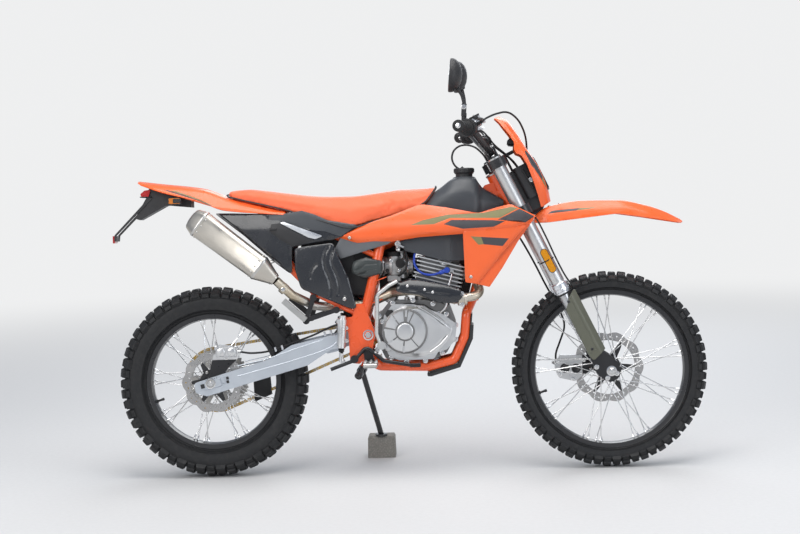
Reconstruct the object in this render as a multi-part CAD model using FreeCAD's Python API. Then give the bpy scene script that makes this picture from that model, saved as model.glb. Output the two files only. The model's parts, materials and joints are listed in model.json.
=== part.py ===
import FreeCAD, Part
import math
import os

# Dirt bike, in millimetres.
# X points forward, Y to the rider's left and Z up. Every piece is modelled with the bike
# upright and the origin on the ground below the rear axle. placement() leans the whole
# onto its side stand and moves the origin to the ground below its middle.

# Overall layout
WHEELBASE = 1410.0
LEAN_DEG = 4.0
RAKE_DEG = 25.5
CLEARANCE = 0.3
RUNNING_CLEARANCE = 0.05

# Wheels
REAR_TYRE_RADIUS = 338.5
REAR_TYRE_WIDTH = 112.0
REAR_RIM_RADIUS = 240.0
REAR_RIM_INNER_RADIUS = 221.0
REAR_RIM_WIDTH = 60.0
FRONT_TYRE_RADIUS = 346.6
FRONT_TYRE_WIDTH = 86.0
FRONT_RIM_RADIUS = 279.0
FRONT_RIM_INNER_RADIUS = 261.0
FRONT_RIM_WIDTH = 48.0
KNOB_HEIGHT = 13.0
KNOB_ROWS = 30
TREAD_BLOCK_WIDTH = 44.0
RIM_WALL = 5.0
SPOKE_COUNT = 36
SPOKE_DIAMETER = 3.6
HUB_FLANGE_RADIUS = 34.0
HUB_CORE_RADIUS = 22.0
REAR_HUB_HALF_WIDTH = 40.0
FRONT_HUB_HALF_WIDTH = 36.0
AXLE_DIAMETER = 20.0
DISC_THICKNESS = 4.0
REAR_DISC_RADIUS = 110.0
REAR_DISC_Y = -58.0
FRONT_DISC_RADIUS = 128.0
FRONT_DISC_Y = 58.0
DISC_CLEARANCE = 5.0
DISC_BOLT_RADIUS = 42.0
HUB_END_RADIUS = 30.0

# Steering and fork, measured along the steering axis
FORK_OFFSET = 24.0
AXLE_LEAD = 26.0
FORK_SPACING = 206.0
FORK_TUBE_DIAMETER = 50.0
FORK_RING_DIAMETER = 57.0
FORK_LEG_DIAMETER = 40.0
FORK_TUBE_BOTTOM = 325.0
FORK_TOP = 850.0
LOWER_CLAMP_BOTTOM = 622.0
LOWER_CLAMP_HEIGHT = 34.0
UPPER_CLAMP_HEIGHT = 32.0
UPPER_CLAMP_BOTTOM = FORK_TOP - UPPER_CLAMP_HEIGHT - 6.0
HEAD_TUBE_DIAMETER = 56.0
STEM_DIAMETER = 30.0
BAR_DIAMETER = 26.0
GRIP_DIAMETER = 34.0
MIRROR_RADIUS = 58.0
BAR_CLAMP_RISE = FORK_TOP + 18.0
BAR_CLAMP_FORWARD = 24.0
VENT_HOSE_DIAMETER = 7.0

# Frame tubes
BACKBONE_DIAMETER = 50.0
UPRIGHT_DIAMETER = 36.0
CRADLE_DIAMETER = 33.0
DOWN_TUBE_DIAMETER = 38.0
SUBFRAME_DIAMETER = 22.0
UPRIGHT_Y = 98.0
SUBFRAME_TOP_Y = 90.0
CRADLE_Y = 78.0
PIVOT_X = 562.0
PIVOT_Z = 495.0
PIVOT_DIAMETER = 16.0
PIVOT_PLATE_Y = 106.0
PIVOT_PLATE_THICKNESS = 12.0

# Swingarm and chain
ARM_INNER_Y = 84.0
ARM_THICKNESS = 28.0
LUG_INNER_Y = 30.0
LUG_THICKNESS = 26.0
CHAIN_Y = 71.0
CHAIN_WIDTH = 15.0
CHAIN_HEIGHT = 15.0
CHAIN_PITCH = 15.875
LINK_NOTCH = 2.5
REAR_SPROCKET_TEETH = 45
FRONT_SPROCKET_TEETH = 13
SPROCKET_THICKNESS = 6.0
FRONT_SPROCKET_X = 606.0
FRONT_SPROCKET_Z = 505.0

# Engine
ENGINE_RIGHT_Y = -88.0
ENGINE_LEFT_Y = 88.0
ENGINE_SPROCKET_SIDE_Y = 54.0
PORT_Y = -34.0
PORT_DIAMETER = 46.0
PORT_HEIGHT = 112.0
COVER_DEPTH = 22.0
CLUTCH_RIB_ANGLES = (85, 130, 175, 215, 265)
CYLINDER_TILT_DEG = 15.0
CYLINDER_BASE_X = 790.0
CYLINDER_BASE_Z = 612.0
FIN_COUNT = 9
FIN_PITCH = 14.0
FIN_THICKNESS = 4.0
FIN_LENGTH = 178.0
FIN_WIDTH = 150.0
BARREL_LENGTH = 126.0
BARREL_WIDTH = 110.0
PLUG_REACH = 30.0

# Body panels
PANEL_THICKNESS = 4.0
TAIL_HALF_WIDTH = 34.0

# Side stand
STAND_PIVOT = (522.0, 124.0, 354.0)
STAND_FOOT = (579.0, 256.0, 98.0)
STAND_FOLDED = (-0.95, 0.30, 0.08)
STAND_DIAMETER = 20.0
STAND_EYE_DIAMETER = 34.0
STAND_EYE_LENGTH = 22.0
STAND_BOLT_DIAMETER = 12.0
BLOCK_LENGTH = 103.0
BLOCK_WIDTH = 81.0
BLOCK_OUTWARD = 28.0

# Routes and tables
BACKBONE_LINE = [(790, 882), (612, 812)]
CRADLE_LINE = [(770, 376), (862, 398), (900, 480), (908, 560)]
SHOCK_TOP = (576.0, 662.0)
SHOCK_TUBE_DIAMETER = 28.0
PILLION_BOLTS = ((372, 631), (452, 586))
PILLION_INNER_Y = UPRIGHT_Y + SUBFRAME_DIAMETER / 2.0
EXHAUST_DIAMETER = 32.0
EXHAUST_ROUTE = [
    (962, -114, 624), (868, -134, 612), (720, -130, 648), (650, -62, 640), (560, -58, 602),
    (440, -60, 592), (372, -80, 602), (300, -132, 642), (247, -156, 696),
]
SILENCER_AXIS = (0.786, -0.619)
TUNNEL_CLEARANCE = 6.0
# Columns: x, crown z, crown half width, edge z, edge half width
REAR_FENDER = (
    (-250, 1056, 26, 1051, 40), (-169, 1045, 46, 1020, 74), (-18, 1024, 58, 978, 94),
    (66, 994, 60, 946, 102), (284, 936, 66, 925, 108),
)
# The same columns, with x measured from the front axle
FRONT_FENDER = (
    (-252, 899, 34, 872, 48), (-204, 928, 40, 872, 60), (-80, 946, 44, 886, 72),
    (47, 944, 46, 896, 78), (133, 926, 42, 878, 74), (272, 868, 30, 858, 44),
)
# Columns: up the steering axis, forward of it, left of it
BAR_ROUTE = [(BAR_CLAMP_RISE, BAR_CLAMP_FORWARD, 0), (BAR_CLAMP_RISE, BAR_CLAMP_FORWARD, 86),
             (BAR_CLAMP_RISE + 104, -2, 196), (BAR_CLAMP_RISE + 124, -41, 400)]
# Columns: up the steering axis, forward of it, left of it
FRONT_HOSE = [
    (977, 12, -230), (985, 82, -175), (975, 142, -100), (932, 166, -30), (872, 166, 40),
    (808, 140, 104), (742, 84, 132), (682, 8, 142), (620, -24, 132), (540, -16, 119),
    (450, -12, 117), (360, -13, 116), (270, -8, 114), (200, -14, 112), (158, -58, 106),
    (126, -94, 96), (96, -108, 86),
]
# Columns: up the steering axis, forward of it, right of it; from each switch housing
CLUTCH_CABLE = [
    (977, 12, -232), (968, 34, -176), (940, 36, -122), (904, 42, -84), (862, 62, -54),
    (822, 80, -36), (778, 88, -26),
]
THROTTLE_CABLE = [
    (956, 4, 250), (952, 28, 192), (926, 38, 132), (890, 46, 86), (850, 66, 56),
    (812, 82, 36), (778, 88, 30),
]
# From the plug cap round the fins' rear and up into the tank's underside
PLUG_LEAD = [
    (786, -100, 697), (750, -96, 707), (728, -86, 738), (731, -77.5, 776), (752, -72, 812),
    (786, -62, 856),
]
# From the cap, over and down into the steering stem
VENT_HOSE = [
    (906, 0, 1066), (882, 0, 1081), (870.5, 0, 1108), (877, 0, 1136), (899, 0, 1154),
    (928, 0, 1157), (955, 0, 1148), (973, 0, 1132.5), (988, 0, 1115), (1003, 0, 1083.9),
]
REAR_HOSE = [
    (458, -133, 536), (438, -128, 530), (414, -112, 520), (372, -99, 500), (320, -98, 482),
    (262, -99, 462), (200, -98, 443), (140, -97, 440), (98, -92, 448),
]

RAKE = math.radians(RAKE_DEG)
LEAN = math.radians(LEAN_DEG)
REAR_AXLE = FreeCAD.Vector(0.0, 0.0, REAR_TYRE_RADIUS)
FRONT_AXLE = FreeCAD.Vector(WHEELBASE, 0.0, FRONT_TYRE_RADIUS)
STEER_UP = FreeCAD.Vector(-math.sin(RAKE), 0.0, math.cos(RAKE))
STEER_FORWARD = FreeCAD.Vector(math.cos(RAKE), 0.0, math.sin(RAKE))
STEER_BASE = FRONT_AXLE - STEER_FORWARD * (FORK_OFFSET + AXLE_LEAD)
FORK_Y = FORK_SPACING / 2.0
FOOT_OUTER_Y = FORK_Y + FORK_LEG_DIAMETER / 2.0 + CLEARANCE


def vec(x, y, z):
    return FreeCAD.Vector(x, y, z)


def unit(vector):
    return vector * (1.0 / vector.Length)


def on_fork(up, forward, left):
    """Point at a distance up the steering axis, forward of it and to its left."""
    return STEER_BASE + STEER_UP * up + STEER_FORWARD * forward + vec(0, left, 0)


def fuse(shapes):
    joined = shapes[0].multiFuse(shapes[1:]) if len(shapes) > 1 else shapes[0]
    return joined.removeSplitter()


def both_sides(shape):
    """The shape and its mirror image across the middle plane, as two solids."""
    mirrored = shape.mirror(vec(0, 0, 0), vec(0, 1, 0))
    return Part.makeCompound([shape, mirrored])


def mirror_solid(shape):
    return shape.mirror(vec(0, 0, 0), vec(0, 1, 0))


def rod(start, end, diameter):
    return Part.makeCylinder(diameter / 2.0, (end - start).Length, start, end - start)


def cross_rod(x, z, y_from, y_to, diameter):
    return rod(vec(x, y_from, z), vec(x, y_to, z), diameter)


def arc_path(points, radii):
    """Straight runs between the points, joined by tangent arcs of the given radii."""
    edges = []
    last = points[0]
    for before, corner, after, radius in zip(points, points[1:], points[2:], radii):
        arriving = unit(corner - before)
        leaving = unit(after - corner)
        half_turn = arriving.getAngle(leaving) / 2.0
        reach = radius * math.tan(half_turn)
        start = corner - arriving * reach
        end = corner + leaving * reach
        inward = unit(leaving - arriving)
        middle = corner + inward * (radius / math.cos(half_turn) - radius)
        edges.append(Part.LineSegment(last, start).toShape())
        edges.append(Part.Arc(start, middle, end).toShape())
        last = end
    edges.append(Part.LineSegment(last, points[-1]).toShape())
    return Part.Wire(edges)


def swept(points, radii, diameter):
    path = arc_path(points, radii)
    ring = Part.Circle(points[0], points[1] - points[0], diameter / 2.0).toShape()
    return path.makePipeShell([Part.Wire([ring])], True, True)


def bent_tube(points, diameter, bend):
    """Rigid tube with the same bend radius at every corner."""
    return swept([vec(*p) for p in points], [bend] * (len(points) - 2), diameter)


def cable(route, diameter):
    """Flexible hose: each arc is as large as its two runs allow."""
    radii = []
    for before, corner, after in zip(route, route[1:], route[2:]):
        half_turn = unit(corner - before).getAngle(unit(after - corner)) / 2.0
        shorter = min((corner - before).Length, (after - corner).Length)
        radii.append(0.45 * shorter / math.tan(half_turn))
    print("hose radii", [round(radius, 1) for radius in radii])
    return swept(route, radii, diameter)


def rounded_wire(corners):
    """Closed wire through corners given as (point, radius)."""
    edges = []
    ends = []
    count = len(corners)
    for index, (corner, radius) in enumerate(corners):
        before = corners[index - 1][0]
        after = corners[(index + 1) % count][0]
        if radius == 0:
            ends.append((corner, corner, None))
            continue
        arriving = unit(corner - before)
        leaving = unit(after - corner)
        half_turn = arriving.getAngle(leaving) / 2.0
        reach = radius * math.tan(half_turn)
        inward = unit(leaving - arriving)
        middle = corner + inward * (radius / math.cos(half_turn) - radius)
        ends.append((corner - arriving * reach, corner + leaving * reach, middle))
    for index, (start, end, middle) in enumerate(ends):
        if middle is not None:
            edges.append(Part.Arc(start, middle, end).toShape())
        following = ends[(index + 1) % count][0]
        if (following - end).Length > 1e-6:
            edges.append(Part.LineSegment(end, following).toShape())
    return Part.Wire(edges)


def side_plate(corners, y_from, y_to):
    """Plate in the side view: corners are (x, z, corner radius)."""
    wire = rounded_wire([(vec(x, y_from, z), radius) for x, z, radius in corners])
    return Part.Face(wire).extrude(vec(0, y_to - y_from, 0))


def clamp_plate(corners, up_from, height):
    """Plate square to the steering axis: corners are (forward, left, corner radius)."""
    wire = rounded_wire([(on_fork(up_from, f, y), radius) for f, y, radius in corners])
    return Part.Face(wire).extrude(STEER_UP * height)


def loft(sections):
    wires = [Part.makePolygon(section + [section[0]]) for section in sections]
    return Part.makeLoft(wires, True, True)


def turned(profile, centre, axis=FreeCAD.Vector(0, 1, 0), outward=FreeCAD.Vector(1, 0, 0)):
    """Solid of revolution about an axis: profile rows are (radius, distance along it)."""
    points = [centre + outward * radius + axis * along for radius, along in profile]
    face = Part.Face(Part.makePolygon(points + [points[0]]))
    return face.revolve(centre, axis, 360)


def annulus(outer_radius, inner_radius, y_from, y_to, centre):
    base = centre + vec(0, y_from, 0)
    outer = Part.makeCylinder(outer_radius, y_to - y_from, base, vec(0, 1, 0))
    return outer.cut(Part.makeCylinder(inner_radius, y_to - y_from, base, vec(0, 1, 0)))


def around(centre, radius, angle_deg, y):
    angle = math.radians(angle_deg)
    return centre + vec(radius * math.cos(angle), y, radius * math.sin(angle))


# Wheels


def tyre(centre, radius, width, rim_radius, rim_width):
    """Flat-sided tyre with one raised block on each tread facet, in turn on the crown
    and on both shoulders."""
    facets = 2 * KNOB_ROWS
    step = 360.0 / facets
    carcass = radius - KNOB_HEIGHT
    bead = rim_radius + CLEARANCE
    half = width / 2.0
    crown_half = TREAD_BLOCK_WIDTH / 2.0 + 2.0
    side_radius = bead + 0.45 * (carcass - bead)
    shoulder_radius = carcass - 0.16 * (carcass - bead)
    # Section from the left bead over the tread to the right bead: (radius, y)
    section = [
        (bead, rim_width / 2.0 - 4.0),
        (side_radius, half - 8.0),
        (shoulder_radius, half - 4.0),
        (carcass, crown_half),
        (carcass, -crown_half),
        (shoulder_radius, -half + 4.0),
        (side_radius, -half + 8.0),
        (bead, -rim_width / 2.0 + 4.0),
    ]
    flat = 1.0 / math.cos(math.radians(step / 2.0))
    faces = []
    for facet in range(facets):
        middle_angle = -90.0 + facet * step
        left_angle, right_angle = middle_angle - step / 2.0, middle_angle + step / 2.0
        outward = around(vec(0, 0, 0), 1.0, middle_angle, 0)
        for row in range(len(section)):
            (radius_a, y_a), (radius_b, y_b) = section[row], section[(row + 1) % len(section)]
            quad = [around(centre, radius_a * flat, left_angle, y_a),
                    around(centre, radius_b * flat, left_angle, y_b),
                    around(centre, radius_b * flat, right_angle, y_b),
                    around(centre, radius_a * flat, right_angle, y_a)]
            crown_row = row == 3 and facet % 2 == 0
            shoulder_row = row in (2, 4) and facet % 2 == 1
            if crown_row or shoulder_row:
                faces.extend(block_faces(quad, outward, row - 3, KNOB_HEIGHT))
            else:
                faces.append(Part.Face(Part.makePolygon(quad + [quad[0]])))
    return Part.makeSolid(Part.makeShell(faces))


def block_faces(quad, outward, side, height):
    """Faces of a tread facet with a raised block: side is -1, 0 or 1 from left to right."""
    middle = (quad[0] + quad[1] + quad[2] + quad[3]) * 0.25
    along = (quad[3] + quad[2] - quad[0] - quad[1]) * 0.5
    across = (quad[1] + quad[2] - quad[0] - quad[3]) * 0.5
    length = along * 0.36
    breadth = across * (0.42 if side else TREAD_BLOCK_WIDTH / across.Length * 0.5)
    foot = [middle - length - breadth, middle - length + breadth,
            middle + length + breadth, middle + length - breadth]
    normal = outward if side == 0 else unit(outward * 0.75 + unit(across) * 0.5 * side)
    top = [point + normal * height for point in foot]
    plain = Part.Face(Part.makePolygon(quad + [quad[0]]))
    footprint = Part.Face(Part.makePolygon(foot + [foot[0]]))
    walls = []
    for index in range(4):
        after = (index + 1) % 4
        wall = [foot[index], foot[after], top[after], top[index]]
        walls.append(Part.Face(Part.makePolygon(wall + [wall[0]])))
    return plain.cut(footprint).Faces + [Part.Face(Part.makePolygon(top + [top[0]]))] + walls


def rim(centre, outer_radius, inner_radius, width):
    half = width / 2.0
    floor = inner_radius + RIM_WALL
    profile = [
        (inner_radius, half * 0.35), (inner_radius + 4.0, half), (outer_radius, half),
        (outer_radius, half - 4.0), (floor + 5.0, half - 4.0), (floor, half * 0.3),
        (floor, -half * 0.3), (floor + 5.0, -half + 4.0), (outer_radius, -half + 4.0),
        (outer_radius, -half), (inner_radius + 4.0, -half), (inner_radius, -half * 0.35),
    ]
    return turned(profile, centre)


def hub(centre, half_width, right_end, left_end):
    """Hub with two spoke flanges; its ends reach the disc, the sprocket or the spacer."""
    bore = AXLE_DIAMETER / 2.0 + RUNNING_CLEARANCE
    flange = 6.0
    left = [(bore, left_end), (HUB_END_RADIUS, left_end), (HUB_END_RADIUS, half_width),
            (HUB_FLANGE_RADIUS, half_width), (HUB_FLANGE_RADIUS, half_width - flange),
            (HUB_CORE_RADIUS, half_width - 2 * flange)]
    right = [(HUB_CORE_RADIUS, -half_width + 2 * flange), (HUB_FLANGE_RADIUS, -half_width + flange),
             (HUB_FLANGE_RADIUS, -half_width), (HUB_END_RADIUS, -half_width),
             (HUB_END_RADIUS, right_end), (bore, right_end)]
    return turned(left + right, centre)


def spokes(centre, hub_half_width, rim_inner_radius):
    """Crossed wire spokes, from both hub flanges to the rim."""
    pairs = SPOKE_COUNT // 4
    pitch = 360.0 / pairs
    hub_radius = HUB_FLANGE_RADIUS + CLEARANCE + SPOKE_DIAMETER / 2.0
    rim_radius = rim_inner_radius - CLEARANCE - SPOKE_DIAMETER / 4.0
    swing = 52.0
    wires = []
    # Columns: side, distance in from the hub's end, lacing direction, start angle
    for side, inset, direction, first in ((1, 0.5, 1, 0.0), (1, 6.5, -1, 0.5),
                                          (-1, 0.5, 1, 0.25), (-1, 6.5, -1, 0.75)):
        for pair in range(pairs):
            hub_angle = (pair + first) * pitch
            hub_end = around(centre, hub_radius, hub_angle, side * (hub_half_width - inset))
            rim_end = around(centre, rim_radius, hub_angle + direction * swing, side * 5.0)
            wires.append(rod(hub_end, rim_end, SPOKE_DIAMETER))
    return Part.makeCompound(wires)


def brake_disc(centre, radius, y):
    y_from, y_to = y - DISC_THICKNESS / 2.0, y + DISC_THICKNESS / 2.0
    track = annulus(radius, radius - 34.0, y_from, y_to, centre)
    carrier = annulus(DISC_BOLT_RADIUS, AXLE_DIAMETER / 2.0 + 3.0, y_from, y_to, centre)
    arms = []
    for index in range(6):
        start = around(centre, DISC_BOLT_RADIUS - 6.0, index * 60.0, y)
        end = around(centre, radius - 30.0, index * 60.0 + 20.0, y)
        arms.append(flat_bar(start, end, 12.0, y_from, y_to))
    return fuse([track, carrier] + arms)


def flat_bar(start, end, width, y_from, y_to):
    """Flat bar in the side view between two points."""
    along = unit(vec(end.x - start.x, 0, end.z - start.z))
    aside = vec(-along.z, 0, along.x) * (width / 2.0)
    corners = [start - aside, start + aside, end + aside, end - aside]
    return side_plate([(p.x, p.z, 0) for p in corners], y_from, y_to)


def pitch_radius(teeth):
    return CHAIN_PITCH / (2.0 * math.sin(math.pi / teeth))


def rear_sprocket():
    radius = pitch_radius(REAR_SPROCKET_TEETH) - CHAIN_HEIGHT / 2.0 - CLEARANCE
    y_from, y_to = CHAIN_Y - SPROCKET_THICKNESS / 2.0, CHAIN_Y + SPROCKET_THICKNESS / 2.0
    ring = annulus(radius, radius - 22.0, y_from, y_to, REAR_AXLE)
    carrier = annulus(DISC_BOLT_RADIUS, AXLE_DIAMETER / 2.0 + 3.0, y_from, y_to, REAR_AXLE)
    arms = []
    for index in range(6):
        start = around(REAR_AXLE, DISC_BOLT_RADIUS - 6.0, index * 60.0 + 30.0, CHAIN_Y)
        end = around(REAR_AXLE, radius - 18.0, index * 60.0 + 30.0, CHAIN_Y)
        arms.append(flat_bar(start, end, 14.0, y_from, y_to))
    return fuse([ring, carrier] + arms)


def front_sprocket():
    centre = vec(FRONT_SPROCKET_X, 0, FRONT_SPROCKET_Z)
    radius = pitch_radius(FRONT_SPROCKET_TEETH) - CHAIN_HEIGHT / 2.0 - CLEARANCE
    y_from, y_to = CHAIN_Y - SPROCKET_THICKNESS / 2.0, CHAIN_Y + SPROCKET_THICKNESS / 2.0
    wheel = annulus(radius, 8.0, y_from, y_to, centre)
    shaft = cross_rod(centre.x, centre.z, ENGINE_SPROCKET_SIDE_Y, y_to + 4.0, 22.0)
    return fuse([wheel, shaft])


def chain():
    """Closed loop of chain round both sprockets, with a raised outline at every second link."""
    rear_radius = pitch_radius(REAR_SPROCKET_TEETH)
    front_radius = pitch_radius(FRONT_SPROCKET_TEETH)
    middle = belt_wire(rear_radius, front_radius)
    pairs = round(middle.Length / CHAIN_PITCH / 2.0)
    steps = 8
    line = middle.discretize(Number=pairs * steps + 1)[:-1]
    outline = []
    for pair in range(pairs):
        # Columns: eighth of the pair of links, height beyond the centre line
        for step, height in ((0, CHAIN_HEIGHT / 2.0), (3, CHAIN_HEIGHT / 2.0),
                             (4, CHAIN_HEIGHT / 2.0 - LINK_NOTCH),
                             (7, CHAIN_HEIGHT / 2.0 - LINK_NOTCH)):
            index = pair * steps + step
            along = unit(line[(index + 1) % len(line)] - line[index - 1])
            outline.append(line[index] + vec(-along.z, 0, along.x) * height)
    across = vec(0, CHAIN_WIDTH, 0)
    outer = Part.Face(Part.makePolygon(outline + [outline[0]])).extrude(across)
    inner = Part.Face(belt_wire(rear_radius - CHAIN_HEIGHT / 2.0,
                                front_radius - CHAIN_HEIGHT / 2.0)).extrude(across)
    return outer.cut(inner)


def belt_wire(rear_radius, front_radius):
    """Outline of a belt round the two sprocket centres."""
    y = CHAIN_Y - CHAIN_WIDTH / 2.0
    rear = vec(REAR_AXLE.x, y, REAR_AXLE.z)
    front = vec(FRONT_SPROCKET_X, y, FRONT_SPROCKET_Z)
    line_angle = math.atan2(front.z - rear.z, front.x - rear.x)
    spread = math.acos((rear_radius - front_radius) / (front - rear).Length)
    upper, lower = line_angle + spread, line_angle - spread

    def point(centre, radius, angle):
        return centre + vec(radius * math.cos(angle), 0, radius * math.sin(angle))

    return Part.Wire([
        Part.LineSegment(point(rear, rear_radius, upper),
                         point(front, front_radius, upper)).toShape(),
        Part.Arc(point(front, front_radius, upper), point(front, front_radius, line_angle),
                 point(front, front_radius, lower)).toShape(),
        Part.LineSegment(point(front, front_radius, lower),
                         point(rear, rear_radius, lower)).toShape(),
        Part.Arc(point(rear, rear_radius, lower),
                 point(rear, rear_radius, line_angle + math.pi),
                 point(rear, rear_radius, upper)).toShape(),
    ])


# Frame and swingarm


def head_tube_point(share):
    """Point on the steering axis, between the clamps."""
    low = LOWER_CLAMP_BOTTOM + LOWER_CLAMP_HEIGHT + 4.0
    high = UPPER_CLAMP_BOTTOM - 4.0
    return on_fork(low + share * (high - low), 0, 0)


def backbone(diameter):
    """Top tube from the steering head to the cross tube over the carburettor."""
    head = head_tube_point(0.5)
    return bent_tube([(head.x, 0, head.z)] + [(x, 0, z) for x, z in BACKBONE_LINE], diameter,
                     120)


def frame():
    pieces = [rod(head_tube_point(0), head_tube_point(1), HEAD_TUBE_DIAMETER),
              backbone(BACKBONE_DIAMETER)]
    down_bottom = vec(934, 0, 606)
    pieces.append(rod(head_tube_point(0.42), down_bottom, DOWN_TUBE_DIAMETER))
    # Columns: x, z, half length, diameter
    for x, z, half, diameter in ((612, 812, 84, UPRIGHT_DIAMETER),
                                 (SHOCK_TOP[0], SHOCK_TOP[1], UPRIGHT_Y, SHOCK_TUBE_DIAMETER),
                                 (604, 382, CRADLE_Y, SUBFRAME_DIAMETER)):
        pieces.append(cross_rod(x, z, -half, half, diameter))
    for side in (-1, 1):
        upright = [(612, side * 82, 816), (592, side * UPRIGHT_Y, 724),
                   (560, side * UPRIGHT_Y, 600), (520, side * UPRIGHT_Y, 462)]
        cradle = [(518, side * UPRIGHT_Y, 470), (548, side * UPRIGHT_Y, 412),
                  (600, side * CRADLE_Y, 382)] + [(x, side * CRADLE_Y, z) for x, z in CRADLE_LINE]
        cradle += [(934, side * 4, 612)]
        pieces.append(bent_tube(upright, UPRIGHT_DIAMETER, 90))
        pieces.append(bent_tube(cradle, CRADLE_DIAMETER, 26))
        pieces.append(side_plate(
            [(496, 398, 8), (530, 394, 8), (574, 440, 16), (588, 500, 16), (566, 560, 20),
             (548, 606, 8), (522, 606, 8), (508, 560, 6), (452, 556, 8), (452, 524, 8),
             (492, 510, 12)],
            side * PIVOT_PLATE_Y, side * (PIVOT_PLATE_Y + PIVOT_PLATE_THICKNESS)))
    gusset = [(on_fork(up, forward, 0), radius) for up, forward, radius in (
        (730, -134, 0), (695, -28, 0), (776, -14, 0), (782, -48, 14))]
    pieces.append(side_plate([(p.x, p.z, radius) for p, radius in gusset], -26, 26))
    joined = fuse(pieces)
    stem_bore = rod(head_tube_point(-0.1), head_tube_point(1.1),
                    STEM_DIAMETER + 2 * RUNNING_CLEARANCE)
    return fuse([joined.cut(stem_bore), pivot_bolt(), stand_bracket()])


def subframe():
    """Rear frame below the seat, with lugs for the pillion pegs."""
    under_fender = 1.05 * (PANEL_THICKNESS + CLEARANCE + SUBFRAME_DIAMETER / 2.0)
    pieces = []
    for side in (-1, 1):
        upper = [(602, side * SUBFRAME_TOP_Y, 768), (430, side * 84, 858),
                 (284, side * 48, fender_crown(284) - under_fender),
                 (66, side * 44, fender_crown(66) - under_fender)]
        lower = [(536, side * UPRIGHT_Y, 564), (372, side * UPRIGHT_Y, 650),
                 (240, side * 86, 790), (190, side * 56, 930)]
        pieces.append(bent_tube(upper, SUBFRAME_DIAMETER, 100))
        pieces.append(bent_tube(lower, SUBFRAME_DIAMETER, 60))
        for x, z in PILLION_BOLTS:
            pieces.append(cross_rod(x, z + 3, side * UPRIGHT_Y, side * PILLION_INNER_Y, 24))
    for x, z, half in ((430, 858, 84), (190, 930, 56)):
        pieces.append(cross_rod(x, z, -half, half, SUBFRAME_DIAMETER))
    return fuse(pieces)


def swingarm():
    pieces = []
    for side in (-1, 1):
        inner, outer = side * ARM_INNER_Y, side * (ARM_INNER_Y + ARM_THICKNESS)
        pieces.append(side_plate(
            [(-58, 340, 8), (76, 380, 0), (207, 417, 0), (290, 466, 40), (421, 494, 30),
             (478, 500, 10), (478, 455, 10), (428, 446, 0), (345, 393, 60), (145, 338, 0),
             (-14, 293, 8), (-54, 306, 8)], inner, outer))
        lug_inner, lug_outer = side * LUG_INNER_Y, side * (LUG_INNER_Y + LUG_THICKNESS)
        pieces.append(side_plate(
            [(440, 500, 0), (PIVOT_X + 24, 520, 22), (PIVOT_X + 24, 470, 22), (440, 446, 0)],
            lug_inner, lug_outer))
    bridge = side_plate([(392, 484, 8), (474, 498, 8), (474, 444, 8), (410, 430, 8)],
                        -ARM_INNER_Y - 1, ARM_INNER_Y + 1)
    pieces.append(bridge)
    joined = fuse(pieces)
    pivot_bore = cross_rod(PIVOT_X, PIVOT_Z, -200, 200, PIVOT_DIAMETER)
    axle_slot = cross_rod(REAR_AXLE.x, REAR_AXLE.z, -200, 200, AXLE_DIAMETER)
    return joined.cut(pivot_bore).cut(axle_slot)


def pivot_bolt():
    reach = PIVOT_PLATE_Y + PIVOT_PLATE_THICKNESS
    heads = [cross_rod(PIVOT_X, PIVOT_Z, side * reach, side * (reach + 7), 28)
             for side in (-1, 1)]
    return fuse([cross_rod(PIVOT_X, PIVOT_Z, -reach, reach, PIVOT_DIAMETER)] + heads)


def rear_axle():
    reach = ARM_INNER_Y + ARM_THICKNESS
    pieces = [cross_rod(REAR_AXLE.x, REAR_AXLE.z, -reach, reach, AXLE_DIAMETER)]
    for side in (-1, 1):
        pieces.append(cross_rod(REAR_AXLE.x, REAR_AXLE.z, side * reach, side * (reach + 10), 30))
    return fuse(pieces)


def shock():
    """Damper with its spring, from the frame's cross tube down to the swingarm's bridge."""
    top, bottom = vec(SHOCK_TOP[0], 0, SHOCK_TOP[1]), vec(440, 0, 494)
    axis = unit(bottom - top)
    top = top + axis * (SHOCK_TUBE_DIAMETER / 2.0 + CLEARANCE)
    length = (bottom - top).Length
    spring_top, spring_end, coils = 16.0, length - 46.0, 9
    pitch = (spring_end - spring_top) / coils
    spring = [(16, spring_top), (25, spring_top)]
    for coil in range(coils):
        low = spring_top + coil * pitch
        spring += [(33, low + 0.3 * pitch), (33, low + 0.6 * pitch), (25, low + pitch)]
    spring.append((16, spring_end))
    pieces = [rod(top, bottom, 18), rod(top + axis * 6, top + axis * 90, 44),
              turned(spring, top, axis, vec(0, 1, 0)), rod(bottom - axis * 47, bottom - axis * 32, 60)]
    return fuse(pieces)


# Engine and exhaust


def engine_case():
    """Crankcase block, with the output shaft and its sprocket on the left."""
    right = side_plate(
        [(592, 470, 14), (622, 404, 20), (796, 404, 20), (836, 424, 16), (862, 470, 20),
         (870, 530, 20), (850, 590, 16), (764, 612, 10), (640, 612, 20), (596, 560, 20)],
        ENGINE_RIGHT_Y, ENGINE_SPROCKET_SIDE_Y)
    left = side_plate(
        [(656, 416, 20), (806, 416, 20), (850, 460, 20), (866, 520, 20), (846, 584, 20),
         (656, 600, 20)],
        ENGINE_SPROCKET_SIDE_Y - 1, ENGINE_LEFT_Y)
    return fuse([right, left, front_sprocket()])


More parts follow.
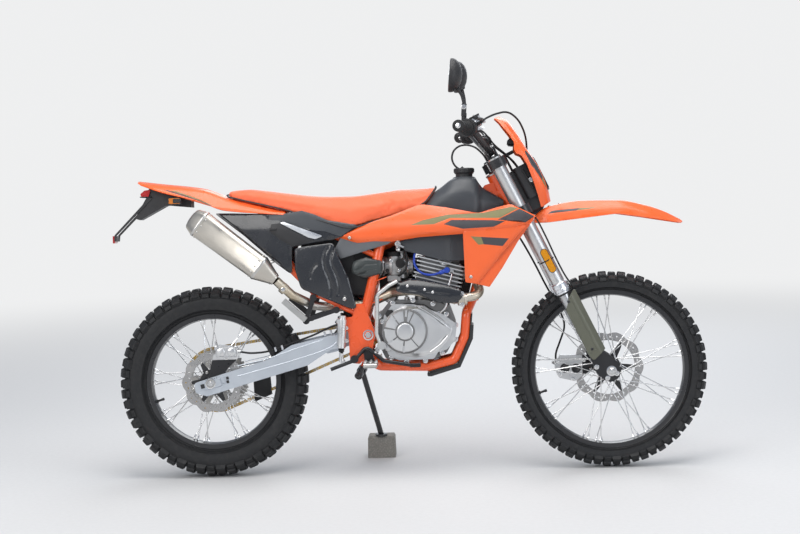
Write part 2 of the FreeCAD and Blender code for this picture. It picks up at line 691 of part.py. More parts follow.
def clutch_cover():
    y_seat, y_rim = ENGINE_RIGHT_Y, ENGINE_RIGHT_Y - COVER_DEPTH
    flange = side_plate(
        [(610, 500, 20), (618, 560, 20), (650, 600, 20), (724, 598, 12), (826, 560, 14),
         (874, 524, 16), (866, 466, 16), (836, 436, 10), (806, 428, 8), (790, 404, 10),
         (668, 402, 14), (630, 422, 20)], y_seat, y_rim)
    centre = vec(692, 0, 505)
    dome = Part.makeCone(80, 75, 20, centre + vec(0, y_rim, 0), vec(0, -1, 0))
    nose = side_plate([(700, 584, 0), (852, 510, 10), (848, 492, 10), (700, 428, 0)],
                      y_rim, y_rim - 14)
    boss = Part.makeCone(30, 26, 8, centre + vec(0, y_rim - 20, 0), vec(0, -1, 0))
    ribs = []
    for angle in CLUTCH_RIB_ANGLES:
        start, end = around(centre, 24.0, angle, 0), around(centre, 74.0, angle, 0)
        ribs.append(flat_bar(start, end, 7.0, y_rim - 18, y_rim - 24))
    return fuse([flange, dome, nose, boss] + ribs)


def ignition_cover():
    centre = vec(738, 0, 505)
    base = Part.makeCylinder(72, 18, centre + vec(0, ENGINE_LEFT_Y, 0), vec(0, 1, 0))
    cap = Part.makeCone(60, 50, 12, centre + vec(0, ENGINE_LEFT_Y + 18, 0), vec(0, 1, 0))
    return fuse([base, cap])


def tilted(forward, up, left=0.0):
    """Point on the leaning cylinder, along its own axes."""
    tilt = math.radians(CYLINDER_TILT_DEG)
    base = vec(CYLINDER_BASE_X, left, CYLINDER_BASE_Z)
    return base + vec(forward * math.cos(tilt) + up * math.sin(tilt), 0,
                      up * math.cos(tilt) - forward * math.sin(tilt))


def tilted_box(x_half, y_half, z_from, z_to):
    corners = [tilted(-x_half, z_from), tilted(x_half, z_from), tilted(x_half, z_to),
               tilted(-x_half, z_to)]
    return side_plate([(p.x, p.z, 0) for p in corners], -y_half, y_half)


def plug_point(outward):
    """Point on the spark plug's line, out of the right side of the head."""
    return tilted(26.0, 113.0, -BARREL_WIDTH / 2.0 + 4.0 - outward)


def cylinder():
    """Air-cooled barrel and head, with cooling fins and the exhaust port."""
    top = FIN_PITCH * (FIN_COUNT + 1)
    pieces = [tilted_box(BARREL_LENGTH / 2, BARREL_WIDTH / 2, -20, top),
              tilted_box(62, 56, top - 1, top + 40), tilted_box(50, 48, top + 39, top + 64),
              rod(tilted(20, PORT_HEIGHT, PORT_Y), tilted(FIN_LENGTH / 2 + 4, PORT_HEIGHT, PORT_Y),
                  PORT_DIAMETER),
              rod(plug_point(0.0), plug_point(PLUG_REACH), 24.0)]
    for fin in range(FIN_COUNT):
        low = 22.0 + fin * FIN_PITCH
        pieces.append(tilted_box(FIN_LENGTH / 2, FIN_WIDTH / 2, low, low + FIN_THICKNESS))
    return fuse(pieces)


def carburettor():
    axis_z, y = 738.0, -22.0
    pieces = []
    # Columns: x from, x to, diameter
    for x_from, x_to, diameter in ((606, 632, 58), (631, 660, 66), (659, 700, 54),
                                   (699, 750, 46)):
        pieces.append(rod(vec(x_from, y, axis_z), vec(x_to, y, axis_z), diameter))
    pieces.append(rod(vec(678, y, axis_z), vec(678, y, 786), 40))
    pieces.append(rod(vec(678, y, axis_z), vec(678, y, 690), 52))
    return fuse(pieces)


def intake_box():
    """Air box behind the engine, with its boot to the carburettor."""
    box = side_plate([(330, 700, 20), (486, 694, 30), (520, 760, 20), (500, 826, 10),
                      (420, 836, 10), (330, 868, 10)], -66, 66)
    boot = Part.makeCone(38, 30, 98, vec(510, -22, 732), vec(98, 0, 6))
    return fuse([box, boot])


def exhaust_pipe():
    """Pipe from the cylinder's port, round the right of the engine, to the silencer."""
    port = tilted(FIN_LENGTH / 2 + 4 + CLEARANCE, PORT_HEIGHT, PORT_Y)
    bend = tilted(FIN_LENGTH / 2 + 40, PORT_HEIGHT, PORT_Y)
    route = [(port.x, port.y, port.z), (bend.x, bend.y, bend.z)] + EXHAUST_ROUTE
    return bent_tube(route, EXHAUST_DIAMETER, 36)


def heat_shield():
    inner = -134.0 - EXHAUST_DIAMETER / 2.0 - CLEARANCE
    return side_plate([(668, 690, 12), (726, 688, 12), (876, 644, 10), (874, 596, 10),
                       (780, 598, 16), (706, 636, 16)], inner, inner - 4)


def silencer():
    """Lofted can with a short cone at its front."""
    along = vec(SILENCER_AXIS[0], 0, SILENCER_AXIS[1])
    aside = vec(-along.z, 0, along.x)
    rear = vec(-14, -158, 902)
    sections = []
    # Columns: distance along, half height, half width, corner cut
    for distance, height, width, cut in ((-34, 40, 34, 14), (0, 50, 44, 18),
                                         (262, 45, 40, 18), (330, 22, 20, 8)):
        centre = rear + along * distance
        outline = [(-height, -width + cut), (-height, width - cut), (-height + cut, width),
                   (height - cut, width), (height, width - cut), (height, -width + cut),
                   (height - cut, -width), (-height + cut, -width)]
        sections.append([centre + aside * a + vec(0, b, 0) for a, b in outline])
    stay = rod(vec(255, -88, 772), vec(192, -126, 746), 12)
    return fuse([loft(sections), stay])


# Bodywork


def fuel_tank():
    """Tank over the top tube; its front stays clear of the fork at full lock."""
    sections = []
    # Columns: x, top z, top half width, shoulder z, shoulder half width, bottom z
    for x, top, top_half, shoulder, shoulder_half, bottom in (
            (770, 962, 40, 930, 84, 850), (830, 1006, 46, 950, 96, 846),
            (880, 1040, 50, 960, 98, 850), (952, 1040, 50, 960, 92, 868),
            (975, 1000, 48, 950, 72, 884), (1052, 956, 44, 940, 54, 926)):
        left = [(top, top_half), (shoulder, shoulder_half), (bottom, shoulder_half - 4)]
        ring = [vec(x, y, z) for z, y in left] + [vec(x, -y, z) for z, y in reversed(left)]
        sections.append(ring)
    half = BACKBONE_DIAMETER / 2.0 + TUNNEL_CLEARANCE
    head = head_tube_point(0.5)
    line = [(head.x, head.z)] + BACKBONE_LINE
    tunnel = side_plate([(x, z, 0) for x, z in line] + [(612, 700, 0), (head.x, 700, 0)],
                        -half, half)
    round_head = rod(head_tube_point(-0.4), head_tube_point(1.4),
                     HEAD_TUBE_DIAMETER + 2 * TUNNEL_CLEARANCE)
    gusset_space = side_plate([(915, 900, 0), (1060, 900, 0), (1060, 1034, 0), (975, 1026, 0)],
                              -half, half)
    return loft(sections).cut(backbone(2 * half)).cut(tunnel).cut(round_head).cut(gusset_space)


def fuel_cap():
    base = vec(914, 0, 1040 + CLEARANCE)
    neck = Part.makeCylinder(30, 18, base)
    lid = Part.makeCylinder(36, 16, base + vec(0, 0, 17))
    return fuse([neck, lid])


def seat():
    """Padded seat on the rear fender and the frame rails."""
    sections = []
    # Columns: x, top z, top half width, middle z, middle half width, bottom z, bottom half
    for x, top, top_half, middle, middle_half, bottom, bottom_half in (
            (70, 1020, 40, 1012, 56, fender_crown(70) + CLEARANCE, 58),
            (284, 994, 62, 968, 94, fender_crown(284) + CLEARANCE, 102),
            (330, 989, 66, 958, 100, 924, 108), (510, 977, 74, 930, 118, 872, 122),
            (690, 996, 56, 952, 96, 918, 104), (770, 1008, 42, 975, 74, 952, 84),
            (812, 1015, 34, 1008, 46, 1004, 50)):
        left = [(top, top_half), (middle, middle_half), (bottom, bottom_half)]
        ring = [vec(x, y, z) for z, y in left] + [vec(x, -y, z) for z, y in reversed(left)]
        sections.append(ring)
    return loft(sections)


def skin(sections, thickness):
    """Curved side panel: rows of (x, [(y, z), ...]) for its outer face, right side."""
    rings = []
    for x, outer in sections:
        ring = [vec(x, -y, z) for y, z in outer]
        ring += [vec(x, -(y - thickness), z) for y, z in reversed(outer)]
        rings.append(ring)
    return loft(rings)


def peg(x, z, y_from, y_to, diameter=16.0):
    """Mounting boss on the inner face of a right side panel."""
    return cross_rod(x, z, -y_from, -y_to, diameter)


def shroud():
    """Right side shroud, cut to its outline from a curved skin."""
    surface = skin([
        (440, [(98, 900), (116, 842), (112, 640)]),
        (650, [(96, 955), (132, 862), (124, 640)]),
        (800, [(100, 968), (152, 872), (136, 640)]),
        (950, [(112, 968), (170, 866), (156, 640)]),
        (1080, [(146, 968), (184, 862), (166, 640)]),
        (1190, [(168, 968), (188, 880), (174, 640)]),
    ], PANEL_THICKNESS)
    outline = side_plate([
        (466, 840, 0), (560, 876, 0), (650, 900, 30), (757, 945, 60), (960, 912, 80),
        (1072, 940, 30), (1161, 895, 4), (1050, 800, 60), (950, 667, 8), (908, 672, 8),
        (914, 836, 12), (750, 834, 200), (630, 818, 60), (530, 816, 20)], -300, 0)
    return fuse([surface.common(outline), peg(800, 918, 88, 122)])


def side_panel():
    """Black right side panel below the seat."""
    surface = skin([
        (230, [(112, 840), (122, 740), (124, 560)]),
        (330, [(120, 870), (132, 760), (128, 560)]),
        (450, [(124, 870), (136, 740), (128, 560)]),
        (560, [(124, 870), (130, 740), (126, 560)]),
    ], PANEL_THICKNESS)
    outline = side_plate([
        (312, 806, 10), (448, 822, 16), (455, 793, 0), (497, 703, 30), (524, 592, 8),
        (490, 594, 20), (331, 664, 20), (314, 730, 20)], -300, 0)
    return fuse([surface.common(outline), peg(386, 653, UPRIGHT_Y, 129)])


def number_panel():
    surface = skin([
        (20, [(84, 960), (92, 900), (96, 700)]),
        (180, [(94, 960), (106, 880), (110, 700)]),
        (300, [(106, 960), (116, 860), (114, 700)]),
        (470, [(112, 960), (118, 850), (118, 700)]),
    ], PANEL_THICKNESS)
    outline = side_plate([
        (28, 938, 4), (176, 932, 10), (228, 900, 10), (300, 900, 10), (430, 850, 10),
        (440, 832, 6), (304, 814, 10), (300, 780, 10), (300, 712, 10), (248, 752, 10)], -300, 0)
    return fuse([surface.common(outline), peg(266, 770, 86, 110)])


def middle_panel():
    """Panel below the shroud's tail, on the rails of the subframe."""
    y = -SUBFRAME_TOP_Y - SUBFRAME_DIAMETER / 2.0 - CLEARANCE
    return side_plate([(452, 800, 6), (470, 765, 6), (560, 790, 30), (640, 812, 6),
                       (660, 826, 6), (650, 850, 6), (480, 850, 6)], y, y - PANEL_THICKNESS)


def lower_panel():
    """Panel below the tank's right edge."""
    top = 846 - CLEARANCE
    return side_plate([(675, 818, 4), (760, top, 4), (900, top, 4), (902, 756, 6),
                       (850, 748, 10), (700, 786, 10)], -86, -92)


def fender_crown(x):
    """Height of the rear fender's crown."""
    for first, second in zip(REAR_FENDER, REAR_FENDER[1:]):
        if x <= second[0]:
            share = (x - first[0]) / (second[0] - first[0])
            return first[1] + share * (second[1] - first[1])
    return REAR_FENDER[-1][1]


def fender(rows, x_start):
    """Channel-shaped fender sheet."""
    sections = []
    for ahead, crown, crown_half, edge, edge_half in rows:
        x = x_start + ahead
        outer = [(edge, edge_half), (crown, crown_half)]
        ring = [vec(x, y, z) for z, y in outer]
        ring += [vec(x, -y, z) for z, y in reversed(outer)]
        inner = [(edge, edge_half - 4), (crown - PANEL_THICKNESS, crown_half - 2)]
        ring += [vec(x, -y, z) for z, y in inner]
        ring += [vec(x, y, z) for z, y in reversed(inner)]
        sections.append(ring)
    return loft(sections)


def tail_unit():
    """Plate holder under the rear fender, with the stay of the rear reflector."""
    below = PANEL_THICKNESS + CLEARANCE
    roof = [(x, fender_crown(x) - below, 0) for x in (-60, -169, -204)]
    holder = side_plate(roof + [(-214, 1026, 6), (-222, 1000, 8), (-264, 928, 4),
                                (-246, 922, 4), (-150, 972, 20), (-60, 962, 0)],
                        -TAIL_HALF_WIDTH, TAIL_HALF_WIDTH)
    arm = [(-208, 1004, 0), (-338, 872, 0), (-340, 868, 0), (-340, 848, 0), (-334, 848, 0),
           (-332, 868, 0), (-200, 998, 0)]
    arms = [side_plate(arm, side * TAIL_HALF_WIDTH, side * (TAIL_HALF_WIDTH + 3))
            for side in (-1, 1)]
    foot = side_plate([(-340, 868, 0), (-340, 848, 0), (-334, 848, 0), (-334, 868, 0)],
                      -TAIL_HALF_WIDTH - 3, TAIL_HALF_WIDTH + 3)
    return fuse([holder, foot] + arms)


def rear_lamps():
    """Tail lamp, two indicators on stalks and the rear reflector."""
    solids = [side_plate([(-204, 1030, 4), (-226, 1027, 6), (-241, 1015, 4), (-238, 1005, 2),
                          (-212, 1005, 2)], -42, 42)]
    for side in (-1, 1):
        stalk = cross_rod(-110, 986, side * TAIL_HALF_WIDTH, side * 66, 9)
        lens = side_plate([(-134, 996, 6), (-90, 996, 8), (-90, 976, 8), (-134, 976, 6)],
                          side * 62, side * 88)
        solids.append(fuse([stalk, lens]))
    solids.append(Part.makeBox(8, 52, 26, vec(-348, -26, 842)))
    return Part.makeCompound(solids)


def offset_line(points, distance):
    """Open polyline moved to the right of its direction, with mitred corners."""
    moved = []
    for index, (x, z) in enumerate(points):
        runs = []
        for start, end in ((index - 1, index), (index, index + 1)):
            if 0 <= start and end < len(points):
                run = unit(vec(points[end][0] - points[start][0], 0,
                               points[end][1] - points[start][1]))
                runs.append(vec(run.z, 0, -run.x))
        normal = unit(runs[0] + runs[-1])
        reach = distance / normal.dot(runs[0])
        moved.append((x + normal.x * reach, z + normal.z * reach))
    return moved


def skid_plate():
    """Bent plate under and in front of the cradle tubes."""
    inner = offset_line(CRADLE_LINE, CRADLE_DIAMETER / 2.0 + CLEARANCE)
    outer = offset_line(CRADLE_LINE, CRADLE_DIAMETER / 2.0 + CLEARANCE + 5.0)
    return side_plate([(x, z, 0) for x, z in inner + outer[::-1]], -86, 86)


# Foot controls and brakes


def rider_pegs():
    pegs = []
    outer = PIVOT_PLATE_Y + PIVOT_PLATE_THICKNESS
    for side in (-1, 1):
        hanger = side_plate([(544, 446, 4), (572, 446, 4), (588, 384, 6), (548, 384, 6)],
                            side * outer, side * (outer + 8))
        tread = Part.makeBox(44, 84, 18, vec(548, outer + 2 if side > 0 else -outer - 86, 384))
        pegs.append(fuse([hanger, tread]))
    return pegs


def brake_pedal():
    """Pedal arm round the footpeg, on its bolt through the frame's plate."""
    arm = bent_tube([(428, -134, 378), (512, -134, 408), (556, -137, 456), (616, -144, 404),
                     (716, -144, 386)], 13, 18)
    tip = Part.makeBox(36, 40, 12, vec(708, -160, 380))
    boss = cross_rod(512, 412, -141, -PIVOT_PLATE_Y - PIVOT_PLATE_THICKNESS - CLEARANCE, 28)
    return fuse([arm, tip, boss])


def shift_lever():
    lever = bent_tube([(640, 100, 448), (700, 124, 420), (752, 126, 412)], 12, 24)
    shaft = cross_rod(640, 448, ENGINE_SPROCKET_SIDE_Y + CLEARANCE, 108, 14)
    tip = cross_rod(752, 412, 118, 150, 18)
    return fuse([lever, shaft, tip])


def kick_lever():
    shaft = cross_rod(608, 457, ENGINE_RIGHT_Y - CLEARANCE, -118, 14)
    boss = cross_rod(608, 457, -132, -112.5, 30)
    arm = bent_tube([(604, -124, 462), (592, -130, 500), (598, -142, 636),
                     (640, -152, 668), (672, -158, 684)], 15, 24)
    return fuse([shaft, boss, arm])


def rear_master_cylinder():
    y = -PIVOT_PLATE_Y - PIVOT_PLATE_THICKNESS - 15.0 - CLEARANCE
    body = rod(vec(474, y, 552), vec(466, y, 452), 30)
    cap = rod(vec(475, y, 566), vec(474, y, 551), 24)
    pushrod = rod(vec(466, y, 453), vec(462, y, 404), 10)
    return fuse([body, cap, pushrod])


def rear_caliper():
    """Caliper over the rear disc, on a bracket that hangs from the axle."""
    y_inner = REAR_DISC_Y - DISC_THICKNESS / 2.0 - DISC_CLEARANCE
    bracket = fuse([annulus(22, AXLE_DIAMETER / 2.0, -ARM_INNER_Y, y_inner, REAR_AXLE),
                    side_plate([(-14, 352, 4), (18, 348, 4), (96, 424, 8), (88, 440, 8),
                                (10, 440, 8)], -ARM_INNER_Y, y_inner)])
    body = side_plate([(14, 424, 8), (98, 420, 8), (100, 462, 12), (20, 472, 12)],
                      -92, REAR_DISC_Y + 14)
    joined = fuse([bracket, body])
    axle = cross_rod(REAR_AXLE.x, REAR_AXLE.z, -200, 200, AXLE_DIAMETER)
    return joined.cut(disc_space(REAR_AXLE, REAR_DISC_RADIUS, REAR_DISC_Y)).cut(axle)


def disc_space(centre, radius, y):
    """Space in which a brake disc turns inside its caliper."""
    reach = DISC_THICKNESS / 2.0 + DISC_CLEARANCE
    return Part.makeCylinder(radius + DISC_CLEARANCE, 2 * reach,
                             centre + vec(0, y - reach, 0), vec(0, 1, 0))


def front_caliper():
    """Caliper over the front disc, on a lug behind the left fork leg."""
    body = side_plate([(1219, 352, 14), (1240, 394, 10), (1330, 392, 10), (1344, 334, 10),
                       (1290, 300, 14), (1232, 314, 14)], FRONT_DISC_Y - 14, FRONT_DISC_Y + 34)
    lug = side_plate([(1320, 388, 4), (1372, 396, 4), (1384, 340, 4), (1330, 330, 4)],
                     FORK_Y - 16, FORK_Y - 4)
    return fuse([body, lug]).cut(disc_space(FRONT_AXLE, FRONT_DISC_RADIUS, FRONT_DISC_Y))


def pillion_pegs():
    """Folded pillion pegs on their brackets."""
    pegs = []
    for side in (-1, 1):
        y_from, y_to = side * PILLION_INNER_Y, side * (PILLION_INNER_Y + 12)
        arms = [flat_bar(vec(345, 0, 552), vec(x, 0, z), 16, y_from, y_to)
                for x, z in PILLION_BOLTS]
        pads = [cross_rod(x, z, y_from, y_to, 24) for x, z in PILLION_BOLTS + ((345, 550),)]
        peg = flat_bar(vec(268, 0, 624), vec(345, 0, 554), 20, side * (PILLION_INNER_Y + 11),
                       side * (PILLION_INNER_Y + 32))
        pegs.append(fuse(arms + pads + [peg]))
    return pegs


def chain_guide():
    """Guide round the chain's lower run, inside the left arm."""
    reach = CHAIN_WIDTH / 2.0 + 1.5
    cheeks = [side_plate([(131, 352, 6), (190, 366, 6), (196, 280, 4), (134, 254, 4)],
                         y_from, y_to)
              for y_from, y_to in ((CHAIN_Y - reach - 4, CHAIN_Y - reach),
                                   (CHAIN_Y + reach, ARM_INNER_Y - CLEARANCE))]
    floor = flat_bar(vec(134, 0, 257), vec(196, 0, 283), 6, CHAIN_Y - reach - 4,
                     ARM_INNER_Y - CLEARANCE)
    return fuse(cheeks + [floor])


# Fork, handlebar and front end


def triple_clamps():
    plates = []
    for low, height in ((LOWER_CLAMP_BOTTOM, LOWER_CLAMP_HEIGHT),
                        (UPPER_CLAMP_BOTTOM, UPPER_CLAMP_HEIGHT)):
        reach = FORK_Y + FORK_TUBE_DIAMETER / 2.0 + 10.0
        half = [(-26, 26, 12), (0, 66, 20), (-10, FORK_Y - 12, 10), (-4, reach, 26),
                (60, reach, 30), (60, FORK_Y - 30, 14), (36, 40, 20)]
        plates.append(clamp_plate([(f, y, r) for f, y, r in half]
                                  + [(f, -y, r) for f, y, r in reversed(half)], low, height))
    stem = rod(on_fork(LOWER_CLAMP_BOTTOM + 2, 0, 0),
               on_fork(UPPER_CLAMP_BOTTOM + UPPER_CLAMP_HEIGHT + 8, 0, 0), STEM_DIAMETER)
    seat_line = [on_fork(a, b, 0) for a, b in ((LOWER_CLAMP_BOTTOM + 1, 0),
                                               (LOWER_CLAMP_BOTTOM + 1, 100), (611.2, 100),
                                               (607.4, 60), (607.4, 0))]
    fender_seat = side_plate([(p.x, p.z, 0) for p in seat_line], -26, 26)
    top = UPPER_CLAMP_BOTTOM + UPPER_CLAMP_HEIGHT
    vent_hole = rod(on_fork(top - 14, 0, 0), on_fork(top + 20, 0, 0), 1.7 * VENT_HOSE_DIAMETER)
    joined = fuse(plates + [stem, fender_seat]).cut(vent_hole)
    for side in (-1, 1):
        bore = rod(on_fork(LOWER_CLAMP_BOTTOM - 5, FORK_OFFSET, side * FORK_Y),
                   on_fork(FORK_TOP + 50, FORK_OFFSET, side * FORK_Y), FORK_TUBE_DIAMETER)
        joined = joined.cut(bore)
    return joined


def fork_tubes():
    tubes = []
    for side in (-1, 1):
        low = on_fork(FORK_TUBE_BOTTOM, FORK_OFFSET, side * FORK_Y)
        ring_top = on_fork(FORK_TUBE_BOTTOM + 30, FORK_OFFSET, side * FORK_Y)
        top = on_fork(FORK_TOP, FORK_OFFSET, side * FORK_Y)
        cap = on_fork(FORK_TOP + 4, FORK_OFFSET, side * FORK_Y)
        tubes.append(fuse([rod(low, top, FORK_TUBE_DIAMETER), rod(low, ring_top, FORK_RING_DIAMETER),
                           rod(top, cap, FORK_TUBE_DIAMETER - 14)]))
    return Part.makeCompound(tubes)


def fork_legs():
    """Slider legs with the clamps that hold the front axle."""
    legs = []
    for side in (-1, 1):
        foot = on_fork(20, FORK_OFFSET, side * FORK_Y)
        leg = rod(foot, on_fork(FORK_TUBE_BOTTOM - CLEARANCE, FORK_OFFSET, side * FORK_Y),
                  FORK_LEG_DIAMETER)
        y_inner, y_outer = side * (FORK_Y - 16), side * FOOT_OUTER_Y
        clamp = [(on_fork(a, b, 0), radius) for a, b, radius in (
            (-34, 28, 14), (-34, 74, 26), (34, 80, 24), (84, 50, 10), (84, 6, 10), (10, 0, 14))]
        block = side_plate([(point.x, point.z, radius) for point, radius in clamp],
                           y_inner, y_outer)
        bore = cross_rod(FRONT_AXLE.x, FRONT_AXLE.z, -200, 200, AXLE_DIAMETER)
        legs.append(fuse([leg, block]).cut(bore))
    return Part.makeCompound(legs)


def fork_guards():
    """Guards wrapped round the outer front of each fork leg."""
    guards = []
    low, high = 60.0, FORK_TUBE_BOTTOM - 4.0
    outline = [(on_fork(a, b, 0), radius) for a, b, radius in (
        (low, 10, 8), (low + 20, 70, 10), (high, 70, 10), (high - 20, 40, 20), (high - 60, 4, 10),
        (low + 30, 4, 10))]
    shape = side_plate([(p.x, p.z, radius) for p, radius in outline], -200, 200)
    y = FOOT_OUTER_Y
    for side in (-1, 1):
        wrap = [(0, y, 0), (0, y + 5, 0), (48, y + 5, 12), (67, y - 14, 8), (67, y - 34, 0),
                (62, y - 34, 0), (62, y - 16, 6), (46, y, 10)]
        channel = clamp_plate([(f, side * left, r) for f, left, r in wrap], low - 10,
                              high - low + 20)
        guards.append(channel.common(shape))
    return Part.makeCompound(guards)


def front_axle():
    reach = FOOT_OUTER_Y
    pieces = [cross_rod(FRONT_AXLE.x, FRONT_AXLE.z, -reach, reach, AXLE_DIAMETER)]
    for side in (-1, 1):
        pieces.append(cross_rod(FRONT_AXLE.x, FRONT_AXLE.z, side * reach, side * (reach + 8), 26))
    return fuse(pieces)


def handlebar():
    right = [on_fork(up, forward, -left) for up, forward, left in reversed(BAR_ROUTE)]
    left = [on_fork(up, forward, left) for up, forward, left in BAR_ROUTE[1:]]
    route = right[:-1] + left
    radii = [60] * (len(route) - 2)
    bar = swept(route, radii, BAR_DIAMETER)
    brace = rod(on_fork(BAR_CLAMP_RISE + 46, 20, -132), on_fork(BAR_CLAMP_RISE + 46, 20, 132), 14)
    clamps = []
    for side in (-1, 1):
        top = UPPER_CLAMP_BOTTOM + UPPER_CLAMP_HEIGHT
        clamps.append(clamp_plate([(4, side * 34, 4), (44, side * 34, 4), (44, side * 66, 4),
                                   (4, side * 66, 4)], top, BAR_CLAMP_RISE + 20 - top))
    return fuse([bar, brace] + clamps)


def along_bar(share):
    """Point on the outer run of the right handlebar, 0 at its bend and 1 at its end."""
    start, end = BAR_ROUTE[-2], BAR_ROUTE[-1]
    up, forward, left = [a + share * (b - a) for a, b in zip(start, end)]
    return on_fork(up, forward, -left)


def grips():
    pieces = []
    for mirrored in (False, True):
        sleeve = rod(along_bar(0.42), along_bar(1.03), GRIP_DIAMETER)
        sleeve = sleeve.cut(rod(along_bar(0.2), along_bar(1.0), BAR_DIAMETER))
        pieces.append(mirror_solid(sleeve) if mirrored else sleeve)
    return Part.makeCompound(pieces)


def controls():
    """Switch housings with their levers."""
    pieces = []
    for mirrored in (False, True):
        housing = rod(along_bar(0.21), along_bar(0.40), 62)
        clamp = rod(along_bar(0.12), along_bar(0.215), 42)
        lever = swept([along_bar(0.17) + STEER_FORWARD * 16,
                       along_bar(0.24) + STEER_FORWARD * 60,
                       along_bar(0.98) + STEER_FORWARD * 62], [30], 12)
        piece = fuse([clamp, lever, housing])
        piece = piece.cut(rod(along_bar(0.08), along_bar(0.5), BAR_DIAMETER))
        pieces.append(mirror_solid(piece) if mirrored else piece)
    return Part.makeCompound(pieces)


def mirrors():
    pieces = []
    foot = along_bar(0.30) + STEER_UP * 31.5
    knee = foot + vec(4, 0, 46)
    # Columns: whether on the left, how far the head stands ahead of the foot and above it
    for mirrored, ahead, above in ((False, -32.0, 153.0), (True, -14.0, 188.0)):
        head = foot + vec(ahead, 0, above)
        stem = bent_tube([(foot.x, foot.y, foot.z), (knee.x, knee.y, knee.z),
                          (head.x + 12, head.y, head.z - 40)], 11, 20)
        face = Part.makeCylinder(MIRROR_RADIUS, 12, head, vec(-0.97, 0, 0.1))
        piece = fuse([stem, face, rod(head + vec(14, 0, -44), head + vec(-2, 0, -20), 12)])
        pieces.append(mirror_solid(piece) if mirrored else piece)
    return Part.makeCompound(pieces)


def headlight_mask():
    sections = []
    # Columns: up the axis, forward of it, half width, side depth
    for up, forward, half, depth in ((620, 130, 50, 48), (694, 139, 74, 62),
                                     (744, 139, 84, 66), (830, 136, 92, 50),
                                     (900, 134, 78, 40), (945, 128, 60, 30),
                                     (976, 106, 40, 16)):
        outer = [(forward - depth, half), (forward - 12, half - 8), (forward, half - 34)]
        ring = [on_fork(up, f, y) for f, y in outer]
        ring += [on_fork(up, f, -y) for f, y in reversed(outer)]
        inner = [(f, y - PANEL_THICKNESS) if index == 0 else (f - 5, y - 3)
                 for index, (f, y) in enumerate(outer)]
        ring += [on_fork(up, f, -y) for f, y in inner]
        ring += [on_fork(up, f, y) for f, y in reversed(inner)]
        sections.append(ring)
    return loft(sections)


def headlight():
    """Lamp housing behind the mask, on a stay between both clamps."""
    housing = clamp_plate([(66, -56, 10), (66, 56, 10), (112, 50, 14), (146, 40, 14),
                           (146, -40, 14), (112, -50, 14)], LOWER_CLAMP_BOTTOM + 44, 120)
    stay = clamp_plate([(60 + CLEARANCE, -16, 0), (60 + CLEARANCE, 16, 0), (68, 16, 0),
                        (68, -16, 0)], LOWER_CLAMP_BOTTOM + 6,
                       UPPER_CLAMP_BOTTOM - LOWER_CLAMP_BOTTOM + 24)
    arms = [clamp_plate([(36 + CLEARANCE, side * 14, 0), (36 + CLEARANCE, side * 20, 0),
                         (66, side * 20, 0), (66, side * 14, 0)], low + 6, 20)
            for side in (-1, 1) for low in (LOWER_CLAMP_BOTTOM, UPPER_CLAMP_BOTTOM)]
    return fuse([housing, stay] + arms)


def headlight_lens():
    return clamp_plate([(146 + CLEARANCE, -38, 0), (146 + CLEARANCE, 38, 0), (154, 24, 0),
                        (154, -24, 0)], LOWER_CLAMP_BOTTOM + 52, 104)


def control_cables():
    """Clutch and throttle cables, from the switch housings to behind the headlight."""
    cables = [cable([on_fork(up, forward, -right) for up, forward, right in route], 6.0)
              for route in (CLUTCH_CABLE, THROTTLE_CABLE)]
    return Part.makeCompound(cables)


def plug_lead():
    """Spark plug cap on the head's right side and its lead up to the tank."""
    seat_point = plug_point(PLUG_REACH + CLEARANCE)
    cap_end = seat_point + vec(-26, -18, -10)
    cap = fuse([rod(seat_point, seat_point + vec(0, -20, 0), 20),
                rod(seat_point + vec(0, -12, 0), cap_end, 15)])
    route = [cap_end - vec(-26, 0, -10) * 0.3] + [vec(*p) for p in PLUG_LEAD]
    return fuse([cap, cable(route, 8.0)])


# Side stand and the block below it


def stand_axis():
    """Hinge axis: square to the leg when it is down and when it is folded back."""
    down = unit(vec(*STAND_FOOT) - vec(*STAND_PIVOT))
    return unit(down.cross(vec(*STAND_FOLDED)))


def side_stand():
    pivot, foot, axis = vec(*STAND_PIVOT), vec(*STAND_FOOT), stand_axis()
    half = STAND_EYE_LENGTH / 2.0
    leg = rod(pivot, foot + world_up() * 4, STAND_DIAMETER)
    eye = rod(pivot - axis * half, pivot + axis * half, STAND_EYE_DIAMETER)
    sole = Part.makeCylinder(22, 8, foot, world_up())
    bore = rod(pivot - axis * 40, pivot + axis * 40, STAND_BOLT_DIAMETER + 2 * RUNNING_CLEARANCE)
    return fuse([leg, eye, sole]).cut(bore)


def stand_bracket():
    """Boss, strut and bolt that carry the side stand."""
    pivot, axis = vec(*STAND_PIVOT), stand_axis()
    inner = pivot - axis * (STAND_EYE_LENGTH / 2.0 + CLEARANCE)
    outer = pivot + axis * (STAND_EYE_LENGTH / 2.0 + CLEARANCE)
    boss_end = inner - axis * 31
    return fuse([rod(inner, boss_end, 28), rod(boss_end, outer, STAND_BOLT_DIAMETER),
                 rod(outer, outer + axis * 6, 22),
                 rod(boss_end + axis * 4, vec(548, UPRIGHT_Y - 4, 412), 18)])


def world_up():
    """Direction that points straight up once the bike is leaned."""
    return vec(0, -math.sin(LEAN), math.cos(LEAN))


def ground_height(point):
    """Height above the origin's plane once the bike is leaned."""
    return point.dot(world_up())


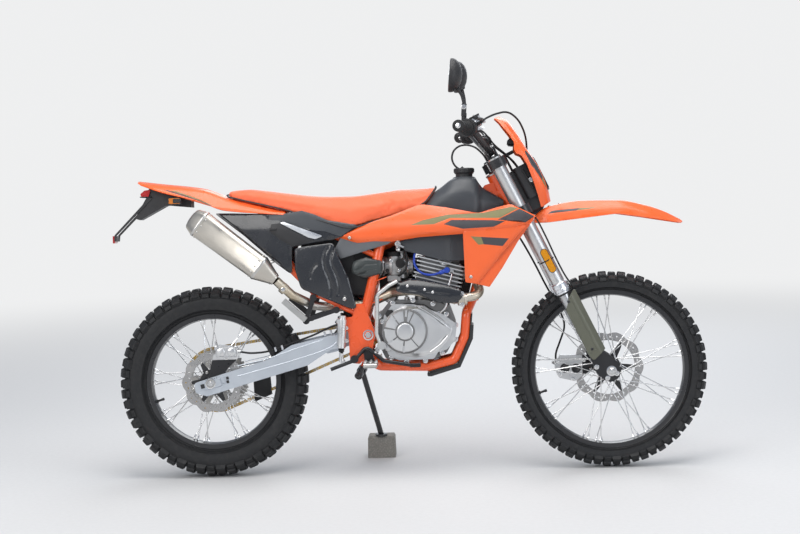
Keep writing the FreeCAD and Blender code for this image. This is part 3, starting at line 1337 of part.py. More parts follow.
def stand_block():
    """Stone block below the stand's foot, level once the bike is leaned."""
    foot = vec(*STAND_FOOT)
    ground = ground_height(vec(0, TREAD_BLOCK_WIDTH / 2.0, 0))
    height = ground_height(foot) - ground - CLEARANCE
    outward = vec(0, math.cos(LEAN), math.sin(LEAN))
    top = foot - world_up() * CLEARANCE + outward * BLOCK_OUTWARD
    sections = []
    # Columns: share of the height, of the length and of the width
    for level, length, width in ((0.0, 1.0, 1.0), (0.9, 0.97, 0.95), (1.0, 0.88, 0.84)):
        centre = top - world_up() * (height * (1.0 - level))
        a = vec(BLOCK_LENGTH / 2.0 * length, 0, 0)
        b = outward * (BLOCK_WIDTH / 2.0 * width)
        sections.append([centre - a - b, centre + a - b, centre + a + b, centre - a + b])
    return loft(sections)


def build_parts():
    """Every piece by node name, in the upright frame."""
    rear_tyre_size = (REAR_TYRE_RADIUS, REAR_TYRE_WIDTH, REAR_RIM_RADIUS, REAR_RIM_WIDTH)
    front_tyre_size = (FRONT_TYRE_RADIUS, FRONT_TYRE_WIDTH, FRONT_RIM_RADIUS, FRONT_RIM_WIDTH)
    disc_half = DISC_THICKNESS / 2.0
    parts = {
        "frame": frame(), "swingarm": swingarm(), "rear_axle": rear_axle(),
        "engine_case": engine_case(),
        "engine_covers": Part.makeCompound([clutch_cover(), ignition_cover()]),
        "silencer": silencer(), "seat": seat(),
        "fuel_cap": fuel_cap(), "rear_fender": fender(REAR_FENDER, 0.0), "tail_unit": tail_unit(),
        "skid_plate": skid_plate(),
        "footpegs": Part.makeCompound(rider_pegs() + pillion_pegs()),
        "foot_levers": Part.makeCompound([brake_pedal(), shift_lever(), kick_lever()]),
        "rear_brake": Part.makeCompound([rear_master_cylinder(), rear_caliper()]),
        "chain_guide": chain_guide(), "chain": chain(), "heat_shield": heat_shield(),
        "rear_brake_hose": cable([vec(*p) for p in REAR_HOSE], 7.0),
        "control_cables": control_cables(),
        "stand_block": stand_block(),
        "fork_tubes": fork_tubes(), "fork_legs": fork_legs(), "fork_guards": fork_guards(),
        "front_axle": front_axle(), "handlebar": handlebar(), "grips": grips(),
        "controls": controls(), "headlight": headlight(), "headlight_lens": headlight_lens(),
        "front_fender": fender(FRONT_FENDER, WHEELBASE), "front_caliper": front_caliper(),
        "front_brake_hose": cable([on_fork(*p) for p in FRONT_HOSE], 7.0),
        "rear_tyre": tyre(REAR_AXLE, *rear_tyre_size),
        "rear_rim": rim(REAR_AXLE, REAR_RIM_RADIUS, REAR_RIM_INNER_RADIUS, REAR_RIM_WIDTH),
        "rear_hub": hub(REAR_AXLE, REAR_HUB_HALF_WIDTH, REAR_DISC_Y + disc_half,
                        CHAIN_Y - SPROCKET_THICKNESS / 2.0),
        "rear_spokes": spokes(REAR_AXLE, REAR_HUB_HALF_WIDTH, REAR_RIM_INNER_RADIUS),
        "rear_disc": brake_disc(REAR_AXLE, REAR_DISC_RADIUS, REAR_DISC_Y),
        "rear_sprocket": rear_sprocket(),
        "front_tyre": tyre(FRONT_AXLE, *front_tyre_size),
        "front_rim": rim(FRONT_AXLE, FRONT_RIM_RADIUS, FRONT_RIM_INNER_RADIUS, FRONT_RIM_WIDTH),
        "front_hub": hub(FRONT_AXLE, FRONT_HUB_HALF_WIDTH, -FRONT_HUB_HALF_WIDTH - 8.0,
                         FRONT_DISC_Y - disc_half),
        "front_spokes": spokes(FRONT_AXLE, FRONT_HUB_HALF_WIDTH, FRONT_RIM_INNER_RADIUS),
        "front_disc": brake_disc(FRONT_AXLE, FRONT_DISC_RADIUS, FRONT_DISC_Y),
        "side_stand": side_stand(),
    }
    # Pieces that are cut to the ones that carry them
    parts["subframe"] = subframe().cut(parts["frame"])
    parts["shock"] = shock().cut(parts["swingarm"])
    parts["cylinder"] = cylinder().cut(parts["engine_case"])
    parts["carburettor"] = carburettor().cut(parts["cylinder"])
    parts["intake_box"] = intake_box().cut(parts["carburettor"])
    parts["exhaust_pipe"] = exhaust_pipe().cut(parts["silencer"])
    parts["silencer"] = parts["silencer"].cut(parts["subframe"])
    parts["fuel_tank"] = fuel_tank().cut(parts["seat"])
    vent_hose = cable([vec(*p) for p in VENT_HOSE], VENT_HOSE_DIAMETER)
    parts["engine_lines"] = Part.makeCompound(
        [plug_lead().cut(parts["cylinder"]).cut(parts["fuel_tank"]),
         vent_hose.cut(parts["fuel_cap"])])
    parts["shrouds"] = both_sides(shroud().cut(parts["fuel_tank"]))
    parts["black_side_panels"] = both_sides(side_panel().cut(parts["subframe"]))
    grey_panels = [number_panel().cut(parts["subframe"]), middle_panel().cut(parts["frame"]),
                   lower_panel()]
    parts["grey_side_panels"] = Part.makeCompound(
        grey_panels + [mirror_solid(panel) for panel in grey_panels])
    parts["rear_lamps"] = rear_lamps().cut(parts["tail_unit"])
    parts["skid_plate"] = parts["skid_plate"].cut(parts["frame"])
    parts["rear_brake_hose"] = parts["rear_brake_hose"].cut(parts["rear_brake"])
    parts["fork_guards"] = parts["fork_guards"].cut(parts["fork_legs"])
    parts["front_caliper"] = parts["front_caliper"].cut(parts["fork_legs"])
    parts["front_brake_hose"] = (parts["front_brake_hose"].cut(parts["controls"])
                                 .cut(parts["front_caliper"]))
    parts["triple_clamps"] = triple_clamps()
    parts["headlight_mask"] = (headlight_mask().cut(parts["headlight"])
                               .cut(parts["headlight_lens"]))
    parts["mirrors"] = mirrors().cut(parts["controls"])
    parts["control_cables"] = (parts["control_cables"].cut(parts["controls"])
                               .cut(parts["headlight"]))
    return parts


def placement(parts):
    """Lean about the line through the tyres, then the shift to the middle of the whole."""
    lean = FreeCAD.Rotation(vec(1, 0, 0), -LEAN_DEG)
    leaned = FreeCAD.Placement(vec(0, 0, 0), lean)
    boxes = [shape.transformed(leaned.toMatrix()).optimalBoundingBox(False, False)
             for shape in parts.values()]
    middle_x = (min(box.XMin for box in boxes) + max(box.XMax for box in boxes)) / 2.0
    middle_y = (min(box.YMin for box in boxes) + max(box.YMax for box in boxes)) / 2.0
    low_z = min(box.ZMin for box in boxes)
    return FreeCAD.Placement(vec(-middle_x, -middle_y, -low_z), lean)


def main():
    parts = build_parts()
    where = placement(parts).toMatrix()
    os.makedirs("parts", exist_ok=True)
    for name, shape in parts.items():
        shape.transformed(where).exportStep("parts/" + name + ".step")


if __name__ == "__main__":
    main()
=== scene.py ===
import json
import math

import bmesh
import bpy
from mathutils import Matrix, Vector
from mathutils.geometry import delaunay_2d_cdt


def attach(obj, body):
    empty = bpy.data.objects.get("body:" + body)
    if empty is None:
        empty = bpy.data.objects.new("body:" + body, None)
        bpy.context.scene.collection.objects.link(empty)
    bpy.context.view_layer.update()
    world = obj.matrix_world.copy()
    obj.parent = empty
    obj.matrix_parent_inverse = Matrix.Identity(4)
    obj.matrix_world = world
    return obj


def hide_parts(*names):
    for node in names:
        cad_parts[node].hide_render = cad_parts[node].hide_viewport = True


# Dirt bike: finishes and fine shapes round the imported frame.
# Shapes are written in millimetres with the bike upright: x forward from the rear axle,
# y to the rider's left, z up from the ground. BIKE takes them to the leaned frame in metres.

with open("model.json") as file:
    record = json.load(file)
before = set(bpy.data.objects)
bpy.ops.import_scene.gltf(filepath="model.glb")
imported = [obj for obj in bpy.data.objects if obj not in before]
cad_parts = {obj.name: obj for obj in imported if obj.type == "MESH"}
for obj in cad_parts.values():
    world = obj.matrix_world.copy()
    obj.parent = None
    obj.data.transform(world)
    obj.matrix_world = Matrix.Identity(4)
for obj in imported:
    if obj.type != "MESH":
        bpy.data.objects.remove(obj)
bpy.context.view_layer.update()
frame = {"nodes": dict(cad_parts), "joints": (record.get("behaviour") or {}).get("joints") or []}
NODES = frame["nodes"]

MM = 0.001
FORWARD, LEFT, UP = Vector((1, 0, 0)), Vector((0, 1, 0)), Vector((0, 0, 1))
RIGHT = Vector((0, -1, 0))
LEAN = math.radians(4.0)
RAKE = math.radians(25.5)
FORK_OFFSET = 50.0
REAR_RADIUS = 338.5
FRONT_RADIUS = 346.6
WHEELBASE = 1410.0
REAR_AXLE = Vector((0.0, 0.0, REAR_RADIUS))
FRONT_AXLE = Vector((WHEELBASE, 0.0, FRONT_RADIUS))
STEER_UP = Vector((-math.sin(RAKE), 0.0, math.cos(RAKE)))
STEER_FORWARD = Vector((math.cos(RAKE), 0.0, math.sin(RAKE)))
STEER_BASE = FRONT_AXLE - STEER_FORWARD * FORK_OFFSET
FORK_Y = 103.0
FORK_FORWARD = 24.0

LEAN_TURN = Matrix.Rotation(-LEAN, 3, "X")
AXLE_AT = {j["name"]: Vector(j["pos_m"]) for j in frame["joints"]}["rear_wheel_spin"]
SHIFT = AXLE_AT - LEAN_TURN @ REAR_AXLE * MM
BIKE = Matrix.Translation(SHIFT) @ LEAN_TURN.to_4x4() @ Matrix.Scale(MM, 4)


def on_fork(up, forward, left):
    """Point by its place along the steering axis, ahead of it and beside it."""
    return STEER_BASE + STEER_UP * up + STEER_FORWARD * forward + Vector((0, left, 0))


# Shader nodes

def feed(tree, node, inputs):
    """Set a node's inputs, each by a value or by the socket that drives it."""
    for name, value in inputs.items():
        if isinstance(value, bpy.types.NodeSocket):
            tree.links.new(value, node.inputs[name])
        else:
            node.inputs[name].default_value = value


def add_node(tree, kind, inputs, output, **settings):
    """New shader node with its settings and inputs. Returns one of its outputs."""
    node = tree.nodes.new("ShaderNode" + kind)
    for name, value in settings.items():
        setattr(node, name, value)
    feed(tree, node, inputs)
    return node.outputs[output]


def add_noise(tree, place, scale, detail):
    """Noise at a scale, as a value between 0 and 1."""
    return add_node(tree, "TexNoise", {"Scale": scale, "Detail": detail, "Vector": place}, "Fac")


def mix_colours(tree, factor, first, second):
    """Blend of two colours or sockets."""
    return add_node(tree, "Mix", {"Factor": factor, "A": first, "B": second}, "Result",
                    data_type="RGBA")


def opaque(colour, share=1.0):
    """Colour made darker or lighter by a share, with full alpha."""
    return tuple(min(1.0, c * share) for c in colour) + (1.0,)


# Camera, floor and light

SENSOR_MM = 36.0
PHOTO_WIDTH = 800.0
FOCAL_PIXELS = 1834.1
CAMERA_TURN = (2.148, 5.135, -1.824)
CAMERA_PLACE = (920.6, -6469.5, 1312.7)
BACKDROP = (0.86, 0.865, 0.87, 1.0)
FLOOR_RADIUS = 60.0
LAMP_AIM = (0.0, 0.0, 0.55)
# Columns: name, place, size, power, colour
LAMPS = (("top", (0.3, -0.6, 4.2), 3.4, 150.0, (1.0, 0.985, 0.96)),
         ("key", (-2.6, -3.8, 3.0), 2.6, 95.0, (1.0, 0.98, 0.95)),
         ("fill", (3.4, -3.4, 1.8), 2.4, 48.0, (0.93, 0.96, 1.0)),
         ("back", (0.6, 4.0, 2.8), 3.0, 80.0, (0.96, 0.98, 1.0)))


def make_camera():
    """The photograph's viewing angle."""
    yaw, pitch, roll = (math.radians(a) for a in CAMERA_TURN)
    turn = Matrix.Rotation(yaw, 3, "Z") @ Matrix.Rotation(-pitch, 3, "X")
    right, ahead, up = turn.col[0], turn.col[1], turn.col[2]
    side = right * math.cos(roll) + up * math.sin(roll)
    top = up * math.cos(roll) - right * math.sin(roll)
    data = bpy.data.cameras.new("camera")
    data.sensor_width = SENSOR_MM
    data.lens = FOCAL_PIXELS * SENSOR_MM / PHOTO_WIDTH
    camera = bpy.data.objects.new("camera", data)
    place = Matrix((side, top, -ahead)).transposed().to_4x4()
    place.translation = Vector(CAMERA_PLACE) * MM + SHIFT
    camera.matrix_world = place
    bpy.context.scene.collection.objects.link(camera)
    bpy.context.scene.camera = camera


def make_stage():
    """Pale floor that runs into the pale surroundings a few metres away."""
    bm = bmesh.new()
    bmesh.ops.create_circle(bm, cap_ends=True, segments=96, radius=FLOOR_RADIUS)
    mesh = bpy.data.meshes.new("floor")
    bm.to_mesh(mesh)
    bm.free()
    floor = bpy.data.objects.new("floor", mesh)
    bpy.context.scene.collection.objects.link(floor)
    mat = bpy.data.materials.new("floor")
    mat.use_nodes = True
    tree = mat.node_tree
    shader = tree.nodes["Principled BSDF"]
    place = add_node(tree, "TexCoord", {}, "Object")
    tint = add_node(tree, "MapRange", {"Value": add_noise(tree, place, 60.0, 6.0),
                                       "To Min": 0.60, "To Max": 0.66}, "Result")
    feed(tree, shader, {"Roughness": 0.75, "Specular IOR Level": 0.2, "Base Color": tint})
    length = add_node(tree, "VectorMath", {0: place}, "Value", operation="LENGTH")
    fade = add_node(tree, "MapRange", {"Value": length, "From Min": 1.6, "From Max": 7.0},
                    "Result", interpolation_type="SMOOTHSTEP")
    glow = add_node(tree, "Emission", {"Color": BACKDROP}, "Emission")
    mix = add_node(tree, "MixShader", {"Fac": fade, 1: shader.outputs["BSDF"], 2: glow},
                   "Shader")
    feed(tree, tree.nodes["Material Output"], {"Surface": mix})
    mesh.materials.append(mat)


def make_world():
    """Soft bluish surroundings, seen by the camera as the plain backdrop."""
    world = bpy.data.worlds.new("studio")
    world.use_nodes = True
    tree = world.node_tree
    ambient = tree.nodes["Background"]
    feed(tree, ambient, {"Color": (0.80, 0.87, 1.0, 1.0), "Strength": 0.42})
    seen = add_node(tree, "Background", {"Color": BACKDROP, "Strength": 1.0}, "Background")
    path = tree.nodes.new("ShaderNodeLightPath")
    rays = add_node(tree, "Math", {0: path.outputs["Is Camera Ray"],
                                   1: path.outputs["Is Transmission Ray"]}, "Value",
                    operation="MAXIMUM")
    mix = add_node(tree, "MixShader", {"Fac": rays, 1: ambient.outputs["Background"], 2: seen},
                   "Shader")
    feed(tree, tree.nodes["World Output"], {"Surface": mix})
    bpy.context.scene.world = world


def make_lights():
    """Four square lamps aimed at the middle of the bike."""
    for name, place, size, power, colour in LAMPS:
        data = bpy.data.lights.new(name, "AREA")
        data.shape = "SQUARE"
        data.size = size
        data.energy = power
        data.color = colour
        lamp = bpy.data.objects.new(name, data)
        lamp.location = place
        lamp.rotation_mode = "QUATERNION"
        lamp.rotation_quaternion = (Vector(LAMP_AIM) - Vector(place)).to_track_quat("-Z", "Y")
        bpy.context.scene.collection.objects.link(lamp)


make_camera()
make_stage()
make_world()
make_lights()
bpy.context.scene.view_settings.view_transform = "Standard"


# Materials

def finish(name, colour, roughness, metallic=0.0, spread=0.08, tint=0.06, tint_scale=9.0,
           grain_scale=420.0, grain_depth=0.00006, stretch=(1.0, 1.0, 1.0), coat=0.0,
           coat_roughness=0.1, dirt=None, dirt_share=0.0, pattern=None, specular=0.5):
    """Surface whose colour, gloss and relief vary with noise at two scales."""
    mat = bpy.data.materials.new(name)
    mat.use_nodes = True
    tree = mat.node_tree
    shader = tree.nodes["Principled BSDF"]
    feed(tree, shader, {"Metallic": metallic, "Specular IOR Level": specular,
                        "Coat Weight": coat, "Coat Roughness": coat_roughness})
    place = add_node(tree, "TexCoord", {}, "Object")
    stretched = add_node(tree, "Mapping", {"Scale": stretch, "Vector": place}, "Vector")
    shade = mix_colours(tree, add_noise(tree, place, tint_scale, 4.0),
                        opaque(colour, 1.0 - tint), opaque(colour, 1.0 + tint))
    if pattern:
        shade = pattern(tree, place, shade)
    if dirt:
        spots = add_node(tree, "MapRange", {
            "Value": add_noise(tree, place, tint_scale * 6.0, 8.0),
            "From Min": 0.45, "From Max": 0.75, "To Max": dirt_share}, "Result")
        shade = mix_colours(tree, spots, shade, opaque(dirt))
    gloss = add_node(tree, "MapRange", {
        "Value": add_noise(tree, place, tint_scale * 3.0, 2.0), "From Min": 0.3,
        "From Max": 0.7, "To Min": max(0.02, roughness - spread),
        "To Max": min(1.0, roughness + spread)}, "Result")
    bump = add_node(tree, "Bump", {"Strength": 1.0, "Distance": grain_depth,
                                   "Height": add_noise(tree, stretched, grain_scale, 2.0)},
                    "Normal")
    feed(tree, shader, {"Base Color": shade, "Roughness": gloss, "Normal": bump})
    return mat


def leather(name, colour, roughness, scale, depth, sheen):
    """Leather-like cover: cells of a fine grain over soft patches."""
    mat = finish(name, colour, roughness, spread=0.05, tint=0.07, tint_scale=6.0)
    tree = mat.node_tree
    place = add_node(tree, "TexCoord", {}, "Object")
    cells = add_node(tree, "TexVoronoi", {"Scale": scale, "Vector": place}, "Distance")
    bump = add_node(tree, "Bump", {"Distance": depth, "Strength": 0.8, "Height": cells},
                    "Normal")
    feed(tree, tree.nodes["Principled BSDF"],
         {"Sheen Weight": sheen, "Sheen Roughness": 0.4, "Normal": bump})
    return mat


def heat_tint(tree, place, shade):
    """Grey, straw and brown shades of a heated pipe, in bands that follow the noise."""
    ramp = tree.nodes.new("ShaderNodeValToRGB")
    stops = ramp.color_ramp.elements
    stops[0].position = 0.35
    stops[0].color = (0.62, 0.60, 0.57, 1.0)
    stops[1].position = 0.70
    stops[1].color = (0.46, 0.38, 0.27, 1.0)
    stops.new(0.55).color = (0.58, 0.51, 0.40, 1.0)
    feed(tree, ramp, {"Fac": add_noise(tree, place, 7.0, 2.0)})
    return mix_colours(tree, 0.75, shade, ramp.outputs["Color"])


def beyond(axis, level):
    """Half space past a plane of the upright bike, as a direction and a level in metres."""
    direction = (BIKE.to_3x3() @ axis) / MM
    return direction, level * MM + direction.dot(BIKE.translation)


def short_of(axis, level):
    """Half space on the near side of a plane of the upright bike."""
    return beyond(-axis, -level)


def zones(*parts):
    """Pattern that paints regions of one solid: (list of half spaces, colour, metallic)."""
    def pattern(tree, place, shade):
        """Mix in each region's colour and metal, inside all of its half spaces."""
        shader = tree.nodes["Principled BSDF"]
        mottle = add_node(tree, "TexNoise", {"Scale": 24.0, "Vector": place}, "Fac")
        metal = shader.inputs["Metallic"].default_value
        for planes, colour, metallic in parts:
            mask = None
            for direction, level in planes:
                reach = add_node(tree, "VectorMath", {0: place, 1: direction}, "Value",
                                 operation="DOT_PRODUCT")
                past = add_node(tree, "Math", {0: reach, 1: level}, "Value",
                                operation="GREATER_THAN")
                mask = past if mask is None else add_node(
                    tree, "Math", {0: mask, 1: past}, "Value", operation="MULTIPLY")
            tone = mix_colours(tree, mottle, opaque(colour, 0.88), opaque(colour, 1.12))
            shade = mix_colours(tree, mask, shade, tone)
            metal = add_node(tree, "Mix", {"Factor": mask, "A": metal, "B": metallic}, "Result")
        feed(tree, shader, {"Metallic": metal})
        return shade
    return pattern


def clear(name, colour, roughness, transmission):
    """Clear or tinted lens, with faint unevenness."""
    mat = finish(name, colour, roughness, spread=0.02, tint=0.03, grain_scale=90.0,
                 grain_depth=0.00002)
    feed(mat.node_tree, mat.node_tree.nodes["Principled BSDF"],
         {"Transmission Weight": transmission, "IOR": 1.47})
    return mat


DUST = (0.36, 0.33, 0.29)
STONE_DUST = (0.42, 0.40, 0.36)
CHAIN_OIL = (0.05, 0.04, 0.03)
ORANGE_PAINT = (0.80, 0.098, 0.018)

orange_paint = finish("orange_paint", ORANGE_PAINT, 0.30, coat=0.5, tint=0.05,
                      grain_scale=160.0, grain_depth=0.00005)
orange_plastic = finish("orange_plastic", (0.86, 0.125, 0.022), 0.34, coat=0.25,
                        coat_roughness=0.18, tint=0.04, grain_scale=260.0,
                        grain_depth=0.00001)
olive_film = finish("olive_film", (0.215, 0.195, 0.085), 0.36, tint=0.06, grain_scale=300.0)
dark_film = finish("dark_film", (0.055, 0.052, 0.058), 0.34, tint=0.10, grain_scale=300.0)
black_gloss = finish("black_gloss", (0.012, 0.014, 0.019), 0.26, coat=0.5, spread=0.04,
                     tint=0.15, grain_scale=160.0, grain_depth=0.00002)
black_plastic = finish("black_plastic", (0.018, 0.018, 0.020), 0.52, tint=0.15,
                       grain_scale=700.0, grain_depth=0.00003)
black_paint = finish("black_paint", (0.017, 0.017, 0.019), 0.33, coat=0.3, tint=0.15,
                     grain_scale=180.0, grain_depth=0.00001)
grey_plastic = finish("grey_plastic", (0.115, 0.122, 0.132), 0.42, tint=0.10,
                      grain_scale=650.0, grain_depth=0.00004)
tank_plastic = finish("tank_plastic", (0.050, 0.055, 0.063), 0.42, tint=0.12,
                      grain_scale=650.0, grain_depth=0.00004)
silver_paint = finish("silver_paint", (0.56, 0.60, 0.65), 0.36, metallic=0.75, spread=0.06,
                      tint=0.05, grain_scale=900.0, grain_depth=0.00002)
silver_trim = finish("silver_trim", (0.70, 0.72, 0.75), 0.30, metallic=0.9, grain_scale=500.0)
cast_metal = finish("cast_metal", (0.40, 0.40, 0.40), 0.44, metallic=0.85, spread=0.08,
                    tint=0.12, grain_scale=520.0, grain_depth=0.00006)
cover_metal = finish("cover_metal", (0.66, 0.665, 0.67), 0.34, metallic=0.9, spread=0.06,
                     tint=0.06, grain_scale=800.0, grain_depth=0.00003)
steel = finish("steel", (0.55, 0.54, 0.52), 0.32, metallic=1.0, spread=0.04, tint=0.05,
               stretch=(1.0, 1.0, 14.0), grain_scale=300.0, grain_depth=0.000004)
silencer_steel = finish("silencer_steel", (0.53, 0.50, 0.45), 0.34, metallic=1.0, spread=0.07,
                        tint=0.07, stretch=(1.0, 12.0, 1.0), grain_scale=320.0,
                        grain_depth=0.000005)
pipe_steel = finish("pipe_steel", (0.56, 0.52, 0.45), 0.42, metallic=1.0, tint=0.08,
                    grain_scale=380.0, grain_depth=0.000008, pattern=heat_tint)
bright_steel = finish("bright_steel", (0.74, 0.74, 0.74), 0.20, metallic=1.0, tint=0.06,
                      grain_scale=600.0, grain_depth=0.000004)
fork_silver = finish("fork_silver", (0.60, 0.60, 0.60), 0.36, metallic=0.95, spread=0.04,
                     tint=0.04, grain_scale=300.0, grain_depth=0.000002)
disc_steel = finish("disc_steel", (0.50, 0.49, 0.48), 0.26, metallic=1.0, tint=0.08,
                    grain_scale=420.0, grain_depth=0.000008)
gold_steel = finish("gold_steel", (0.60, 0.40, 0.13), 0.32, metallic=0.95, tint=0.14,
                    grain_scale=500.0, dirt=CHAIN_OIL, dirt_share=0.5)
rubber = finish("rubber", (0.020, 0.020, 0.021), 0.72, tint=0.20, grain_scale=500.0,
                grain_depth=0.0002, specular=0.35)
tyre_rubber = finish("tyre_rubber", (0.0125, 0.013, 0.0145), 0.58, spread=0.08, tint=0.2,
                     tint_scale=14.0, grain_scale=420.0, grain_depth=0.0002, dirt=DUST,
                     dirt_share=0.03, specular=0.4)
guard_plastic = finish("guard_plastic", (0.105, 0.108, 0.080), 0.42, tint=0.08,
                       grain_scale=500.0, grain_depth=0.00004)
stone = finish("stone", (0.21, 0.20, 0.18), 0.85, tint=0.28, tint_scale=30.0,
               grain_scale=240.0, grain_depth=0.0022, dirt=STONE_DUST, dirt_share=0.6)
seat_cover = leather("seat_cover", (0.83, 0.135, 0.045), 0.50, scale=900.0, depth=0.0004,
                     sheen=0.15)
seat_base = finish("seat_base", (0.03, 0.03, 0.032), 0.6, grain_scale=600.0)
boot_rubber = finish("boot_rubber", (0.040, 0.047, 0.047), 0.34, tint=0.12, grain_scale=300.0,
                     grain_depth=0.00001)
amber_lens = clear("amber_lens", (0.90, 0.36, 0.01), 0.10, 0.35)
clear_lens = clear("clear_lens", (0.55, 0.59, 0.63), 0.07, 0.15)
mirror_glass = finish("mirror_glass", (0.82, 0.85, 0.88), 0.04, metallic=1.0, spread=0.02,
                      tint=0.02, grain_scale=40.0, grain_depth=0.00001)

BLACK = (0.014, 0.014, 0.016)
BLUE = (0.012, 0.055, 0.42)
AMBER = (0.55, 0.16, 0.015)

# Levels in bike millimetres where one solid changes its finish
PILLION_ARM_Y = 122.0
PILLION_FRONT = 470.0
RIDER_PEG_BACK = 500.0
RIDER_PEG_LOW = 403.0
FORK_FOOT_TOP = STEER_UP.dot(STEER_BASE) + 86.0
PEDAL_TOP = 432.0
KICK_PEDAL_TOP = 476.0
KICK_PEDAL_FRONT = 584.0
CALIPER_ARM_TOP = 419.0
CALIPER_ARM_FRONT = 120.0
FRONT_BRACKET_BACK = 1318.0
STAND_BRACKET_TOP = 371.0
STAND_BRACKET_RIGHT = 70.0
BLUE_LINE_LEFT = -40.0
AMBER_LAMP_BACK = -140.0

fork_leg_finish = finish(
    "fork_leg_finish", (0.52, 0.53, 0.54), 0.34, metallic=0.95, tint=0.05, grain_scale=300.0,
    grain_depth=0.000006, pattern=zones(([short_of(STEER_UP, FORK_FOOT_TOP)], BLACK, 0.0)))
lever_finish = finish(
    "lever_finish", (0.66, 0.66, 0.65), 0.30, metallic=1.0, tint=0.06, grain_scale=400.0,
    grain_depth=0.000008, pattern=zones(
        ([short_of(UP, PEDAL_TOP), short_of(LEFT, 0.0)], BLACK, 0.0),
        ([short_of(UP, KICK_PEDAL_TOP), short_of(FORWARD, KICK_PEDAL_FRONT)], BLACK, 0.0)))
peg_finish = finish(
    "peg_finish", (0.46, 0.46, 0.45), 0.36, metallic=0.9, tint=0.12, grain_scale=260.0,
    grain_depth=0.00002, pattern=zones(
        ([short_of(FORWARD, PILLION_FRONT), beyond(LEFT, -PILLION_ARM_Y),
          short_of(LEFT, PILLION_ARM_Y)], BLACK, 0.0),
        ([beyond(FORWARD, RIDER_PEG_BACK), beyond(UP, RIDER_PEG_LOW)], BLACK, 0.0)))
rear_brake_finish = finish(
    "rear_brake_finish", (0.72, 0.72, 0.72), 0.32, metallic=0.95, tint=0.06, grain_scale=420.0,
    grain_depth=0.000008, pattern=zones(
        ([short_of(UP, CALIPER_ARM_TOP), short_of(FORWARD, CALIPER_ARM_FRONT)],
         BLACK, 0.0)))
front_brake_finish = finish(
    "front_brake_finish", (0.66, 0.66, 0.66), 0.32, metallic=0.95, tint=0.08,
    grain_scale=420.0, grain_depth=0.00004,
    pattern=zones(([beyond(FORWARD, FRONT_BRACKET_BACK)], BLACK, 0.0)))
frame_finish = finish(
    "frame_finish", ORANGE_PAINT, 0.30, coat=0.5, tint=0.05, grain_scale=160.0,
    grain_depth=0.00005, pattern=zones(
        ([short_of(UP, STAND_BRACKET_TOP), beyond(LEFT, STAND_BRACKET_RIGHT)],
         BLACK, 0.0)))
line_finish = finish("line_finish", (0.018, 0.018, 0.020), 0.42, tint=0.12, grain_scale=500.0,
                     pattern=zones(([short_of(LEFT, BLUE_LINE_LEFT)], BLUE, 0.0)))
lamp_finish = finish("lamp_finish", (0.42, 0.012, 0.010), 0.16, coat=0.6, tint=0.1,
                     grain_scale=300.0,
                     pattern=zones(([beyond(FORWARD, AMBER_LAMP_BACK)], AMBER, 0.0)))
cylinder_finish = finish("cylinder_finish", (0.14, 0.14, 0.14), 0.5, metallic=0.6, tint=0.15,
                         grain_scale=500.0, grain_depth=0.00005)
case_finish = finish("case_finish", (0.21, 0.21, 0.21), 0.46, metallic=0.75, tint=0.15,
                     grain_scale=520.0, grain_depth=0.00006)

# Columns: finish, CAD nodes that wear it
NODE_FINISH = (
    (frame_finish, "frame"),
    (orange_paint, "subframe"),
    (silver_paint, "swingarm"),
    (steel, "rear_axle front_axle rear_sprocket"),
    (case_finish, "engine_case"),
    (cover_metal, "engine_covers"),
    (silencer_steel, "silencer"),
    (seat_cover, "seat"),
    (black_plastic, "fuel_cap tail_unit skid_plate chain_guide controls headlight intake_box "
                    "mirrors"),
    (orange_plastic, "rear_fender front_fender shrouds headlight_mask"),
    (peg_finish, "footpegs"),
    (lever_finish, "foot_levers"),
    (rear_brake_finish, "rear_brake"),
    (gold_steel, "chain"),
    (black_paint, "heat_shield handlebar rear_rim front_rim rear_hub front_hub side_stand "
                  "shock triple_clamps"),
    (rubber, "rear_brake_hose front_brake_hose control_cables grips"),
    (stone, "stand_block"),
    (fork_silver, "fork_tubes"),
    (fork_leg_finish, "fork_legs"),
    (guard_plastic, "fork_guards"),
    (clear_lens, "headlight_lens"),
    (front_brake_finish, "front_caliper"),
    (tyre_rubber, "rear_tyre front_tyre"),
    (bright_steel, "rear_spokes front_spokes"),
    (disc_steel, "rear_disc front_disc"),
    (cylinder_finish, "cylinder"),
    (cast_metal, "carburettor"),
    (pipe_steel, "exhaust_pipe"),
    (tank_plastic, "fuel_tank"),
    (black_gloss, "black_side_panels"),
    (grey_plastic, "grey_side_panels"),
    (lamp_finish, "rear_lamps"),
    (line_finish, "engine_lines"),
)
for mat, names in NODE_FINISH:
    for name in names.split():
        for slot in NODES[name].material_slots:
            slot.material = mat


# Building blocks, in bike millimetres

def new_piece(name, bm, mats, body, replaces=(), sharp=38.0, bevel=0.0):
    """Object from a bmesh, riding on a body. Sharp is in degrees, bevel in millimetres."""
    bmesh.ops.recalc_face_normals(bm, faces=bm.faces)
    bm.transform(BIKE)
    mesh = bpy.data.meshes.new(name)
    bm.to_mesh(mesh)
    bm.free()
    for mat in mats:
        mesh.materials.append(mat)
    mesh.shade_smooth()
    mesh.set_sharp_from_angle(angle=math.radians(sharp))
    piece = bpy.data.objects.new(name, mesh)
    bpy.context.scene.collection.objects.link(piece)
    if bevel:
        soften = piece.modifiers.new("soften", "BEVEL")
        soften.width = bevel * MM
        soften.segments = 2
        soften.limit_method = "ANGLE"
        soften.angle_limit = math.radians(40.0)
    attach(piece, body)
    if replaces:
        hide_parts(*replaces)
    return piece


def vec(x, y, z):
    """Point or direction."""
    return Vector((x, y, z))


def direction(angle):
    """Unit direction in a plane."""
    return Vector((math.cos(angle), math.sin(angle)))


def circle(radius, count):
    """Points round a circle in a plane."""
    return [direction(2 * math.pi * k / count) * radius for k in range(count)]


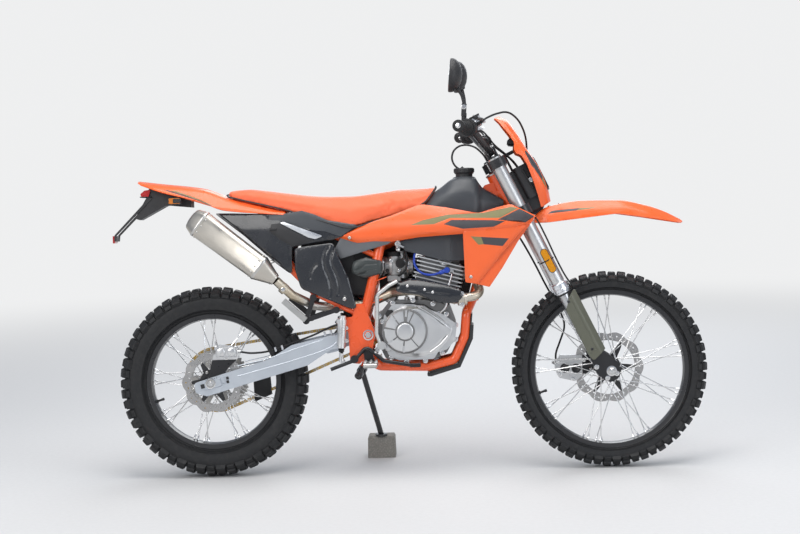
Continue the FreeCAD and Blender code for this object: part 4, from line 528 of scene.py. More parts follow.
def petals(count, steps, radius_at):
    """Closed outline of a wave: radius_at takes its height from 0 to 1."""
    turns = [2 * math.pi * k / (count * steps) for k in range(count * steps)]
    return [direction(angle) * radius_at(0.5 + 0.5 * math.cos(count * angle))
            for angle in turns]


def frame_of(axis):
    """Two directions square to an axis and to each other."""
    axis = axis.normalized()
    helper = UP if abs(axis.z) < 0.9 else FORWARD
    first = axis.cross(helper).normalized()
    return first, axis.cross(first).normalized()


def bridge(bm, ring_a, ring_b, mat=0, closed=True):
    """Faces between two rows of as many points."""
    count = len(ring_a)
    for index in range(count if closed else count - 1):
        after = (index + 1) % count
        face = bm.faces.new((ring_a[index], ring_a[after], ring_b[after], ring_b[index]))
        face.material_index = mat


def loft(bm, rings, mat=0, closed=False):
    """Skin over rings in order, with a cap at each end or joined into a loop."""
    for ring_a, ring_b in zip(rings, rings[1:]):
        bridge(bm, ring_a, ring_b, mat)
    if closed:
        bridge(bm, rings[-1], rings[0], mat)
    else:
        cap(bm, rings[0], mat)
        cap(bm, rings[-1], mat)


def cap(bm, ring, mat=0):
    """Face that closes a ring."""
    bm.faces.new(ring).material_index = mat


def turned(bm, profile, centre, axis, segments=24, mat=0, closed=False):
    """Solid of revolution. Profile columns: distance along the axis, radius."""
    first, second = frame_of(axis)
    axis = axis.normalized()
    rings = []
    for along, radius in profile:
        ring = []
        for index in range(segments):
            angle = 2.0 * math.pi * index / segments
            offset = first * math.cos(angle) * radius + second * math.sin(angle) * radius
            ring.append(bm.verts.new(centre + axis * along + offset))
        rings.append(ring)
    loft(bm, rings, mat, closed)


def rod(bm, start, end, radius, segments=16, mat=0, chamfer=0.0):
    """Round bar between two points, with chamfered ends."""
    length = (end - start).length
    profile = [(0, radius - chamfer), (chamfer, radius),
               (length - chamfer, radius), (length, radius - chamfer)]
    if not chamfer:
        profile = [profile[0], profile[-1]]
    turned(bm, profile, start, end - start, segments, mat)


def tube(bm, points, radius, segments=12, mat=0, closed=False):
    """Round bar along points, its section carried without twist. Radius may be a list."""
    count = len(points)
    radii = radius if isinstance(radius, list) else [radius] * count
    runs = []
    for index in range(count):
        before = points[(index - 1) % count] if closed or index else points[0]
        after = points[(index + 1) % count] if closed or index < count - 1 else points[-1]
        runs.append((after - before).normalized())
    first, _ = frame_of(runs[0])
    rings = []
    for point, run, size in zip(points, runs, radii):
        first = (first - run * first.dot(run)).normalized()
        second = run.cross(first)
        ring = []
        for index in range(segments):
            angle = 2.0 * math.pi * index / segments
            ring.append(bm.verts.new(point + (first * math.cos(angle)
                                              + second * math.sin(angle)) * size))
        rings.append(ring)
    loft(bm, rings, mat, closed)


def hoop(bm, centre, first, second, thickness, count, mat=0):
    """Closed round bar along an ellipse with two half axes."""
    turns = [2 * math.pi * k / count for k in range(count)]
    tube(bm, [centre + first * math.cos(a) + second * math.sin(a) for a in turns], thickness,
         6, mat, closed=True)


def smooth_line(points, steps=6):
    """Catmull-Rom curve through points, which may have 2 or 3 numbers each."""
    points = [Vector(p) for p in points]
    line = []
    for index in range(len(points) - 1):
        p1, p2 = points[index], points[index + 1]
        p0 = points[index - 1] if index else p1 * 2 - p2
        p3 = points[index + 2] if index + 2 < len(points) else p2 * 2 - p1
        for step in range(steps):
            t = step / steps
            line.append(0.5 * ((2 * p1) + (p2 - p0) * t + (2 * p0 - 5 * p1 + 4 * p2 - p3) * t * t
                               + (3 * p1 - p0 - 3 * p2 + p3) * t ** 3))
    return line + [points[-1]]


def rounded(corners, steps=5):
    """Closed outline from rows of (x, z, corner radius)."""
    outline = []
    count = len(corners)
    for index, (x, z, radius) in enumerate(corners):
        here = Vector((x, z))
        back = Vector(corners[index - 1][:2]) - here
        ahead = Vector(corners[(index + 1) % count][:2]) - here
        angle = back.angle(ahead)
        if radius < 0.5 or angle > math.radians(178):
            outline.append(here)
            continue
        cut = radius / math.tan(angle / 2.0)
        cut = min(cut, 0.49 * back.length, 0.49 * ahead.length)
        start, end = here + back.normalized() * cut, here + ahead.normalized() * cut
        for step in range(steps + 1):
            t = step / steps
            outline.append(start * (1 - t) ** 2 + here * 2 * t * (1 - t) + end * t * t)
    return outline


def inside(point, polygon):
    """Whether a point in the plane lies in a polygon."""
    x, z = point
    within = False
    for index in range(len(polygon)):
        (x1, z1), (x2, z2) = polygon[index - 1], polygon[index]
        if (z1 > z) != (z2 > z) and x < x1 + (z - z1) * (x2 - x1) / (z2 - z1):
            within = not within
    return within


def edge_distance(point, outline, closed=True):
    """Distance in the plane from a point to a line of points."""
    best = 1e9
    px, pz = point
    for index in range(0 if closed else 1, len(outline)):
        ax, az = outline[index - 1]
        bx, bz = outline[index]
        dx, dz = bx - ax, bz - az
        length = dx * dx + dz * dz
        t = 0.0 if length == 0 else max(0.0, min(1.0, ((px - ax) * dx + (pz - az) * dz) / length))
        ex, ez = ax + t * dx - px, az + t * dz - pz
        best = min(best, ex * ex + ez * ez)
    return math.sqrt(best)


def fill(outline, spacing=0.0, lines=(), holes=()):
    """Triangles inside an outline in the plane, with grid points and inner lines."""
    coords = [Vector(p[:2]) for p in outline]
    edges = [(i, (i + 1) % len(outline)) for i in range(len(outline))]
    for loop in holes:
        base = len(coords)
        coords += [Vector(p[:2]) for p in loop]
        edges += [(base + i, base + (i + 1) % len(loop)) for i in range(len(loop))]
    for line, closed in lines:
        base = len(coords)
        coords += [Vector(p[:2]) for p in line]
        edges += [(base + i, base + i + 1) for i in range(len(line) - 1)]
        if closed:
            edges.append((base + len(line) - 1, base))
    if spacing:
        low_x, high_x = min(p[0] for p in outline), max(p[0] for p in outline)
        low_z, high_z = min(p[1] for p in outline), max(p[1] for p in outline)
        row = 0
        z = low_z + spacing / 2
        while z < high_z:
            x = low_x + spacing * (0.5 if row % 2 else 1.0)
            while x < high_x:
                spot = (x, z)
                if inside(spot, outline) and edge_distance(spot, outline) > spacing * 0.4:
                    coords.append(Vector(spot))
                x += spacing
            z += spacing * 0.87
            row += 1
    points, _, faces, _, _, _ = delaunay_2d_cdt(coords, edges, [], 0, 0.01)
    kept = []
    for face in faces:
        middle = sum((points[i] for i in face), Vector((0, 0))) / 3.0
        if inside(middle, outline) and not any(inside(middle, loop) for loop in holes):
            kept.append(face)
    return points, kept


def shell(bm, points, faces, outer, inner, paint=None):
    """Closed sheet: outer and inner take a point in the plane to the point of each face."""
    used = sorted({i for face in faces for i in face})
    top = {i: bm.verts.new(outer(points[i])) for i in used}
    low = {i: bm.verts.new(inner(points[i])) for i in used}
    border = {}
    for face in faces:
        mat = 0
        if paint:
            mat = paint(sum((points[i] for i in face), Vector((0, 0))) / 3.0)
        bm.faces.new([top[i] for i in face]).material_index = mat
        bm.faces.new([low[i] for i in reversed(face)])
        for k in range(3):
            a, b = face[k], face[(k + 1) % 3]
            if (b, a) in border:
                del border[(b, a)]
            else:
                border[(a, b)] = True
    for a, b in border:
        bm.faces.new((top[b], top[a], low[a], low[b]))


def plate(bm, outline, y_from, y_to, holes=(), mat=0, place=vec):
    """Flat plate in the side plane, with holes. Place turns (x, y, z) into a point."""
    points, faces = fill(outline, holes=holes)
    start = len(bm.faces)
    shell(bm, points, faces, lambda p: place(p[0], y_to, p[1]),
          lambda p: place(p[0], y_from, p[1]))
    bm.faces.ensure_lookup_table()
    for face in bm.faces[start:]:
        face.material_index = mat


def ball_head(bm, at, axis, radius, mat=0, segments=14):
    """Domed bolt head with a hexagon socket's shadow ring."""
    turned(bm, [(-1.0, radius), (radius * 0.35, radius), (radius * 0.62, radius * 0.78),
                (radius * 0.72, radius * 0.5), (radius * 0.4, radius * 0.42),
                (radius * 0.38, 0.3)], at, axis, segments, mat)


def hex_head(bm, at, axis, radius, height, mat=0, washer=True):
    """Hexagon head on a washer."""
    if washer:
        turned(bm, [(-1.0, radius * 1.45), (1.2, radius * 1.45), (1.4, radius * 1.35)],
               at, axis, 20, mat)
    turned(bm, [(0.5, radius), (height * 0.8, radius), (height, radius * 0.85)],
           at, axis, 6, mat)


def box(bm, centre, size, turn=None, mat=0, chamfer=1.5):
    """Chamfered block. Turn is a rotation about the block's middle."""
    x, y, z = (s / 2.0 for s in size)
    c = min(chamfer, x * 0.9, y * 0.9, z * 0.9)
    rings = []
    for level, inset in ((-z, c), (-z + c, 0.0), (z - c, 0.0), (z, c)):
        a, b = x - inset, y - inset
        k = c * 0.6
        flat = [(-a + k, -b), (a - k, -b), (a, -b + k), (a, b - k), (a - k, b), (-a + k, b),
                (-a, b - k), (-a, -b + k)]
        corners = [vec(p, q, level) for p, q in flat]
        if turn is not None:
            corners = [turn @ corner for corner in corners]
        rings.append([bm.verts.new(centre + corner) for corner in corners])
    loft(bm, rings, mat)


def mirrored(bm):
    """Copy of everything so far on the other side of the bike."""
    copy = bmesh.ops.duplicate(bm, geom=bm.verts[:] + bm.edges[:] + bm.faces[:])
    verts = [item for item in copy["geom"] if isinstance(item, bmesh.types.BMVert)]
    faces = [item for item in copy["geom"] if isinstance(item, bmesh.types.BMFace)]
    for vert in verts:
        vert.co.y = -vert.co.y
    bmesh.ops.reverse_faces(bm, faces=faces)


def curve_at(table, x):
    """Smooth interpolation in rows of (x, value, ...), with no overshoot at the ends."""
    if x <= table[0][0]:
        return list(table[0][1:])
    if x >= table[-1][0]:
        return list(table[-1][1:])
    index = next(i for i, row in enumerate(table) if x <= row[0]) - 1
    x1, x2 = table[index][0], table[index + 1][0]
    t = (x - x1) / (x2 - x1)
    values = []
    for column in range(1, len(table[0])):
        p1, p2 = table[index][column], table[index + 1][column]

        def slope(k):
            """Slope at a row, or None at the table's ends."""
            if k <= 0 or k >= len(table) - 1:
                return None
            left = (table[k][column] - table[k - 1][column]) / (table[k][0] - table[k - 1][0])
            right = (table[k + 1][column] - table[k][column]) / (table[k + 1][0] - table[k][0])
            return 0.0 if left * right <= 0 else 2 * left * right / (left + right)

        chord = (p2 - p1) / (x2 - x1)
        m1, m2 = slope(index), slope(index + 1)
        m1 = chord if m1 is None else m1
        m2 = chord if m2 is None else m2
        h = x2 - x1
        values.append((2 * t ** 3 - 3 * t * t + 1) * p1 + (t ** 3 - 2 * t * t + t) * h * m1
                      + (-2 * t ** 3 + 3 * t * t) * p2 + (t ** 3 - t * t) * h * m2)
    return values


# Tyres

REAR_RIM_HALF, FRONT_RIM_HALF = 30.0, 24.0


def wheel_point(centre, radius, angle, y):
    """Point by its radius and angle round a wheel, at a distance from its middle plane."""
    return centre + vec(math.cos(angle) * radius, y, math.sin(angle) * radius)


KNOB_CHAMFER = 1.8


def knob(bm, foot, along, across, normal, length, width, height):
    """Tread block: a tapered block with a chamfered top, sunk a little into the tyre."""
    rings = []
    for rise, grow, trim in ((-4.0, 1.12, 0.0), (height - KNOB_CHAMFER, 0.98, 0.0),
                             (height, 0.94, KNOB_CHAMFER)):
        a = max(0.5, length / 2.0 * grow - trim)
        b = max(0.5, width / 2.0 * grow - trim)
        rings.append([bm.verts.new(foot + normal * rise + along * p * a + across * q * b)
                      for p, q in ((-1, -1), (1, -1), (1, 1), (-1, 1))])
    for ring_a, ring_b in zip(rings, rings[1:]):
        bridge(bm, ring_a, ring_b)
    cap(bm, rings[-1])


def tyre(name, body, centre, radius, half, bead, rim_half, pitches, height):
    """Knobbed tyre. Half is half its width over the shoulder blocks."""
    bm = bmesh.new()
    base = radius - height
    deep = base - bead
    # Columns: radius, y from the rim over the sidewall to the crown
    side = [(bead + 1.0, rim_half - 7.0), (bead + 2.0, rim_half - 2.0),
            (bead + 6.0, rim_half + 1.0), (bead + 7.5, rim_half + 3.2),
            (bead + 9.5, rim_half + 2.6), (bead + 0.20 * deep, half * 0.80),
            (bead + 0.22 * deep, half * 0.845), (bead + 0.25 * deep, half * 0.845),
            (bead + 0.40 * deep, half * 0.90), (bead + 0.55 * deep, half * 0.925),
            (bead + 0.70 * deep, half * 0.90), (base - 11.0, half * 0.80),
            (base - 5.0, half * 0.62), (base - 1.6, half * 0.36), (base, 0.0)]
    profile = side + [(r, -y) for r, y in reversed(side[:-1])]
    turned(bm, [(y, r) for r, y in profile], centre, LEFT, 144, closed=True)
    step = 2.0 * math.pi / pitches
    for index in range(pitches):
        angle = index * step
        even = index % 2 == 0
        # Columns: share of the half width, block length and width as shares, lean outwards
        rows = [(0.0, 0.78, 0.32, 0.0)] if even else [(0.33, 0.66, 0.26, 6.0)]
        rows += [(0.60, 0.72, 0.24, 24.0)] if even else [(0.80, 0.82, 0.22, 46.0)]
        for share, length, width, lean in rows:
            for sign in ((1,) if share == 0.0 else (1, -1)):
                y = sign * share * half
                drop = (share ** 2) * 11.0 + (7.0 if share > 0.75 else 0.0)
                lean_rad = math.radians(lean)
                radial = vec(math.cos(angle), 0, math.sin(angle))
                normal = radial * math.cos(lean_rad) + vec(0, sign * math.sin(lean_rad), 0)
                along = vec(-math.sin(angle), 0, math.cos(angle))
                across = normal.cross(along).normalized()
                foot = wheel_point(centre, base - drop, angle, y)
                tall = height if lean < 20 else height * 0.96
                knob(bm, foot, along, across, normal, length * 2 * math.pi * base / pitches * 1.05,
                     width * half * 2, tall - (1.5 if lean else 0.0))
        if even:
            continue
        # Small outer lugs on the sidewall, one beside each shoulder block
        for sign in (1, -1):
            radial = vec(math.cos(angle + step), 0, math.sin(angle + step))
            normal = vec(0, sign, 0) * 0.93 + radial * 0.37
            along = vec(-math.sin(angle + step), 0, math.cos(angle + step))
            foot = wheel_point(centre, base - 17.0, angle + step, sign * half * 0.84)
            knob(bm, foot, along, normal.cross(along), normal,
                 0.72 * 2 * math.pi * base / pitches, 15.0, 8.0)
    return new_piece(name, bm, [tyre_rubber], body, (name.replace("_tread", ""),),
                     sharp=30.0)


tyre("rear_tyre_tread", "rear_wheel", REAR_AXLE, REAR_RADIUS, half=56.0, bead=240.0,
     rim_half=REAR_RIM_HALF, pitches=54, height=15.0)
tyre("front_tyre_tread", "front_wheel", FRONT_AXLE, FRONT_RADIUS, half=43.0, bead=279.0,
     rim_half=FRONT_RIM_HALF, pitches=62, height=13.0)


# Brake discs

HUB_BORE = 31.0


def wavy_disc(name, body, node, centre, outer, y, waves):
    """Petal-shaped disc with a drilled band and a spoked carrier."""
    bm = bmesh.new()
    inner = outer - 31.0

    def in_place(a, b, c):
        """Point of the disc from its own plane."""
        return vec(centre.x + a, b, centre.z + c)

    rim = petals(waves, 10, lambda swell: outer - 9.0 * (1.0 - swell ** 0.6))
    holes = []
    for index in range(waves * 3):
        reach = (outer - 14.0, outer - 19.0, outer - 24.0)[index % 3]
        middle = direction(2 * math.pi * index / (waves * 3)) * reach
        holes.append([middle + p for p in circle(3.0, 10)])
    holes.append(circle(inner, 48))
    plate(bm, rim, y - 2.0, y + 2.0, holes, place=in_place)
    # Carrier with six arms, each riveted to the band
    arms = 6
    star = petals(arms, 24, lambda swell: 46.0 + (inner + 5.0 - 46.0) * swell ** 5)
    sign = 1 if y > 0 else -1
    plate(bm, star, y - sign * 3.4 - 1.2, y - sign * 3.4 + 1.2, [circle(HUB_BORE, 48)], 1,
          place=in_place)
    for index in range(arms):
        angle = 2 * math.pi * index / arms
        ball_head(bm, wheel_point(centre, 40.0, angle, y - sign * 2.2), vec(0, sign, 0), 6.5)
        ball_head(bm, wheel_point(centre, inner, angle, y + sign * 1.0), vec(0, sign, 0), 4.5)
    return new_piece(name, bm, [disc_steel, black_paint], body, (node,), bevel=0.4)


wavy_disc("rear_disc_wave", "rear_wheel", "rear_disc", REAR_AXLE, outer=110.0, y=-58.0,
          waves=10)
wavy_disc("front_disc_wave", "front_wheel", "front_disc", FRONT_AXLE, outer=128.0, y=58.0,
          waves=10)


# Small parts of the wheels

# Columns: side, inset from the hub's end, swing, first spoke as a share of the pitch
SPOKE_ROWS = ((1, 0.5, 1, 0.0), (1, 6.5, -1, 0.5), (-1, 0.5, 1, 0.25), (-1, 6.5, -1, 0.75))
SPOKE_PAIRS = 9
SPOKE_SWING = math.radians(52.0)


def wheel_trim(name, body, centre, rim_inner, rim_half, hub_half):
    """Spoke nipples, the valve, the tyre lock's nut, hub flanges and rim edges."""
    bm = bmesh.new()
    for side, inset, swing, first in SPOKE_ROWS:
        for index in range(SPOKE_PAIRS):
            hub_angle = 2 * math.pi * (index + first) / SPOKE_PAIRS
            at = wheel_point(centre, rim_inner + 0.5, hub_angle + swing * SPOKE_SWING,
                             side * 5.0)
            foot = wheel_point(centre, 36.1, hub_angle, side * (hub_half - inset))
            inward = (foot - at).normalized()
            turned(bm, [(-1.0, 3.8), (3.0, 3.8), (4.0, 3.2), (15.0, 3.0), (16.0, 2.2)],
                   at, inward, 8, 0)
            rod(bm, at + inward * 10.0, foot, 1.9, 6, 0)
    for degrees, is_valve in ((198.0, True), (262.0, False)):
        at = wheel_point(centre, rim_inner, math.radians(degrees), 0.0)
        inward = (centre - at).normalized()
        if is_valve:
            turned(bm, [(-1.0, 7.0), (3.0, 7.0), (3.2, 4.0), (18.0, 4.0), (18.4, 5.0),
                        (26.0, 5.0), (27.0, 3.5)], at, inward, 12, 1)
        else:
            hex_head(bm, at, inward, 7.0, 8.0, 0)
            rod(bm, at, at + inward * 16.0, 3.6, 10, 0)
    for side in (-1, 1):
        lobes = petals(SPOKE_PAIRS * 2, 8, lambda swell: 40.5 + 4.0 * swell)
        y_low, y_high = sorted((side * (hub_half - 2.2), side * (hub_half - 4.8)))
        plate(bm, lobes, y_low, y_high, [circle(30.0, 40)], 2,
              place=lambda a, b, c: vec(centre.x + a, b, centre.z + c))
        rim_edge = rim_inner + 19.5
        hoop(bm, centre + vec(0, side * (rim_half - 1.0), 0), vec(rim_edge, 0, 0),
             vec(0, 0, rim_edge), 1.6, 96, mat=2)
    return new_piece(name, bm, [bright_steel, black_plastic, black_paint], body)


wheel_trim("rear_wheel_trim", "rear_wheel", REAR_AXLE, rim_inner=221.0,
           rim_half=REAR_RIM_HALF, hub_half=40.0)
wheel_trim("front_wheel_trim", "front_wheel", FRONT_AXLE, rim_inner=261.0,
           rim_half=FRONT_RIM_HALF, hub_half=36.0)


# Body panels

def polyline_at(points, share, soft=0.12):
    """Point at a share of the way along a few points, its corners rounded."""
    last = len(points) - 1
    at = share * last
    index = min(int(at), last - 1)
    local = at - index
    reach = soft * last
    for corner in range(1, last):
        if abs(at - corner) < reach:
            t = (at - corner + reach) / (2 * reach)
            here = points[corner]
            start = here + (points[corner - 1] - here) * reach
            end = here + (points[corner + 1] - here) * reach
            return start * (1 - t) ** 2 + here * 2 * t * (1 - t) + end * t * t
    return points[index] + (points[index + 1] - points[index]) * local


def painter(bands):
    """Material index by the first band that holds the point. Bands: (index, polygon)."""
    def paint(point):
        """Index for one triangle's middle."""
        for mat, polygon in bands:
            if inside(point, polygon):
                return mat
        return 0
    return paint


def on_both_sides(*bands):
    """Bands of a sheet about the bike's middle, drawn for one side and given for both."""
    return [(mat, [(along, across * side) for along, across in polygon])
            for side in (-1, 1) for mat, polygon in bands]


def side_sheet(bm, outline, skin, thickness, bands=(), spacing=9.0, roll=4.5, hem=None,
               grooves=()):
    """Right side panel whose outer face is skin(x, z), its edge rolled inwards.
    Hem: (line, reach, depth) turns the panel in along a line. Grooves: (line, width, depth)."""
    edge = rounded(outline)
    lines = [(polygon, True) for _, polygon in bands] + [(line, False) for line, _, _ in grooves]
    near = []
    for line, width, _ in grooves:
        for side in (-1, 1):
            shifted = []
            for index, point in enumerate(line):
                before = Vector(line[max(0, index - 1)])
                after = Vector(line[min(len(line) - 1, index + 1)])
                run = (after - before).normalized()
                shifted.append(Vector(point) + Vector((-run.y, run.x)) * side * width)
            near.append((shifted, False))
    points, faces = fill(edge, spacing, lines + near)

    def depth(p):
        """How far the rolled edge, the hem and the grooves take the face inwards."""
        value = 0.0
        gap = edge_distance(p, edge)
        if gap < roll:
            value += roll * 0.75 * (1.0 - math.sqrt(max(0.0, 1.0 - (1.0 - gap / roll) ** 2)))
        if hem:
            line, reach, drop = hem
            gap = edge_distance(p, line, closed=False)
            if gap < reach:
                value += drop * (1.0 - gap / reach)
        for line, width, drop in grooves:
            gap = edge_distance(p, line, closed=False)
            if gap < width:
                value += drop * (0.5 + 0.5 * math.cos(math.pi * gap / width))
        return value

    cache = {}

    def outer(p):
        """Point of the outer face."""
        key = (round(p[0], 3), round(p[1], 3))
        if key not in cache:
            cache[key] = skin(p[0], p[1]) - depth(p)
        return vec(p[0], -cache[key], p[1])

    shell(bm, points, faces, outer, lambda p: outer(p) + vec(0, thickness, 0), painter(bands))


# Columns: x, ridge z, ridge y, top z, top y, y at z = 640
SHROUD_SKIN = [(440, 842, 117, 905, 99, 112), (650, 866, 133, 955, 98, 124),
               (800, 870, 152, 968, 104, 136), (950, 868, 171, 968, 116, 152),
               (1080, 872, 185, 968, 150, 164), (1190, 884, 190, 968, 170, 172)]
SHROUD_LOW_Z = 640.0


def shroud_skin(x, z):
    """Distance of the shroud's face from the middle plane."""
    ridge_z, ridge_y, top_z, top_y, low_y = curve_at(SHROUD_SKIN, x)
    if z >= ridge_z:
        s = (z - ridge_z) / (top_z - ridge_z)
        return ridge_y - (ridge_y - top_y) * max(0.0, s) ** 1.5
    s = (ridge_z - z) / (ridge_z - SHROUD_LOW_Z)
    return ridge_y - (ridge_y - low_y) * s ** 1.2


SHROUD_LOW_EDGE = [(466, 839), (530, 816), (630, 818), (750, 833), (914, 842), (1085, 850),
                   (1128, 872)]
UPPER_SHROUD = [(464, 840, 5), (560, 884, 60), (650, 910, 60), (757, 949, 60), (850, 934, 60),
                (960, 911, 60), (1020, 928, 40), (1072, 940, 30), (1161, 895, 6),
                (1128, 870, 30), (1085, 849, 30), (914, 841, 80), (750, 833, 120),
                (630, 817, 60), (530, 815, 20)]
OLIVE_BAND = [(722, 876), (765, 892), (853, 909), (979, 912), (1074, 930), (1099, 924),
              (1034, 892), (862, 897), (804, 877)]
DARK_WEDGE = [(1103, 922), (1153, 894), (1122, 874), (1026, 886)]
LONG_BAND = [(838, 876), (866, 890), (1010, 885), (1052, 880), (1012, 862), (905, 858)]


def make_shrouds():
    """Orange upper and lower panels, the duct's inner wall, pegs and bolts, on both sides."""
    bm = bmesh.new()
    bands = [(1, OLIVE_BAND), (2, DARK_WEDGE), (2, LONG_BAND)]
    side_sheet(bm, UPPER_SHROUD, shroud_skin, 4.0, bands, hem=(SHROUD_LOW_EDGE, 15.0, 13.0))
    lower = [(904, 856, 4), (1095, 862, 6), (1128, 866, 4), (1048, 780, 60), (952, 664, 8),
             (908, 671, 8)]
    dark = [(967, 828), (1063, 820), (1041, 794), (976, 802)]
    olive = [(931, 831), (967, 828), (976, 802), (957, 801)]
    side_sheet(bm, lower, lambda x, z: shroud_skin(x, z) - 6.0, 4.0, [(1, olive), (2, dark)],
               hem=([(1128, 866), (1048, 780), (952, 664)], 16.0, 6.0))
    duct = [(1112, 870, 4), (1158, 892, 3), (1096, 810, 80), (1040, 720, 80), (992, 652, 6),
            (932, 668, 6), (1016, 790, 60)]
    side_sheet(bm, duct, lambda x, z: shroud_skin(x, z) - 20.0 - 0.12 * max(0.0, x - 1000.0),
               4.0, roll=3.0)
    for x, z, start, end in ((800, 918, 88, 126), (940, 700, 88, 150), (1010, 872, 152, 176)):
        rod(bm, vec(x, -start, z), vec(x, -end, z), 8.0)
    for x, z in ((506, 838), (928, 690)):
        y = -shroud_skin(x, z) + (6.0 if z < 800 else 0.0)
        ball_head(bm, vec(x, y - 0.5, z), RIGHT, 6.0, 3)
    mirrored(bm)
    new_piece("shroud_panels", bm, [orange_plastic, olive_film, dark_film, steel],
              "chassis", ("shrouds",), sharp=32.0)


make_shrouds()

# Columns: x, y at z = 860, y at z = 740, y at z = 560
SIDE_SKIN = [(230, 112, 122, 124), (330, 121, 132, 128), (450, 125, 137, 129),
             (560, 124, 130, 126)]


def side_skin(x, z):
    """Distance of the black side panel's face from the middle plane."""
    high, middle, low = curve_at(SIDE_SKIN, x)
    if z > 740:
        s = min(1.0, (z - 740) / 120.0)
        return middle + (high - middle) * s * s
    s = (740 - z) / 180.0
    return middle + (low - middle) * s * s


def make_side_panels():
    """Glossy black panels below the seat, with two long grooves and a bolt each."""
    bm = bmesh.new()
    outline = [(312, 806, 10), (352, 812, 10), (448, 822, 16), (458, 793, 10), (497, 703, 40),
               (524, 592, 8), (506, 588, 12), (331, 664, 30), (312, 730, 30)]
    grooves = [([(430, 812), (418, 790), (411, 762), (417, 730), (431, 695), (436, 660),
                 (431, 630)], 8.0, 4.0),
               ([(456, 808), (444, 786), (438, 762), (444, 735), (459, 700), (465, 668),
                 (461, 640)], 7.0, 3.0),
               ([(388, 748), (376, 735), (366, 716), (364, 700)], 7.0, 2.0)]
    side_sheet(bm, outline, side_skin, 4.0, grooves=grooves, spacing=5.0)
    rod(bm, vec(386, -98, 653), vec(386, -127, 653), 8.0)
    x, z = 483, 624
    ball_head(bm, vec(x, -side_skin(x, z) - 0.5, z), RIGHT, 7.0, 1)
    turned(bm, [(-1, 12), (1.5, 12), (2.5, 10.5)], vec(x, -side_skin(x, z) + 0.5, z),
           RIGHT, 24, 0)
    mirrored(bm)
    new_piece("side_panel_pair", bm, [black_gloss, steel], "chassis",
              ("black_side_panels",), sharp=32.0)


# Columns: x, y at z = 950, y at z = 870, y at z = 700
NUMBER_SKIN = [(20, 85, 92, 96), (180, 96, 107, 110), (300, 107, 117, 115),
               (470, 112, 119, 118)]


def number_skin(x, z):
    """Distance of the grey side panel's face from the middle plane."""
    high, middle, low = curve_at(NUMBER_SKIN, x)
    if z > 870:
        return middle + (high - middle) * min(1.0, (z - 870) / 80.0) ** 1.5
    return middle + (low - middle) * ((870 - z) / 170.0) ** 1.5


def make_number_panels():
    """Grey panels under the seat's rear, with a dark hook, a bright slat and the tank's edge."""
    bm = bmesh.new()
    outline = [(28, 938, 4), (100, 936, 20), (176, 932, 20), (284, 930, 20), (340, 938, 20),
               (384, 924, 20), (430, 902, 30), (540, 882, 6), (480, 842, 10), (440, 832, 6),
               (304, 814, 10), (300, 780, 10), (300, 712, 10), (248, 752, 10), (130, 858, 60)]
    grooves = [([(48, 930), (120, 872), (200, 800), (258, 752)], 5.0, 2.5)]
    slat = [(262, 897, 3), (275, 901, 3), (378, 861, 10), (414, 847, 4), (386, 837, 4),
            (362, 843, 10)]
    below_seat = [(215, 945), (284, 945), (345, 945), (432, 915), (545, 890), (476, 843),
                  (420, 864), (378, 868), (262, 905), (228, 908)]
    side_sheet(bm, outline, number_skin, 4.0, [(4, below_seat)], grooves=grooves)
    dark = [(230, 894, 6), (262, 896, 6), (364, 838, 6), (384, 834, 6), (306, 812, 8),
            (262, 838, 10), (226, 866, 8)]
    side_sheet(bm, dark, lambda x, z: number_skin(x, z) + 3.0, 3.0, [(2, rounded(dark))],
               spacing=12.0, roll=3.0)
    side_sheet(bm, slat, lambda x, z: number_skin(x, z) + 5.0, 4.0, [(1, rounded(slat))],
               spacing=8.0, roll=2.0)
    # Hook at the rear of the panel, and its peg
    box(bm, vec(238, -number_skin(238, 876) - 3, 876), vec(26, 8, 9), mat=2, chamfer=2.0)
    rod(bm, vec(266, -86, 770), vec(266, -110, 770), 8.0)
    middle = [(452, 800, 6), (470, 765, 6), (560, 790, 30), (640, 812, 6), (660, 826, 6),
              (650, 850, 6), (480, 850, 6)]
    side_sheet(bm, middle, lambda x, z: 106.0 + 13.0 * min(1.0, max(0.0, (x - 480.0) / 110.0)),
               4.0, [(5, rounded(middle))], roll=3.0)
    lower = [(675, 818, 4), (760, 845.7, 4), (936, 845.7, 4), (936, 750, 6), (850, 744, 10),
             (700, 786, 10)]

    def tank_flank(x, _):
        """Flank below the tank, with a low ridge at one x."""
        return 92.0 + 3.0 * math.exp(-((x - 862) / 14.0) ** 2) - 0.05 * max(0.0, x - 862)

    facet = [(868, 845), (935, 845), (935, 751), (852, 747)]
    side_sheet(bm, lower, tank_flank, 6.0, [(4, rounded(lower)), (3, facet)], roll=4.0)
    mirrored(bm)
    new_piece("number_panel_pair", bm, [black_gloss, silver_trim, black_plastic, dark_film,
                                        tank_plastic, grey_plastic],
              "chassis", ("grey_side_panels",), sharp=32.0)


make_side_panels()
make_number_panels()


# Fenders and mask: sheets over a plane of (distance along, percent across)

